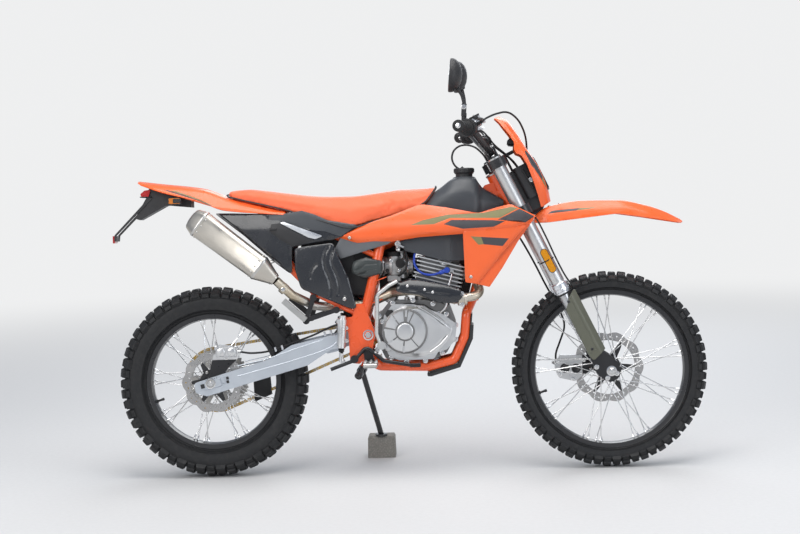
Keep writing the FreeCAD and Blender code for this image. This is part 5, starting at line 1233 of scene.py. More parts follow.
def cross_sheet(bm, outline, half, place, thickness, bands=(), spacing=9.0, holes=(),
                soft=0.14):
    """Sheet across the bike. Half(along) gives half its section from the middle to the edge,
    as (y, height) with y >= 0; place turns (along, y, height) into a point."""
    rows = {}

    def surface(p, offset):
        """Point of the sheet at a depth under its outer face."""
        key = round(p[0], 2)
        if key not in rows:
            rows[key] = half(p[0])
        points = rows[key]
        share = min(1.0, abs(p[1]) / 100.0)
        here = polyline_at(points, share, soft)
        ahead = polyline_at(points, min(1.0, share + 0.02), soft)
        back = polyline_at(points, max(0.0, share - 0.02), soft)
        run = ahead - back
        normal = Vector((-run.y, run.x)).normalized() if share >= 0.02 else Vector((0.0, 1.0))
        spot = here - normal * offset
        return place(p[0], math.copysign(1.0, p[1]) * spot.x, spot.y)

    edge = rounded(outline)
    points, faces = fill(edge, spacing, [(polygon, True) for _, polygon in bands], holes)
    shell(bm, points, faces, lambda p: surface(p, 0.0), lambda p: surface(p, thickness),
          painter(bands))


# Columns: x, crown z, crown half width, edge z, edge half width
REAR_FENDER = [(-250, 1056, 24, 1051, 40), (-169, 1045, 46, 1020, 74), (-18, 1024, 58, 978, 94),
               (66, 994, 60, 946, 102), (284, 936, 66, 925, 108)]


def rear_fender_half(x):
    """Half of the rear fender's section."""
    crown, crown_half, edge, edge_half = curve_at(REAR_FENDER, x)
    rise = 3.0 if x > 60 else 5.0
    return [Vector((0, crown + (0.0 if x > 60 else rise))), Vector((crown_half, crown)),
            Vector((edge_half - 4, edge + 8)), Vector((edge_half, edge))]


def make_rear_fender():
    """Rear fender's sheet with a dark and an olive band on each side."""
    bm = bmesh.new()
    outline = [(-250, -84, 0), (-238, -100, 0), (284, -100, 4), (284, 100, 4), (-238, 100, 0),
               (-250, 84, 0), (-252, 0, 0)]
    bands = on_both_sides((1, [(-150, 62), (-138, 56), (10, 84), (30, 92), (-40, 84)]),
                          (2, [(-128, 56), (-112, 52), (52, 84), (64, 92), (10, 84)]))
    cross_sheet(bm, outline, rear_fender_half, vec, 3.6, bands, spacing=10.0)
    new_piece("rear_fender_sheet", bm, [orange_plastic, dark_film, olive_film],
              "chassis", ("rear_fender",), sharp=34.0)


# Columns: x from the front axle, crown z, crown half, crease z, crease half, edge z, edge half
FRONT_FENDER = [(-252, 899, 30, 884, 42, 872, 48), (-204, 928, 36, 898, 54, 872, 60),
                (-80, 946, 38, 916, 62, 886, 72), (47, 944, 40, 921, 68, 897, 78),
                (133, 926, 36, 902, 64, 879, 74), (200, 903, 26, 884, 48, 870, 60),
                (272, 866, 8, 862, 20, 858, 36)]


def front_fender_half(x):
    """Half of the front fender's section."""
    crown, crown_half, crease, crease_half, edge, edge_half = curve_at(FRONT_FENDER, x)
    return [Vector((0, crown - 3.0)), Vector((crown_half, crown)),
            Vector((crease_half, crease)), Vector((edge_half, edge))]


def make_front_fender():
    """Front fender's sheet with its bands and the bolts under the clamp."""
    bm = bmesh.new()
    outline = [(-252, -100, 6), (-204, -100, 0), (40, -100, 0), (133, -96, 40),
               (264, -100, 0), (271, -60, 0), (273, 0, 0), (271, 60, 0), (264, 100, 0),
               (133, 96, 40), (40, 100, 0), (-204, 100, 0), (-252, 100, 6)]
    bands = on_both_sides((1, [(-205, 62), (-190, 54), (-90, 62), (-106, 70)]),
                          (2, [(-106, 70), (-90, 62), (-30, 64), (-54, 69)]))
    cross_sheet(bm, outline, front_fender_half, lambda a, y, h: vec(FRONT_AXLE.x + a, y, h),
                3.4, bands, soft=0.07)
    for side in (-1, 1):
        for x in (-196, -158):
            z = curve_at(FRONT_FENDER, x)[0]
            ball_head(bm, vec(FRONT_AXLE.x + x, side * 20, z - 2), UP, 6.0, 3)
    new_piece("front_fender_sheet", bm, [orange_plastic, dark_film, olive_film, steel],
              "steering", ("front_fender",), sharp=30.0)


# Columns: up the steering axis, forward of it, half width, side depth
MASK = [(620, 132, 50, 48), (694, 150, 74, 62), (744, 152, 84, 66), (830, 142, 92, 50),
        (900, 135, 78, 40), (945, 128, 60, 30), (976, 106, 40, 16)]


def mask_half(up):
    """Half of the mask's section."""
    forward, half, depth = curve_at(MASK, up)
    return [Vector((0, forward + 3)), Vector((half - 34, forward)),
            Vector((half - 8, forward - 12)), Vector((half, forward - depth))]


def make_mask():
    """Headlight mask with its window and bands."""
    bm = bmesh.new()
    half_outline = [(620, 90, 6), (664, 88, 20), (720, 84, 20), (780, 80, 30),
                    (816, 81, 14), (830, 92, 10), (848, 92, 10), (866, 81, 20),
                    (900, 82, 30), (930, 90, 30), (962, 95, 14), (976, 84, 8)]
    outline = ([(x, -share, r) for x, share, r in half_outline] + [(978, 0, 0)]
               + [(x, share, r) for x, share, r in reversed(half_outline)])
    window = rounded([(668, -34, 8), (668, 34, 8), (780, 24, 8), (780, -24, 8)])
    bands = on_both_sides(
        (1, [(716, 42), (704, 62), (770, 72), (818, 66), (826, 52), (800, 40)]),
        (2, [(704, 62), (716, 42), (684, 44), (676, 52)]))
    cross_sheet(bm, outline, mask_half, lambda a, y, h: on_fork(a, h, y), 3.2, bands,
                spacing=8.0, holes=[window], soft=0.1)
    new_piece("headlight_mask_sheet", bm, [orange_plastic, dark_film, olive_film],
              "steering", ("headlight_mask",), sharp=34.0)


make_rear_fender()
make_front_fender()
make_mask()


# Seat

# Columns: x, top z, top half, middle z, middle half, bottom z, bottom half
SEAT = [(70, 1018, 36, 1010, 50, 997, 54), (130, 1015, 44, 998, 66, 981, 72),
        (284, 995, 58, 968, 90, 942, 100), (340, 987, 62, 955, 98, 922, 108),
        (430, 979, 66, 938, 108, 893, 118), (510, 978, 68, 930, 112, 873, 122),
        (590, 985, 62, 936, 108, 892, 116), (690, 998, 52, 956, 94, 920, 106),
        (770, 1009, 40, 979, 72, 953, 86), (811, 1016, 32, 1008, 46, 1004, 52)]

END_ROUNDING = 14.0


def seat_ring(x, shrink):
    """Half of the seat's section from the top middle to the base, set in by a shrink."""
    top, top_half, middle, middle_half, bottom, bottom_half = curve_at(SEAT, x)
    half = [Vector((0, top + 3.0)), Vector((top_half * 0.55, top + 1.5)),
            Vector((top_half, top - 5.0)),
            Vector((middle_half - 1.0, middle + 0.22 * (top - middle))),
            Vector((middle_half + 1.0, middle - 0.25 * (middle - bottom))),
            Vector((bottom_half - 2.0, bottom + 1.0)), Vector((bottom_half - 4.0, bottom - 4.0))]
    line = smooth_line(half, 3)
    centre = Vector((0, (top + bottom) / 2.0))
    line = [p + (centre - p).normalized() * shrink for p in line]
    base = Vector((max(4.0, bottom_half - 16.0), bottom - 2.0 + shrink))
    return line + [base, Vector((0, bottom + 2.0 + shrink))]


def seat_body(stations, shrink):
    """Closed seat pad from its sections, with rounded ends."""
    bm = bmesh.new()
    rings = []
    first, last = SEAT[0][0], SEAT[-1][0]
    for step in range(stations + 1):
        share = step / stations
        x = first + (last - first) * share
        half = seat_ring(x, shrink)
        inset = 0.0
        end_gap = min(x - first, last - x)
        if end_gap < END_ROUNDING:
            inset = 1.0 - math.sqrt(max(0.0, 1.0 - (1.0 - end_gap / END_ROUNDING) ** 2))
        middle = Vector((0, (half[0].y + half[-1].y) / 2.0))
        half = [p + (middle - p) * inset * 0.45 for p in half]
        ring = [vec(x, -p.x, p.y) for p in half] + [vec(x, p.x, p.y) for p in half[-2:0:-1]]
        rings.append([bm.verts.new(p) for p in ring])
    loft(bm, rings)
    return bm


CLOTH_FRAMES = 20
CLOTH_PRESSURE = 4.0


def puffed(name, bm, cap_mm, voxel_mm):
    """Cover filled by cloth simulation: it swells from its shape by no more than the cap."""
    bmesh.ops.recalc_face_normals(bm, faces=bm.faces)
    bmesh.ops.triangulate(bm, faces=[f for f in bm.faces if len(f.verts) > 4])
    bm.transform(BIKE)
    mesh = bpy.data.meshes.new(name)
    bm.to_mesh(mesh)
    bm.free()
    pad = bpy.data.objects.new(name, mesh)
    scene = bpy.context.scene
    scene.collection.objects.link(pad)
    remesh = pad.modifiers.new("remesh", "REMESH")
    remesh.mode = "VOXEL"
    remesh.voxel_size = voxel_mm * MM
    graph = bpy.context.evaluated_depsgraph_get()
    even = bpy.data.meshes.new_from_object(pad.evaluated_get(graph))
    pad.modifiers.clear()
    pad.data = even
    before = [v.co.copy() for v in even.vertices]
    cloth = pad.modifiers.new("cloth", "CLOTH")
    for name, value in (("quality", 5), ("mass", 0.3), ("tension_stiffness", 40.0),
                        ("compression_stiffness", 40.0), ("shear_stiffness", 20.0),
                        ("bending_stiffness", 2.0), ("use_pressure", True),
                        ("uniform_pressure_force", CLOTH_PRESSURE)):
        setattr(cloth.settings, name, value)
    cloth.settings.effector_weights.gravity = 0.0
    cloth.point_cache.frame_start = 1
    cloth.point_cache.frame_end = CLOTH_FRAMES
    for number in range(1, CLOTH_FRAMES + 1):
        scene.frame_set(number)
    graph = bpy.context.evaluated_depsgraph_get()
    swollen = bpy.data.meshes.new_from_object(pad.evaluated_get(graph))
    pad.modifiers.clear()
    pad.data = swollen
    scene.frame_set(1)
    for vert, start in zip(swollen.vertices, before):
        move = vert.co - start
        if move.length > cap_mm * MM:
            vert.co = start + move.normalized() * cap_mm * MM
    return pad


def make_seat():
    """Padded cover that stands for the seat."""
    pad = puffed("seat_cover_pad", seat_body(stations=60, shrink=3.0), cap_mm=7.0,
                 voxel_mm=5.0)
    pad.data.materials.clear()
    pad.data.materials.append(seat_cover)
    pad.data.shade_smooth()
    soften = pad.modifiers.new("soften", "SMOOTH")
    soften.factor = 0.5
    soften.iterations = 6
    smooth = pad.modifiers.new("smooth", "SUBSURF")
    smooth.levels = smooth.render_levels = 1
    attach(pad, "chassis")
    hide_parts("seat")


def make_welt():
    """Welt along the cover's lower edge and round both ends."""
    bm = bmesh.new()
    first, last = SEAT[0][0], SEAT[-1][0]
    right = []
    for k in range(51):
        x = first + 4 + (last - first - 8) * k / 50
        bottom, bottom_half = curve_at(SEAT, x)[4:]
        right.append(vec(x, -bottom_half + 1.0, bottom))
    left = [vec(p.x, -p.y, p.z) for p in reversed(right)]
    turns = [math.pi * k / 12 for k in range(1, 12)]
    top, bottom, half = (curve_at(SEAT, last)[column] for column in (0, 4, 5))
    front = [vec(last + 1.0, -math.cos(angle) * half,
                 bottom + math.sin(angle) ** 0.6 * (top - bottom - 4.0)) for angle in turns]
    bottom, half = curve_at(SEAT, first + 2)[4:]
    back = [vec(first + 1.0, math.cos(angle) * half, bottom + 3.0 + 4.0 * math.sin(angle))
            for angle in turns]
    tube(bm, right + front + left + back, 2.8, 8, 0, closed=True)
    new_piece("seat_welt", bm, [seat_base], "chassis")


CAP_X = 914
CAP_FOOT = 1040.3


def make_tank():
    """Tank with rounded shoulders, a raised neck and a scoop in each flank."""
    bm = bmesh.new()
    # Columns: x, top z, top half, shoulder z, shoulder half, bottom z
    table = [(772, 962, 38, 930, 82, 851), (800, 985, 42, 944, 90, 848),
             (830, 1006, 45, 952, 95, 847), (880, 1038, 48, 962, 97, 851),
             (914, 1041, 49, 963, 96, 860), (952, 1036, 49, 960, 91, 869),
             (975, 1004, 47, 951, 73, 884), (1010, 982, 46, 947, 64, 905),
             (1050, 957, 43, 941, 54, 926)]
    rings = []
    steps = 30
    first, last = table[0][0], table[-1][0]
    for step in range(steps + 1):
        x = first + (last - first) * step / steps
        top, top_half, shoulder, shoulder_half, bottom = curve_at(table, x)
        half = [Vector((0, top + 1.5)), Vector((top_half, top)),
                Vector((shoulder_half - 6, shoulder + 0.35 * (top - shoulder))),
                Vector((shoulder_half, shoulder)), Vector((shoulder_half - 4, bottom + 6)),
                Vector((shoulder_half - 16, bottom))]
        points = [polyline_at(half, k / 20.0, 0.07) for k in range(21)]
        # Scoop in the flank above the shroud
        for p in points:
            height = (p.y - bottom) / (top - bottom + 1)
            if 0.3 < height < 0.95:
                dip = math.exp(-((x - 925) / 45.0) ** 2) * 5.0
                p.x -= dip * math.sin(math.pi * (height - 0.3) / 0.65)
        ring = [vec(x, -p.x, p.y) for p in points] + [vec(x, p.x, p.y) for p in points[:0:-1]]
        rings.append([bm.verts.new(p) for p in ring])
    loft(bm, rings)
    turned(bm, [(-4, 44), (4, 40), (7, 36), (7.5, 30)], vec(CAP_X, 0, 1036), UP, 40)
    new_piece("tank_shell", bm, [tank_plastic], "chassis", ("fuel_tank",),
              sharp=50.0)


def make_fuel_cap():
    """Cap with grips, and the vent's fitting on it."""
    bm = bmesh.new()
    profile = [(0, 30), (12, 30), (13, 33), (17, 34.5), (18, 36), (31, 36), (33.5, 33.5),
               (34, 28), (32.5, 26), (32.5, 1)]
    turned(bm, profile, vec(CAP_X, 0, CAP_FOOT), UP, 48)
    for k in range(16):
        angle = 2 * math.pi * k / 16
        at = vec(CAP_X + math.cos(angle) * 35.4, math.sin(angle) * 35.4, CAP_FOOT + 24.5)
        box(bm, at, (3.0, 5.0, 12.0), Matrix.Rotation(angle, 3, "Z"), chamfer=1.0)
    rod(bm, vec(CAP_X, 0, 1068), vec(905, 0, 1078), 5.0, 12)
    new_piece("fuel_cap_grip", bm, [black_plastic], "chassis", ("fuel_cap",))


make_seat()
make_welt()
make_tank()
make_fuel_cap()


# Silencer

def make_silencer():
    """Steel can with rolled edges, an end cap with its outlet, and a cone to the pipe."""
    along = vec(0.786, 0, -0.619)
    aside = vec(0.619, 0, 0.786)
    rear = vec(-14, -158, 902)
    bm = bmesh.new()

    def loop(distance, height, width, corner):
        """Ring of the can, between an oval and a rounded rectangle."""
        centre = rear + along * distance
        ring = []
        count = 40
        for k in range(count):
            angle = 2 * math.pi * k / count
            ca, sa = math.cos(angle), math.sin(angle)
            power = 2.0 / corner
            a = height * math.copysign(abs(ca) ** power, ca)
            b = width * math.copysign(abs(sa) ** power, sa)
            ring.append(bm.verts.new(centre + aside * a + vec(0, b, 0)))
        return ring

    # Columns: distance along, half height, half width, squareness, material
    rows = [(-34, 15, 13, 2.2, 1), (-38, 16, 14, 2.2, 1), (-38, 20, 18, 2.2, 1),
            (-34, 34, 29, 3.0, 0), (-30, 39, 33, 3.4, 0), (-3, 49, 43, 3.6, 1),
            (-1, 50.5, 44.5, 3.6, 1), (3, 51, 45, 3.6, 1), (6, 50, 44, 3.6, 0),
            (8, 48.6, 42.6, 3.6, 0), (14, 48.6, 42.6, 3.6, 0), (252, 44.5, 39.5, 3.6, 0),
            (256, 46.5, 41.5, 3.6, 1), (262, 46.5, 41.5, 3.6, 1), (266, 44.0, 39.0, 3.6, 0),
            (318, 24, 22, 2.6, 0), (330, 20, 18.5, 2.2, 1)]
    rings = [loop(*row[:4]) for row in rows]
    for row, ring_a, ring_b in zip(rows, rings, rings[1:]):
        bridge(bm, ring_a, ring_b, row[4])
    cap(bm, rings[-1], 1)
    # Outlet pipe
    inner = [loop(distance, height, width, 2.0) for distance, height, width in
             ((-34, 14, 12.5), (-20, 13, 11.5), (30, 13, 11.5))]
    bridge(bm, rings[0], inner[0], 1)
    for ring_a, ring_b in zip(inner, inner[1:]):
        bridge(bm, ring_a, ring_b, 2)
    cap(bm, inner[-1], 2)
    # Rivets round both ends of the sleeve
    for distance in (13.0, 246.0):
        share = (distance - 14.0) / (252.0 - 14.0)
        height, width = 48.6 - 4.1 * share, 42.6 - 3.1 * share
        for a, b in ((0.55, -1), (-0.55, -1), (0.0, -1), (1, 0.5), (1, -0.5), (-1, 0.5),
                     (-1, -0.5)):
            at = rear + along * distance + aside * (a * height * 0.985) + vec(0, b * width, 0)
            axis = vec(0, b, 0) if abs(b) == 1 else aside * a
            ball_head(bm, at - axis * 0.6, axis, 3.4, 1, 10)
    rod(bm, vec(255, -88, 772), vec(192, -126, 746), 6.0, 14, 1)
    box(bm, vec(190, -127, 747), (34, 12, 26), Matrix.Rotation(0.66, 3, "Y"), 1, 2.0)
    hex_head(bm, vec(255, -94, 772), RIGHT, 6.0, 5.0, 1)
    # Weld bead between the cone and the pipe
    hoop(bm, rear + along * 322, aside * 23, vec(0, 21.2, 0), 1.6, 48, mat=1)
    new_piece("silencer_can", bm, [silencer_steel, steel, black_paint], "chassis",
              ("silencer",), sharp=36.0)


make_silencer()


# Engine

CYLINDER_BASE = vec(790.0, 0, 612.0)
CYLINDER_TILT = math.radians(15.0)


def tilted(forward, up, left=0.0):
    """Point beside the leaned-forward cylinder."""
    return CYLINDER_BASE + vec(forward * math.cos(CYLINDER_TILT) + up * math.sin(CYLINDER_TILT),
                               left, up * math.cos(CYLINDER_TILT)
                               - forward * math.sin(CYLINDER_TILT))


TILT_TURN = Matrix.Rotation(CYLINDER_TILT, 3, "Y")
TILT_UP = TILT_TURN @ UP
TILT_FORWARD = TILT_TURN @ FORWARD
# Middle of the clutch and of the ignition cover: x, z
CRANK = (692, 505)
# Cone over the clutch: how far out it stands, its flat middle's radius and its fall per mm
CONE_OUT, CONE_FLAT, CONE_FALL = 136.2, 30.0, 4.7 / 45.0
# Angles in degrees of the cone's raised sectors
SECTORS = ((93, 126), (130, 167), (171, 213), (217, 262), (266, 308), (-50, 62), (65, 79))


def sector(bm, centre, start, end, inner, outer):
    """Raised pad on the cone over the clutch, between two angles and two radii."""
    steps = max(2, int((end - start) / 0.12))
    rows = []
    for share in (0.0, 0.06, 0.94, 1.0):
        radius = inner + (outer - inner) * share
        lift = -1.0 if share in (0.0, 1.0) else 2.2
        y = -(CONE_OUT - (radius - CONE_FLAT) * CONE_FALL) - lift
        edge_turn = 1.2 / radius
        rows.append([])
        for k in range(-1, steps + 2):
            angle = min(end, max(start, start + (end - start) * k / steps))
            low = 3.2 if k in (-1, steps + 1) and lift > 0 else 0.0
            if k == 0:
                angle += edge_turn
            if k == steps:
                angle -= edge_turn
            rows[-1].append(bm.verts.new(centre + vec(radius * math.cos(angle), y + low,
                                                      radius * math.sin(angle))))
    for row_a, row_b in zip(rows, rows[1:]):
        bridge(bm, row_a, row_b, closed=False)


def bolt_circle(bm, centre, right, up, count, turn, axis, radius, height):
    """Hexagon heads evenly round a centre, reached by two half axes."""
    for k in range(count):
        angle = 2 * math.pi * k / count + turn
        hex_head(bm, centre + right * math.cos(angle) + up * math.sin(angle), axis, radius,
                 height, 1)


def make_engine_covers():
    """Clutch cover with its cone, bolts, plugs and gasket, and the ignition cover's rings."""
    bm = bmesh.new()
    bolt_face = -106.0
    # Clutch cover: stepped face with a pointed nose and wedge facets
    nose = [(622, 505, 40), (640, 572, 60), (692, 597, 50), (760, 592, 30), (812, 556, 30),
            (861, 508, 14), (846, 470, 30), (800, 424, 40), (730, 408, 60), (650, 424, 60)]
    rim = rounded(nose, 7)
    middle = Vector(CRANK)
    # Columns: share towards the middle, y
    steps = ((0.0, -104.0), (0.0, -109.0), (0.03, -112.0), (0.05, -112.5), (0.14, -119.0),
             (0.18, -120.5))
    for pair in zip(steps, steps[1:]):
        bridge(bm, *([bm.verts.new(vec(p[0] + (middle.x - p[0]) * share, y,
                                       p[1] + (middle.y - p[1]) * share)) for p in rim]
                     for share, y in pair))
    inner = [p + (middle - p) * 0.18 for p in rim]
    points, faces = fill(inner, 4.5)

    def dome(p):
        """Point of the cover's face, with ribs round the middle and a crease at its nose."""
        reach = (p - middle).length
        rise = 3.0 * max(0.0, 1.0 - (reach / 160.0) ** 2)
        angle = math.degrees(math.atan2(p.y - middle.y, p.x - middle.x)) % 360.0
        for rib in (106.0, 148.0, 192.0, 240.0, 290.0):
            off = abs((angle - rib + 180.0) % 360.0 - 180.0)
            width = math.radians(off) * reach
            if 30.0 < reach < 78.0 and width < 7.0:
                rise += 4.5 * (1.0 - width / 7.0) * min(1.0, (reach - 30.0) / 8.0)
        if p.x > 700 and p.y > 505:
            line = abs((p.y - 590.0) - (502.0 - 590.0) / (850.0 - 760.0) * (p.x - 760.0))
            rise -= 1.2 * max(0.0, 1.0 - line / 14.0)
        return vec(p.x, -119.6 - rise, p.y)

    shell(bm, points, faces, dome, lambda p: vec(p.x, -108.0, p.y))
    turned(bm, [(0, 30), (6.0, 30), (7.5, 28.5), (7.8, 27), (7.8, 1)], vec(692, -117, 505),
           RIGHT, 48)
    # Shallow cone over the clutch in a darker finish, under sectors of the cover's metal: the dark
    # joints between them are painted shade in the grooves
    clutch = vec(CRANK[0], 0, CRANK[1])
    turned(bm, [(121, 79.5), (129.5, 78.5), (131.5, 75.0), (CONE_OUT, CONE_FLAT),
                (136.4, 27.0)], clutch, RIGHT, 72, 4)
    for first_turn, last_turn in SECTORS:
        sector(bm, clutch, math.radians(first_turn), math.radians(last_turn), inner=33.0,
               outer=73.5)
    turned(bm, [(133, 30.0), (139.5, 29.0), (141.5, 27.0), (142.0, 24.0), (142.0, 0.5)], clutch,
           RIGHT, 48, 0)
    # Edge of the nose
    nose_edge = smooth_line([vec(740, -122.6, 590), vec(792, -122.0, 556),
                             vec(846, -121.0, 506), vec(820, -121.0, 462),
                             vec(778, -121.6, 430)], 6)
    tube(bm, nose_edge, 2.4, 8, 0)
    # Cover bolts on their bosses
    bolts = [(612, 540), (650, 604), (722, 612), (792, 598), (838, 560), (869, 521), (868, 470),
             (820, 424), (760, 398), (694, 396), (640, 412), (610, 462)]
    for x, z in bolts:
        turned(bm, [(-12, 9.5), (0, 9.5), (1.2, 8.6)], vec(x, bolt_face, z), RIGHT, 20)
        hex_head(bm, vec(x, bolt_face - 1.4, z), RIGHT, 5.2, 5.0, 1)
    # Oil filler plug and kick shaft boss
    turned(bm, [(-6, 15), (3, 15), (4, 17), (9, 17), (10.5, 15.5), (10.5, 1)],
           vec(640, -110, 566), RIGHT, 6, 2)
    turned(bm, [(-14, 17), (2, 17), (3, 15), (6, 14), (6.4, 8), (7.5, 7), (7.6, 1)],
           vec(632, -112, 452), RIGHT, 32, 0)
    # Gasket line round the case joint
    gasket = [vec(p[0] + (p[0] - 745) * 0.035, -103.5, p[1] + (p[1] - 505) * 0.05) for p in rim]
    tube(bm, gasket, 1.6, 6, 3, closed=True)
    # Sight glass
    turned(bm, [(-4, 10), (2, 10), (3, 9), (3.2, 7.5), (1.5, 7.2), (1.5, 0.5)],
           vec(668, -113, 437), RIGHT, 28, 1)
    # Left side: ignition cover with its bolts, ring and middle nut
    bolt_circle(bm, clutch + vec(0, 108.0, 0), vec(62, 0, 0), vec(0, 0, 62), 6, 0.3,
                LEFT, 5.2, 5.0)
    turned(bm, [(0, 40), (3, 40), (4.5, 38), (4.5, 30), (2.5, 28), (2.5, 1)],
           clutch + vec(0, 109.5, 0), LEFT, 48, 0)
    turned(bm, [(0, 10), (4, 10), (5, 8), (5, 1)], clutch + vec(0, 110, 0), LEFT, 6, 1)
    new_piece("engine_cover_detail", bm, [cover_metal, bright_steel, black_plastic, rubber,
                                          case_finish],
              "chassis")


def make_cylinder_detail():
    """Studs, oil line, fin edges, starter motor, fuel tap and the valve cover's parts."""
    bm = bmesh.new()
    # Stud nuts and the oil line
    for forward, left in ((-64, -50), (64, -50), (-64, 50), (64, 50)):
        turned(bm, [(-4, 9), (3, 9), (3.5, 7.5), (14, 7.5), (15, 6)], tilted(forward, 128, left),
               TILT_UP, 6, 1)
    line = smooth_line([vec(812, -98, 560), vec(838, -112, 590), vec(842, -108, 640),
                        tilted(46, 96, -86), tilted(40, 112, -72)], 6)
    tube(bm, line, 4.0, 10, 1)
    for at in (line[0], line[-1]):
        hex_head(bm, at, RIGHT, 7.0, 8.0, 1)
    # Timing chain tensioner behind the barrel, engine mounts
    box(bm, tilted(-70, 40, -30), (26, 30, 22), TILT_TURN, 0, 2.0)
    hex_head(bm, tilted(-84, 40, -30), -TILT_FORWARD, 6.0, 6.0, 1)
    for x, z in ((700, 622), (745, 624), (835, 600)):
        rod(bm, vec(x, -70, z - 22), vec(x, -70, z), 9.0, 16, 0, 1.0)
        hex_head(bm, vec(x, -70, z), UP, 6.0, 6.0, 1)
    # Machined edges of the fins
    fin_line = rounded([(-88.5, -74.5, 8), (88.5, -74.5, 8), (88.5, 74.5, 8),
                        (-88.5, 74.5, 8)], 5)
    for fin in range(9):
        low = 22.0 + 14.0 * fin
        rings = [[bm.verts.new(tilted(p.x * grow, up, p.y * grow)) for p in fin_line]
                 for up, grow in ((low - 0.4, 0.985), (low - 0.4, 1.012), (low + 4.4, 1.012),
                                  (low + 4.4, 0.985))]
        for ring_a, ring_b in zip(rings, rings[1:]):
            bridge(bm, ring_a, ring_b, 2)
    box(bm, tilted(0, 82, 0), (150, 118, 124), TILT_TURN, 3, 6.0)
    # Starter motor behind the barrel, and the fuel tap
    turned(bm, [(-62, 1), (-62, 22), (-58, 25), (34, 25), (36, 27), (44, 27), (46, 25), (58, 25),
                (58, 1)], vec(640, 0, 628), LEFT, 32, 0)
    bolt_circle(bm, vec(640, -62, 628), vec(17, 0, 0), vec(0, 0, 17), 3, 0.4, RIGHT,
                3.6, 3.5)
    rod(bm, vec(672, -88, 836), vec(674, -92, 796), 8.0, 16, 2, 1.5)
    turned(bm, [(-10, 11), (4, 11), (6, 9), (10, 9), (11, 1)], vec(674, -98, 812),
           RIGHT, 24, 2)
    box(bm, vec(682, -108, 806), (30, 5, 9), Matrix.Rotation(0.5, 3, "Y"), 1, 1.5)
    hex_head(bm, vec(674, -92, 794), -UP, 7.0, 7.0, 1)
    # Valve cover with its bolts and side caps
    for forward in (-36, 36):
        for left in (-40, 40):
            hex_head(bm, tilted(forward, 196, left), TILT_UP, 5.5, 6.0, 1)
    for side in (-1, 1):
        turned(bm, [(0, 26), (6, 26), (8, 24), (8, 16), (6.5, 14), (6.5, 1)],
               tilted(10, 150, side * 58), LEFT * side, 36, 0)
        bolt_circle(bm, tilted(10, 150, side * 66), TILT_FORWARD * 20, TILT_UP * 20, 3, 0.5,
                    LEFT * side, 4.0, 4.0)
    new_piece("cylinder_detail", bm, [cast_metal, bright_steel, cover_metal, case_finish],
              "chassis")


# Intake's middle line: y, z
INTAKE_Y, INTAKE_Z = -34.0, 731


def make_carburettor():
    """Carburettor with its clamps, drum, screw and fuel line."""
    bm = bmesh.new()
    y, z = INTAKE_Y, INTAKE_Z
    # Throttle body. Columns: x, radius
    rows = [(598, 33), (604, 36), (606, 36), (610, 33), (622, 32), (623, 27), (640, 27),
            (641, 34), (650, 35), (651, 29), (662, 29), (663, 33), (671, 33), (672, 27),
            (684, 27), (685, 31), (690, 31), (691, 28), (702, 28), (703, 34), (709, 34),
            (710, 29), (724, 28)]
    turned(bm, rows, vec(0, y, z), FORWARD, 40)
    rod(bm, vec(656, y - 4, 700), vec(656, y - 4, 772), 23.0, 28, 0, 3.0)
    turned(bm, [(0, 26), (4, 26), (5, 24.5), (14, 24.5), (16, 22), (16, 1)],
           vec(656, y - 4, 768), UP, 32, 2)
    box(bm, vec(656, y - 4, 690), (48, 44, 26), None, 0, 4.0)
    turned(bm, [(0, 9), (4, 9), (5, 7)], vec(656, y - 4, 678), -UP, 6, 1)
    for x in (606, 706):
        hoop(bm, vec(x, y, z), vec(0, 36.5, 0), vec(0, 0, 36.5), 2.2, 40, mat=1)
        box(bm, vec(x, y - 36, 742), (9, 10, 14), None, 1, 1.5)
        hex_head(bm, vec(x, y - 40, 742), RIGHT, 4.0, 4.0, 1)
    # Throttle drum, idle screw, fuel elbow
    turned(bm, [(0, 17), (3, 17), (3.5, 14), (8, 14), (8.5, 17), (11, 17), (11.5, 6), (15, 6),
                (15.5, 1)], vec(680, y - 30, 742), RIGHT, 28, 2)
    rod(bm, vec(634, y - 24, 722), vec(634, y - 48, 718), 4.0, 12, 1, 0.6)
    turned(bm, [(0, 7), (6, 7), (7, 6)], vec(634, y - 44, 718.5), RIGHT, 16, 2)
    line = smooth_line([vec(672, y - 26, 700), vec(680, y - 44, 702), vec(700, y - 50, 724),
                        vec(704, y - 46, 760), vec(698, y - 34, 800), vec(700, y - 26, 846)], 6)
    tube(bm, line, 4.2, 10, 2)
    for x, out, up in ((616, 28, 748), (648, 30, 752), (676, 28, 716), (694, 30, 748)):
        hex_head(bm, vec(x, y - out, up), RIGHT, 4.5, 4.0, 1)
    rod(bm, vec(700, y, z), vec(756, y + 14, 728), 27.0, 32, 2, 2.0)
    new_piece("carburettor_detail", bm, [cast_metal, bright_steel, rubber],
              "chassis")


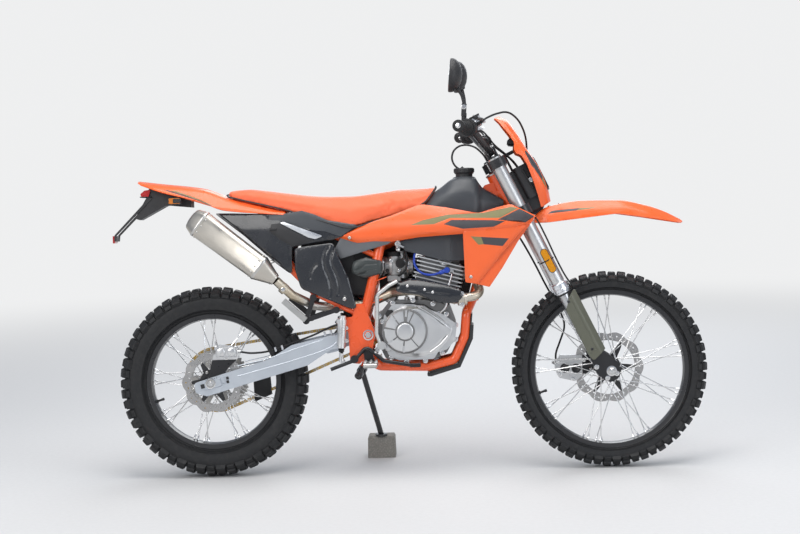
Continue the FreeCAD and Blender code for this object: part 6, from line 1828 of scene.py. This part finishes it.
def make_air_boot():
    """Oval cover of the air boot with its tube, and dark walls round the engine: black plates of
    painted shade, standing for the shaded parts inside the bike.
    """
    bm = bmesh.new()
    oval = [(505, 716, 22), (518, 756, 20), (562, 768, 26), (616, 754, 8), (616, 710, 8),
            (556, 694, 26)]
    bulge_at = Vector((552.0, 732.0))

    def bulge(x, z):
        """Distance of the cover's face from the middle plane."""
        gap = ((x - bulge_at.x) / 50.0) ** 2 + ((z - bulge_at.y) / 40.0) ** 2
        return 122.0 + 8.0 * max(0.0, 1.0 - gap)

    side_sheet(bm, oval, bulge, 10.0, [(1, rounded(oval))], roll=7.0, spacing=7.0,
               grooves=[([(520, 722), (560, 742), (598, 744)], 3.0, 1.5),
                        ([(530, 708), (570, 722), (598, 724)], 3.0, 1.5)])
    line = smooth_line([vec(552, -66, INTAKE_Z), vec(580, -60, INTAKE_Z),
                        vec(606, -40, INTAKE_Z)], 8)
    tube(bm, line, [30.0 + 2.5 * math.cos(k * math.pi / 2.0) for k in range(len(line))], 28, 0)
    rod(bm, vec(552, -60, INTAKE_Z), vec(552, -106, INTAKE_Z), 30.0, 28, 0)
    # Black plates behind the carburettor and ahead of the barrel: painted shade where the inside
    # of the bike lies in shadow
    shade_plate_behind_carb = [(598, 846, 8), (734, 852, 8), (726, 700, 20), (742, 632, 10), (600, 640, 10)]
    plate(bm, rounded(shade_plate_behind_carb), 30.0, 34.0)
    shield = [(846, 850, 8), (958, 846, 8), (944, 720, 20), (914, 604, 20), (868, 604, 10)]
    plate(bm, rounded(shield), 44.0, 48.0)
    # Black plate between the side panel and the frame on each side: painted shade in the gap
    wall = [(440, 800, 8), (600, 804, 8), (590, 700, 20), (556, 632, 10), (470, 640, 20)]
    for side in (-1, 1):
        plate(bm, rounded(wall), side * 58.0 - 1.5, side * 58.0 + 1.5)
    new_piece("air_boot_cover", bm, [black_plastic, boot_rubber], "chassis")


def make_heat_shield():
    """Heat shield's face with its bolts."""
    bm = bmesh.new()
    outline = [(664, 646, 10), (670, 676, 14), (716, 690, 30), (800, 676, 60), (884, 652, 14),
               (900, 626, 12), (880, 600, 12), (812, 602, 30), (744, 632, 40), (690, 640, 20)]

    def shield(x, z):
        """Distance of the shield's face from the middle plane."""
        centre_z = 646.0 - 0.10 * (x - 660.0)
        return 152.0 + 0.02 * (x - 660.0) - ((z - centre_z) / 40.0) ** 2 * 14.0

    side_sheet(bm, outline, shield, 3.0, roll=5.0, spacing=8.0,
               grooves=[([(690, 652), (760, 644), (850, 630)], 5.0, 2.0)])
    for x, z in ((765, 650), (793, 640), (705, 664)):
        y = -shield(x, z)
        ball_head(bm, vec(x, y + 0.5, z), RIGHT, 5.0, 1)
        rod(bm, vec(x, y + 2, z), vec(x, y + 26, z - 8), 4.0, 10, 1)
    new_piece("heat_shield_skin", bm, [black_gloss, bright_steel], "chassis",
              ("heat_shield",))


def make_exhaust_detail():
    """Clamp shell over the bend, weld rings and the clamp near the silencer."""
    bm = bmesh.new()
    turned(bm, [(-16, 18), (-15, 22), (-5, 22.5), (-4, 20), (4, 20), (5, 22.5), (15, 22),
                (16, 18)], vec(896, -128, 612), vec(1, 0.12, -0.02), 36, 0)
    for z in (594, 632):
        hex_head(bm, vec(894, -146, z), RIGHT, 6.0, 7.0, 1)
    for at, axis in ((vec(868, -134, 612), vec(-0.99, -0.1, 0.05)),
                     (vec(720, -130, 648), vec(-0.8, 0.4, 0.2)),
                     (vec(440, -60, 592), -FORWARD)):
        first, second = frame_of(axis)
        hoop(bm, at, first * 16.2, second * 16.2, 1.5, 32)
    along = (vec(247, -156, 696) - vec(300, -132, 642)).normalized()
    clamp_at = vec(272, -145, 667)
    turned(bm, [(-9, 17.5), (-8, 19.5), (8, 19.5), (9, 17.5)], clamp_at, along, 36)
    box(bm, clamp_at + vec(0, -22, -2), (16, 12, 14), None, 0, 1.5)
    hex_head(bm, clamp_at + vec(0, -27, -2), RIGHT, 5.0, 5.0, 1)
    new_piece("exhaust_detail", bm, [pipe_steel, bright_steel], "chassis")


make_engine_covers()
make_cylinder_detail()
make_carburettor()
make_air_boot()
make_heat_shield()
make_exhaust_detail()


# Chain, swingarm and frame details

CHAIN_Y = 71.0
CHAIN_PITCH = 15.875
REAR_TEETH, FRONT_TEETH = 45, 13
REAR_SPROCKET = vec(0, CHAIN_Y, REAR_RADIUS)
FRONT_SPROCKET = vec(606, CHAIN_Y, 505)


def pitch_radius(teeth):
    """Radius of a sprocket's pins."""
    return CHAIN_PITCH / (2 * math.sin(math.pi / teeth))


def chain_line():
    """Evenly spaced pin places round both sprockets."""
    rear, front = REAR_SPROCKET, FRONT_SPROCKET
    radius_r, radius_f = pitch_radius(REAR_TEETH), pitch_radius(FRONT_TEETH)
    run = front - rear
    slope = math.atan2(run.z, run.x)
    spread = math.acos((radius_r - radius_f) / run.length)
    path = []
    for k in range(61):
        angle = slope + spread + (2 * math.pi - 2 * spread) * k / 60
        path.append(rear + vec(math.cos(angle), 0, math.sin(angle)) * radius_r)
    for k in range(31):
        angle = slope - spread + 2 * spread * k / 30
        path.append(front + vec(math.cos(angle), 0, math.sin(angle)) * radius_f)
    lengths = [(path[(k + 1) % len(path)] - path[k]).length for k in range(len(path))]
    total = sum(lengths)
    links = 2 * round(total / CHAIN_PITCH / 2)
    pins = []
    k, used = 0, 0.0
    for link in range(links):
        target = total * link / links
        while used + lengths[k] < target:
            used += lengths[k]
            k += 1
        share = (target - used) / lengths[k]
        pins.append(path[k].lerp(path[(k + 1) % len(path)], share))
    return pins


def make_chain():
    """Links of the chain, gold outside and steel inside, with their pins and rollers."""
    bm = bmesh.new()
    pins = chain_line()
    for index, pin in enumerate(pins):
        after = pins[(index + 1) % len(pins)]
        along = (after - pin).normalized()
        aside = vec(-along.z, 0, along.x)
        outer = index % 2 == 0
        offset = 6.3 if outer else 4.4
        for side in (-1, 1):
            rings = []
            for y in (offset - 0.8, offset + 0.8):
                ring = []
                for k in range(14):
                    angle = 2 * math.pi * k / 14
                    ca, sa = math.cos(angle), math.sin(angle)
                    centre = after if ca > 0 else pin
                    waist = 6.6 if abs(ca) > 0.3 else 5.2
                    ring.append(bm.verts.new(centre + along * ca * 6.2 + aside * sa * waist
                                             + vec(0, side * y, 0)))
                rings.append(ring)
            loft(bm, rings, 0 if outer else 1)
        rod(bm, pin + vec(0, -7.4, 0), pin + vec(0, 7.4, 0), 2.4, 8, 1)
        rod(bm, pin + vec(0, -3.6, 0), pin + vec(0, 3.6, 0), 4.6, 10, 1)
    new_piece("chain_links", bm, [gold_steel, steel], "chassis", ("chain",),
              sharp=45.0)


def make_sprocket():
    """Rear sprocket with its teeth, windows and bolts."""
    bm = bmesh.new()
    radius = pitch_radius(REAR_TEETH)
    outline = petals(REAR_TEETH, 6, lambda tooth: radius - 4.6 + 8.0 * tooth ** 1.3)
    holes = []
    for k in range(6):
        middle = 2 * math.pi * (k + 0.5) / 6
        span = math.pi / 6 * 0.66
        holes.append([direction(middle - span + j * span / 4) * (radius - 24.0)
                      for j in range(9)]
                     + [direction(middle + span * 0.6 - j * span * 0.3) * 52.0
                        for j in range(5)])
    holes.append(circle(HUB_BORE, 40))
    plate(bm, outline, CHAIN_Y - 3.0, CHAIN_Y + 3.0, holes,
          place=lambda a, b, c: vec(a, b, REAR_RADIUS + c))
    for k in range(6):
        at = wheel_point(REAR_AXLE, 42.0, 2 * math.pi * k / 6, CHAIN_Y + 3.0)
        hex_head(bm, at, LEFT, 6.0, 6.0, 1)
    new_piece("rear_sprocket_teeth", bm, [steel, bright_steel], "rear_wheel",
              ("rear_sprocket",), bevel=0.4)


SWINGARM_FACE = 112.0


def make_swingarm_detail():
    """Edge ribs, axle adjusters and hose clips of the swingarm."""
    bm = bmesh.new()
    for side in (-1, 1):
        face = side * SWINGARM_FACE
        # Recessed panel's rim, as two raised lines along the arm
        upper = smooth_line([vec(96, face, 398), vec(200, face, 420), vec(300, face, 452),
                             vec(400, face, 482)], 6)
        lower = smooth_line([vec(96, face, 362), vec(200, face, 388), vec(300, face, 414),
                             vec(420, face, 452), vec(470, face, 492)], 6)
        tube(bm, upper, 1.8, 8, 0)
        tube(bm, lower, 1.8, 8, 0)
        # Axle adjuster: window, block, bolt and the big nut with its washer
        turn = Matrix.Rotation(-0.22, 3, "Y")
        box(bm, vec(6, side * 113, 336), (64, 5, 30), turn, 0, 1.5)
        box(bm, vec(-28, side * 115.6, 329), (14, 2, 15), turn, 3, 0.6)
        box(bm, vec(44, side * 113.5, 350), (12, 5, 26), turn, 0, 1.5)
        box(bm, vec(60, side * 113.5, 356), (9, 4, 10), turn, 3, 1.0)
        box(bm, vec(61, side * 113.5, 343), (9, 4, 10), turn, 3, 1.0)
        hex_head(bm, vec(0, side * 115, REAR_RADIUS), LEFT * side, 13.0, 11.0, 1)
        rod(bm, vec(0, side * 118, REAR_RADIUS), vec(0, side * 129, REAR_RADIUS), 7.5, 18, 1, 1.0)
        for k in range(5):
            box(bm, vec(-10 + 8 * k, side * 116, 352 + 1.6 * k), (1.2, 1.0, 5), turn, 3, 0.3)
        rod(bm, vec(-52, side * 98, 324), vec(-30, side * 98, 329), 4.0, 12, 1, 0.6)
        hex_head(bm, vec(-52, side * 98, 324), vec(-1, 0, -0.22), 6.0, 6.0, 1)
    # Hose clips on the right
    for x, z in ((232, 452), (256, 458), (408, 501), (430, 506)):
        box(bm, vec(x, -99, z), (7, 12, 18), Matrix.Rotation(-0.25, 3, "Y"), 2, 1.5)
    new_piece("swingarm_detail", bm, [silver_paint, bright_steel, silver_trim, black_plastic],
              "chassis")


def make_brake_detail():
    """Rear caliper's castings, pads' pin and the master cylinder with its rod."""
    bm = bmesh.new()
    box(bm, vec(56, -86, 446), (78, 16, 40), None, 0, 5.0)
    for x in (36, 74):
        turned(bm, [(0, 15), (5, 15), (7, 12), (7, 1)], vec(x, -92, 447), RIGHT, 30, 0)
    for x, z in ((22, 462), (92, 460), (56, 428)):
        hex_head(bm, vec(x, -92, z), RIGHT, 5.5, 6.0, 1)
    rod(bm, vec(18, -80, 470), vec(18, -80, 484), 3.6, 12, 1, 0.6)
    rod(bm, vec(96, -92, 448), vec(110, -94, 451), 6.0, 12, 1, 1.0)
    # Master cylinder
    rod(bm, vec(467, -133, 455), vec(467, -133, 545), 13.0, 28, 0, 3.0)
    turned(bm, [(0, 15), (3, 16), (14, 16), (16, 14), (16, 1)], vec(467, -133, 540),
           UP, 6, 0)
    rod(bm, vec(467, -133, 456), vec(470, -131, 410), 4.0, 12, 1)
    hex_head(bm, vec(468, -132, 430), vec(0.05, 0, -1), 6.5, 9.0, 1, False)
    box(bm, vec(471, -130, 402), (16, 14, 18), None, 1, 2.0)
    for z in (478, 522):
        box(bm, vec(480, -124, z), (24, 12, 14), None, 0, 2.5)
        hex_head(bm, vec(486, -130, z), RIGHT, 5.0, 5.0, 1)
    boot = [(0, 10.0), (3, 12.0), (6, 9.5), (9, 11.5), (12, 9.0), (15, 10.5), (18, 7.0), (22, 5.5)]
    turned(bm, boot, vec(467, -133, 456), -UP, 24, 2)
    new_piece("rear_brake_detail", bm, [cover_metal, bright_steel, rubber],
              "chassis")


def make_frame_detail():
    """Bolts, weld beads, hangers and steering head rings of the frame."""
    bm = bmesh.new()
    for side in (-1, 1):
        # Swingarm bolt, plate bolts and bracket bolts
        hex_head(bm, vec(562, side * 118, 495), LEFT * side, 13.0, 11.0, 1)
        for x, z in ((590, 440), (545, 432), (600, 560)):
            hex_head(bm, vec(x, side * 112, z), LEFT * side, 7.0, 6.0, 1)
        ball_head(bm, vec(372, side * 113, 631), LEFT * side, 8.0, 1)
        ball_head(bm, vec(452, side * 113, 586), LEFT * side, 8.0, 1)
        # Weld beads where the uprights meet the plates
        for x, z, radius in ((596, 612, 19.0), (612, 690, 18.5)):
            hoop(bm, vec(x, side * 98, z), vec(radius, 0, radius * 0.35),
                 vec(0, radius * 0.98, 0), 1.8, 28)
    # Engine hangers ahead of and below the case
    for x, z in ((905, 470), (800, 392), (690, 388)):
        for side in (-1, 1):
            hex_head(bm, vec(x, side * 62, z), LEFT * side, 8.0, 7.0, 1)
        rod(bm, vec(x, -62, z), vec(x, 62, z), 5.0, 12, 1)
    # Steering head's rings
    for up in (662.92, 803.08):
        turned(bm, [(-3, 29.5), (-2, 31), (2, 31), (3, 29.5)], on_fork(up, 0, 0), STEER_UP, 40, 2)
    new_piece("frame_detail", bm, [orange_paint, bright_steel, steel], "chassis")


def make_guard_layer():
    """Skid plate's outer layer under the cradle, and the teeth of the rider's footpegs."""
    bm = bmesh.new()
    line = [(764, 353), (776, 353), (873, 379), (918, 474), (922, 520)]
    outer = [(766, 342), (779, 341), (882, 371), (929, 470), (933, 519)]
    plate(bm, rounded([(x, z, 3) for x, z in line + outer[::-1]]), -88.0, 88.0)
    for side in (-1, 1):
        for y in range(126, 206, 11):
            for x in (551, 570, 589):
                turned(bm, [(0, 5.0), (3, 4.6), (8, 2.0), (8.4, 0.5)], vec(x, side * y, 401),
                       UP, 6, 1)
        for y in (120, 203):
            rod(bm, vec(546, side * y, 393), vec(594, side * y, 393), 7.0, 10, 1, 1.0)
    new_piece("skid_guard_layer", bm, [black_plastic, steel], "chassis")


def make_shock_detail():
    """Coil spring and its collars."""
    bm = bmesh.new()
    top, low = vec(576, 0, 662), vec(470, 0, 470)
    axis = (low - top).normalized()
    length = (low - top).length
    first, second = frame_of(axis)
    coil = []
    turns = 7
    for k in range(turns * 20 + 1):
        share = k / (turns * 20.0)
        angle = 2 * math.pi * turns * share
        at = top + axis * (length * (0.20 + 0.58 * share))
        coil.append(at + (first * math.cos(angle) + second * math.sin(angle)) * 29.0)
    tube(bm, coil, 5.6, 10, 0)
    for share in (0.18, 0.80):
        turned(bm, [(-4, 24), (-3, 35), (3, 35), (4, 24)], top + axis * length * share, axis,
               36, 1)
    new_piece("shock_spring", bm, [orange_paint, silver_trim], "chassis")


make_chain()
make_sprocket()
make_swingarm_detail()
make_brake_detail()
make_frame_detail()
make_guard_layer()
make_shock_detail()


# Fork, front brake, handlebar and mirrors

FORK_TURN = Matrix.Rotation(-RAKE, 3, "Y")
# Bar route's outer ends: up, forward, left
BAR_INNER = (972.0, -2.0, 196.0)
BAR_OUTER = (992.0, -41.0, 400.0)
# Padded roll's middle: up, forward
BAR_ROLL = (916, 23)


def along_bar(share, side):
    """Point on the outer run of the bar, 0 at its bend and 1 at its end."""
    up, forward, left = [a + share * (b - a) for a, b in zip(BAR_INNER, BAR_OUTER)]
    return on_fork(up, forward, side * left)


def fork_plate(bm, outline, face, reach, mat):
    """Flat plate drawn in the fork's own plane, as (forward, up), on a face of the fork."""
    plate(bm, outline, min(face, face + reach), max(face, face + reach), (), mat,
          place=lambda a, b, c: on_fork(c, a, b))


def capsule(forward, low, high, radius):
    """Outline of a slot with round ends."""
    line = []
    count = 10
    for centre, start in ((low, math.pi), (high, 0.0)):
        for k in range(count + 1):
            angle = start + math.pi * k / count
            line.append(Vector((forward + radius * math.cos(angle),
                                centre + radius * math.sin(angle))))
    return line


def make_fork():
    """Seals, reflectors, bolts and caps of the fork, and the speedometer cable."""
    bm = bmesh.new()
    for side in (-1, 1):
        y = side * FORK_Y
        # Rings at the upper tube's end, with the dust seal below them
        turned(bm, [(-9, 21), (-8, 25), (-2, 26), (-1, 28.8), (0, 29.6), (9, 29.6), (10, 28.8),
                    (12.5, 28.8), (13.5, 29.6), (27, 29.6), (29, 28.8), (33, 25.2)],
               on_fork(326, FORK_FORWARD, y), STEER_UP, 44, 0)
        turned(bm, [(-2, 20.4), (-1, 24.5), (4, 25.0), (7, 24.0)], on_fork(313, FORK_FORWARD, y),
               STEER_UP, 36, 3)
        # Reflector with its rim, and the strap round the tube
        for radius, out, thickness, mat in ((13.5, 22.0, 8, 3), (11.5, 29.6, 2.4, 2)):
            fork_plate(bm, capsule(FORK_FORWARD + 4, 412, 476, radius),
                       side * (FORK_Y + out), side * thickness, mat)
        strap = []
        for k in range(40):
            angle = 2 * math.pi * k / 40
            reach = 26.2 + 7.0 * max(0.0, side * math.sin(angle)) ** 6
            strap.append(on_fork(446, FORK_FORWARD + reach * math.cos(angle),
                                 y + reach * math.sin(angle)))
        tube(bm, strap, 2.0, 6, 3, closed=True)
        # Axle nut, pinch bolts and the foot's rib
        axis = LEFT * side
        hex_head(bm, FRONT_AXLE + vec(0, side * 124.0, 0), axis, 12.5, 9.0, 1)
        rod(bm, FRONT_AXLE + vec(0, side * 128, 0), FRONT_AXLE + vec(0, side * 136, 0), 7.0, 18,
            1, 1.0)
        for up, forward in ((36, 9), (-16, 26), (-16, 62)):
            hex_head(bm, on_fork(up, forward, side * 123.5), axis, 6.0, 6.0, 1)
        # Clamp bolts
        for up in (638, 826, 836):
            hex_head(bm, on_fork(up, -2, side * (FORK_Y + 6)), -STEER_FORWARD, 6.0, 7.0, 1)
        turned(bm, [(0, 24), (4, 24), (6, 21), (6, 12), (8, 11), (8, 1)],
               on_fork(848, FORK_FORWARD, y), STEER_UP, 36, 3)
        hex_head(bm, on_fork(855, FORK_FORWARD, y), STEER_UP, 6.0, 5.0, 1, False)
    hex_head(bm, on_fork(846, 0, 0), STEER_UP, 13.0, 8.0, 1)
    # Speedometer cable in front of the right tube
    cable = smooth_line([on_fork(630, 52, -76), on_fork(586, 60, -92), on_fork(520, 60, -104),
                         on_fork(440, 57, -108), on_fork(370, 58, -108), on_fork(322, 66, -104)],
                        8)
    tube(bm, cable, 3.2, 8, 3)
    new_piece("fork_detail", bm, [silver_trim, bright_steel, amber_lens, rubber],
              "steering")


def make_guard_ribs():
    """Ribs and screws of the fork guards."""
    bm = bmesh.new()
    for side in (-1, 1):
        for (low, back), (high, ahead) in (((110, 7), (262, 7)), ((92, 40), (300, 40)),
                                           ((92, 12), (92, 38))):
            rod(bm, on_fork(low, back, side * 127.6), on_fork(high, ahead, side * 127.6),
                2.2, 10, 0, 1.0)
        for up, forward in ((100, 24), (284, 26)):
            ball_head(bm, on_fork(up, forward, side * 128.2), LEFT * side, 5.0, 1)
    new_piece("fork_guard_ribs", bm, [guard_plastic, black_paint], "steering")


def make_front_brake():
    """Pistons, bolts, cooling ribs, slide pin and hose fitting of the front caliper."""
    bm = bmesh.new()
    for x, z in ((1256, 348), (1296, 346)):
        for y, axis in ((44.5, -1), (91.5, 1)):
            turned(bm, [(-2, 17), (3, 17), (5, 14.5), (5, 9), (3.5, 7), (3.5, 1)],
                   vec(x, y, z), vec(0, axis, 0), 30, 0 if axis > 0 else 1)
    for x, z in ((1232, 372), (1324, 376), (1284, 308), (1236, 326)):
        hex_head(bm, vec(x, 91, z), LEFT, 5.5, 6.0, 2)
        hex_head(bm, vec(x, 45, z), RIGHT, 5.5, 5.0, 2)
    for x in (1244, 1268, 1292):
        box(bm, vec(x, 68, 392), (9, 40, 6), None, 0, 1.5)
    rod(bm, vec(1224, 52, 352), vec(1352, 52, 340), 6.0, 14, 2, 1.0)
    boot = [(0, 8), (3, 10.5), (6, 8), (9, 10.5), (12, 8), (15, 10), (18, 7)]
    turned(bm, boot, vec(1326, 52, 342), vec(1, 0, -0.09), 20, 1)
    turned(bm, [(0, 8), (4, 8), (5, 6.5), (11, 6.5), (12, 5)], vec(1222, 70, 366),
           vec(-1, 0, 0.3), 6, 2)
    new_piece("front_caliper_detail", bm, [cover_metal, black_paint, bright_steel],
              "steering")


def make_handlebar():
    """Grips, switch housings, perches, riser bolts and lever ends of the bar."""
    bm = bmesh.new()
    # Grip sleeves: fine ribs between two flanges, with plugs in the bar's ends
    for side in (-1, 1):
        start, end = along_bar(0.42, side), along_bar(1.03, side)
        axis = (end - start).normalized()
        length = (end - start).length
        rows = [(0, 17.0), (0.2, 25.0), (4, 25.0), (6, 19.0)]
        k = 8.0
        while k < length - 10.0:
            rows += [(k, 17.4), (k + 0.6, 18.7), (k + 2.6, 18.7), (k + 3.2, 17.4)]
            k += 4.6
        rows += [(length - 8, 18.6), (length - 7, 20.5), (length - 1, 20.5), (length, 19.0),
                 (length + 0.4, 8.0), (length - 1.0, 7.5), (length - 1.0, 1.0)]
        turned(bm, rows, start, axis, 36, 0)
        turned(bm, [(0, 9), (2.4, 9), (3.0, 7.5), (3.0, 1)], end, axis, 24, 2)
        # Switch housing: split line, screws and buttons
        for share in (0.225, 0.385):
            seam = along_bar(share, side)
            first, second = frame_of(axis)
            hoop(bm, seam, first * 31.2, second * 31.2, 0.9, 40)
        for turn_deg, share, mat in ((200, 0.26, 3), (170, 0.30, 2), (150, 0.35, 3)):
            angle = math.radians(turn_deg)
            out = (STEER_FORWARD * math.cos(angle) + STEER_UP * math.sin(angle)).normalized()
            at = along_bar(share, side) + out * 29.0
            turned(bm, [(0, 6), (5, 6), (6, 5), (6, 1)], at, out, 20, mat)
        # Brake or clutch perch with its reservoir, pivot bolt and adjuster
        perch = along_bar(0.10, side)
        box(bm, perch + STEER_FORWARD * 27 + STEER_UP * 4, (34, 40, 22), FORK_TURN, 1, 3.0)
        box(bm, perch + STEER_FORWARD * 30 + STEER_UP * 21, (36, 46, 16), FORK_TURN, 1, 3.0)
        box(bm, perch + STEER_FORWARD * 30 + STEER_UP * 31, (38, 48, 5), FORK_TURN, 3, 1.5)
        for left in (-16, 16):
            ball_head(bm, perch + STEER_FORWARD * 30 + STEER_UP * 33.5 + vec(0, left, 0),
                      STEER_UP, 4.0, 2, 12)
        hex_head(bm, along_bar(0.19, side) + STEER_FORWARD * 26 + STEER_UP * 8, STEER_UP, 7.0,
                 6.0, 2)
        rod(bm, along_bar(0.06, side) + STEER_FORWARD * 44 + STEER_UP * 4,
            along_bar(-0.04, side) + STEER_FORWARD * 50 + STEER_UP * 4, 5.5, 14, 2, 1.0)
        # Riser bolts over the bar's clamps
        for forward in (10, 38):
            for left in (40, 60):
                hex_head(bm, on_fork(886, forward, side * left), STEER_UP, 5.0, 6.0, 2, False)
    # Lever blades' ball ends
    for side in (-1, 1):
        at = along_bar(0.98, side) + STEER_FORWARD * 62
        bmesh.ops.create_uvsphere(bm, u_segments=16, v_segments=10, radius=8.5,
                                  matrix=Matrix.Translation(at))
    new_piece("handlebar_detail", bm, [rubber, silver_trim, bright_steel, black_plastic],
              "steering")


def make_bar_roll():
    """Padded roll on the bar's brace."""
    bm = bmesh.new()
    low, high = -104.0, 104.0
    rows = []
    for k in range(33):
        share = k / 32.0
        swell = min(1.0, math.sin(math.pi * share) * 4.0) ** 0.5 if 0 < share < 1 else 0.0
        crease = 0.9 * math.exp(-((share - 0.5) / 0.012) ** 2)
        rows.append((low + (high - low) * share, 11.0 + 12.0 * swell - crease))
    turned(bm, [(low + 1, 7.5)] + rows + [(high - 1, 7.5)], on_fork(*BAR_ROLL, 0),
           LEFT, 40, 0)
    for left in (-98, 98):
        hoop(bm, on_fork(*BAR_ROLL, left), STEER_FORWARD * 19.0, STEER_UP * 19.0, 1.2, 36)
    new_piece("bar_pad_roll", bm, [black_plastic], "steering")


def make_instrument():
    """Instrument on the upper clamp, with its bracket."""
    bm = bmesh.new()
    at = on_fork(872, 108, 0)
    turn = Matrix.Rotation(-RAKE + 0.55, 3, "Y")
    box(bm, at, (34, 96, 24), turn, 0, 6.0)
    box(bm, at + turn @ Vector((0, 0, 12.2)), (26, 80, 1.2), turn, 1, 0.5)
    box(bm, on_fork(842, 76, 0), (44, 26, 12), FORK_TURN, 0, 2.0)
    for left in (-42, 42):
        ball_head(bm, at + turn @ Vector((0, left, 12.0)), turn @ Vector((0, 0, 1)), 3.0, 2, 12)
    new_piece("instrument_unit", bm, [black_plastic, black_gloss, bright_steel],
              "steering")


def make_mirrors():
    """Mirrors on their stems, one higher than the other, with glass facing the rider."""
    bm = bmesh.new()
    for side, ahead, above in ((-1, -32.0, 153.0), (1, -14.0, 188.0)):
        foot = along_bar(0.30, side) + STEER_UP * 31.5
        head = foot + vec(ahead, 0, above)
        back = -vec(-0.97, 0, 0.1).normalized()
        turned(bm, [(-12.5, 52.0), (-13.0, 56.0), (-11.0, 58.2), (-2.0, 58.2), (7.0, 55.0),
                    (17.0, 46.0), (25.0, 33.0), (30.0, 18.0), (31.5, 1.0)], head, back, 56, 0)
        turned(bm, [(-12.0, 53.5), (-13.4, 52.5), (-14.2, 30.0), (-14.6, 1.0)], head, back,
               56, 1)
        knee = foot + vec(4, 0, 46)
        top = head + vec(14, 0, -30)
        rod(bm, foot + vec(0, 0, -6), foot + vec(1, 0, 12), 9.0, 6, 0, 1.0)
        box(bm, foot + vec(2, 0, 34), (17, 15, 46), Matrix.Rotation(0.08, 3, "Y"), 0, 2.5)
        hex_head(bm, foot + vec(2, side * 7.0, 44), LEFT * side, 6.0, 5.0, 2)
        tube(bm, smooth_line([foot + vec(3, 0, 30), knee, knee.lerp(top, 0.5) + vec(3, 0, 0),
                              head + vec(12, 0, -44), head + vec(14, 0, -26)], 8),
             5.6, 14, 0)
        turned(bm, [(-8, 7), (-6, 9.5), (6, 9.5), (8, 7)], head + vec(13, 0, -36),
               UP, 20, 0)
    new_piece("mirror_pair", bm, [black_plastic, mirror_glass, bright_steel],
              "steering", ("mirrors",))


def make_headlight_rim():
    """Headlight's rim, and its bracket behind the mask: a black block that also fills the shaded
    space there with painted shade.
    """
    bm = bmesh.new()
    low, high = 674.0, 778.0
    for side in (-1, 1):
        rod(bm, on_fork(low + 20, 100, side * 50), on_fork(high - 4, 96, side * 50), 5.0, 12, 0,
            1.0)
        hex_head(bm, on_fork(724, 108, side * 53), LEFT * side, 6.0, 5.0, 1)
    frame_line = [on_fork(up, 150.0, left) for up, left in
                  ((low, -37), (low, 37), (high, 37), (high, -37))]
    tube(bm, smooth_line(frame_line + [frame_line[0]], 6)[:-1], 3.0, 8, 0, closed=True)
    # Black block between the fork and the housing: the bracket, made deep enough to fill the
    # shaded space behind the mask with painted shade
    box(bm, on_fork(698, 77, 0), (66, 84, 166), FORK_TURN, 0, 8.0)
    new_piece("headlight_rim", bm, [black_plastic, bright_steel], "steering")


def make_rear_lamps():
    """Bodies, stalks and rims of the rear lamps."""
    bm = bmesh.new()
    for side in (-1, 1):
        rod(bm, vec(-112, side * 30, 986), vec(-112, side * 66, 986), 7.0, 16, 0)
        for x in (-90.5, -133.5):
            hoop(bm, vec(x, side * 75, 986), vec(0, 13, 0), vec(0, 0, 10), 1.6, 28)
        box(bm, vec(-104, side * 75, 986), (31, 30, 24), None, 0, 6.0)
    rim = [vec(-222 + 19 * a, 43 * b, 1017 + 13 * c) for a, b, c in
           ((-1, -1, -1), (1, -1, -1), (1, 1, -1), (-1, 1, -1))]
    tube(bm, rim, 2.2, 6, 0, closed=True)
    new_piece("rear_lamp_bodies", bm, [black_plastic], "chassis")


make_fork()
make_guard_ribs()
make_front_brake()
make_handlebar()
make_bar_roll()
make_instrument()
make_mirrors()
make_headlight_rim()
make_rear_lamps()
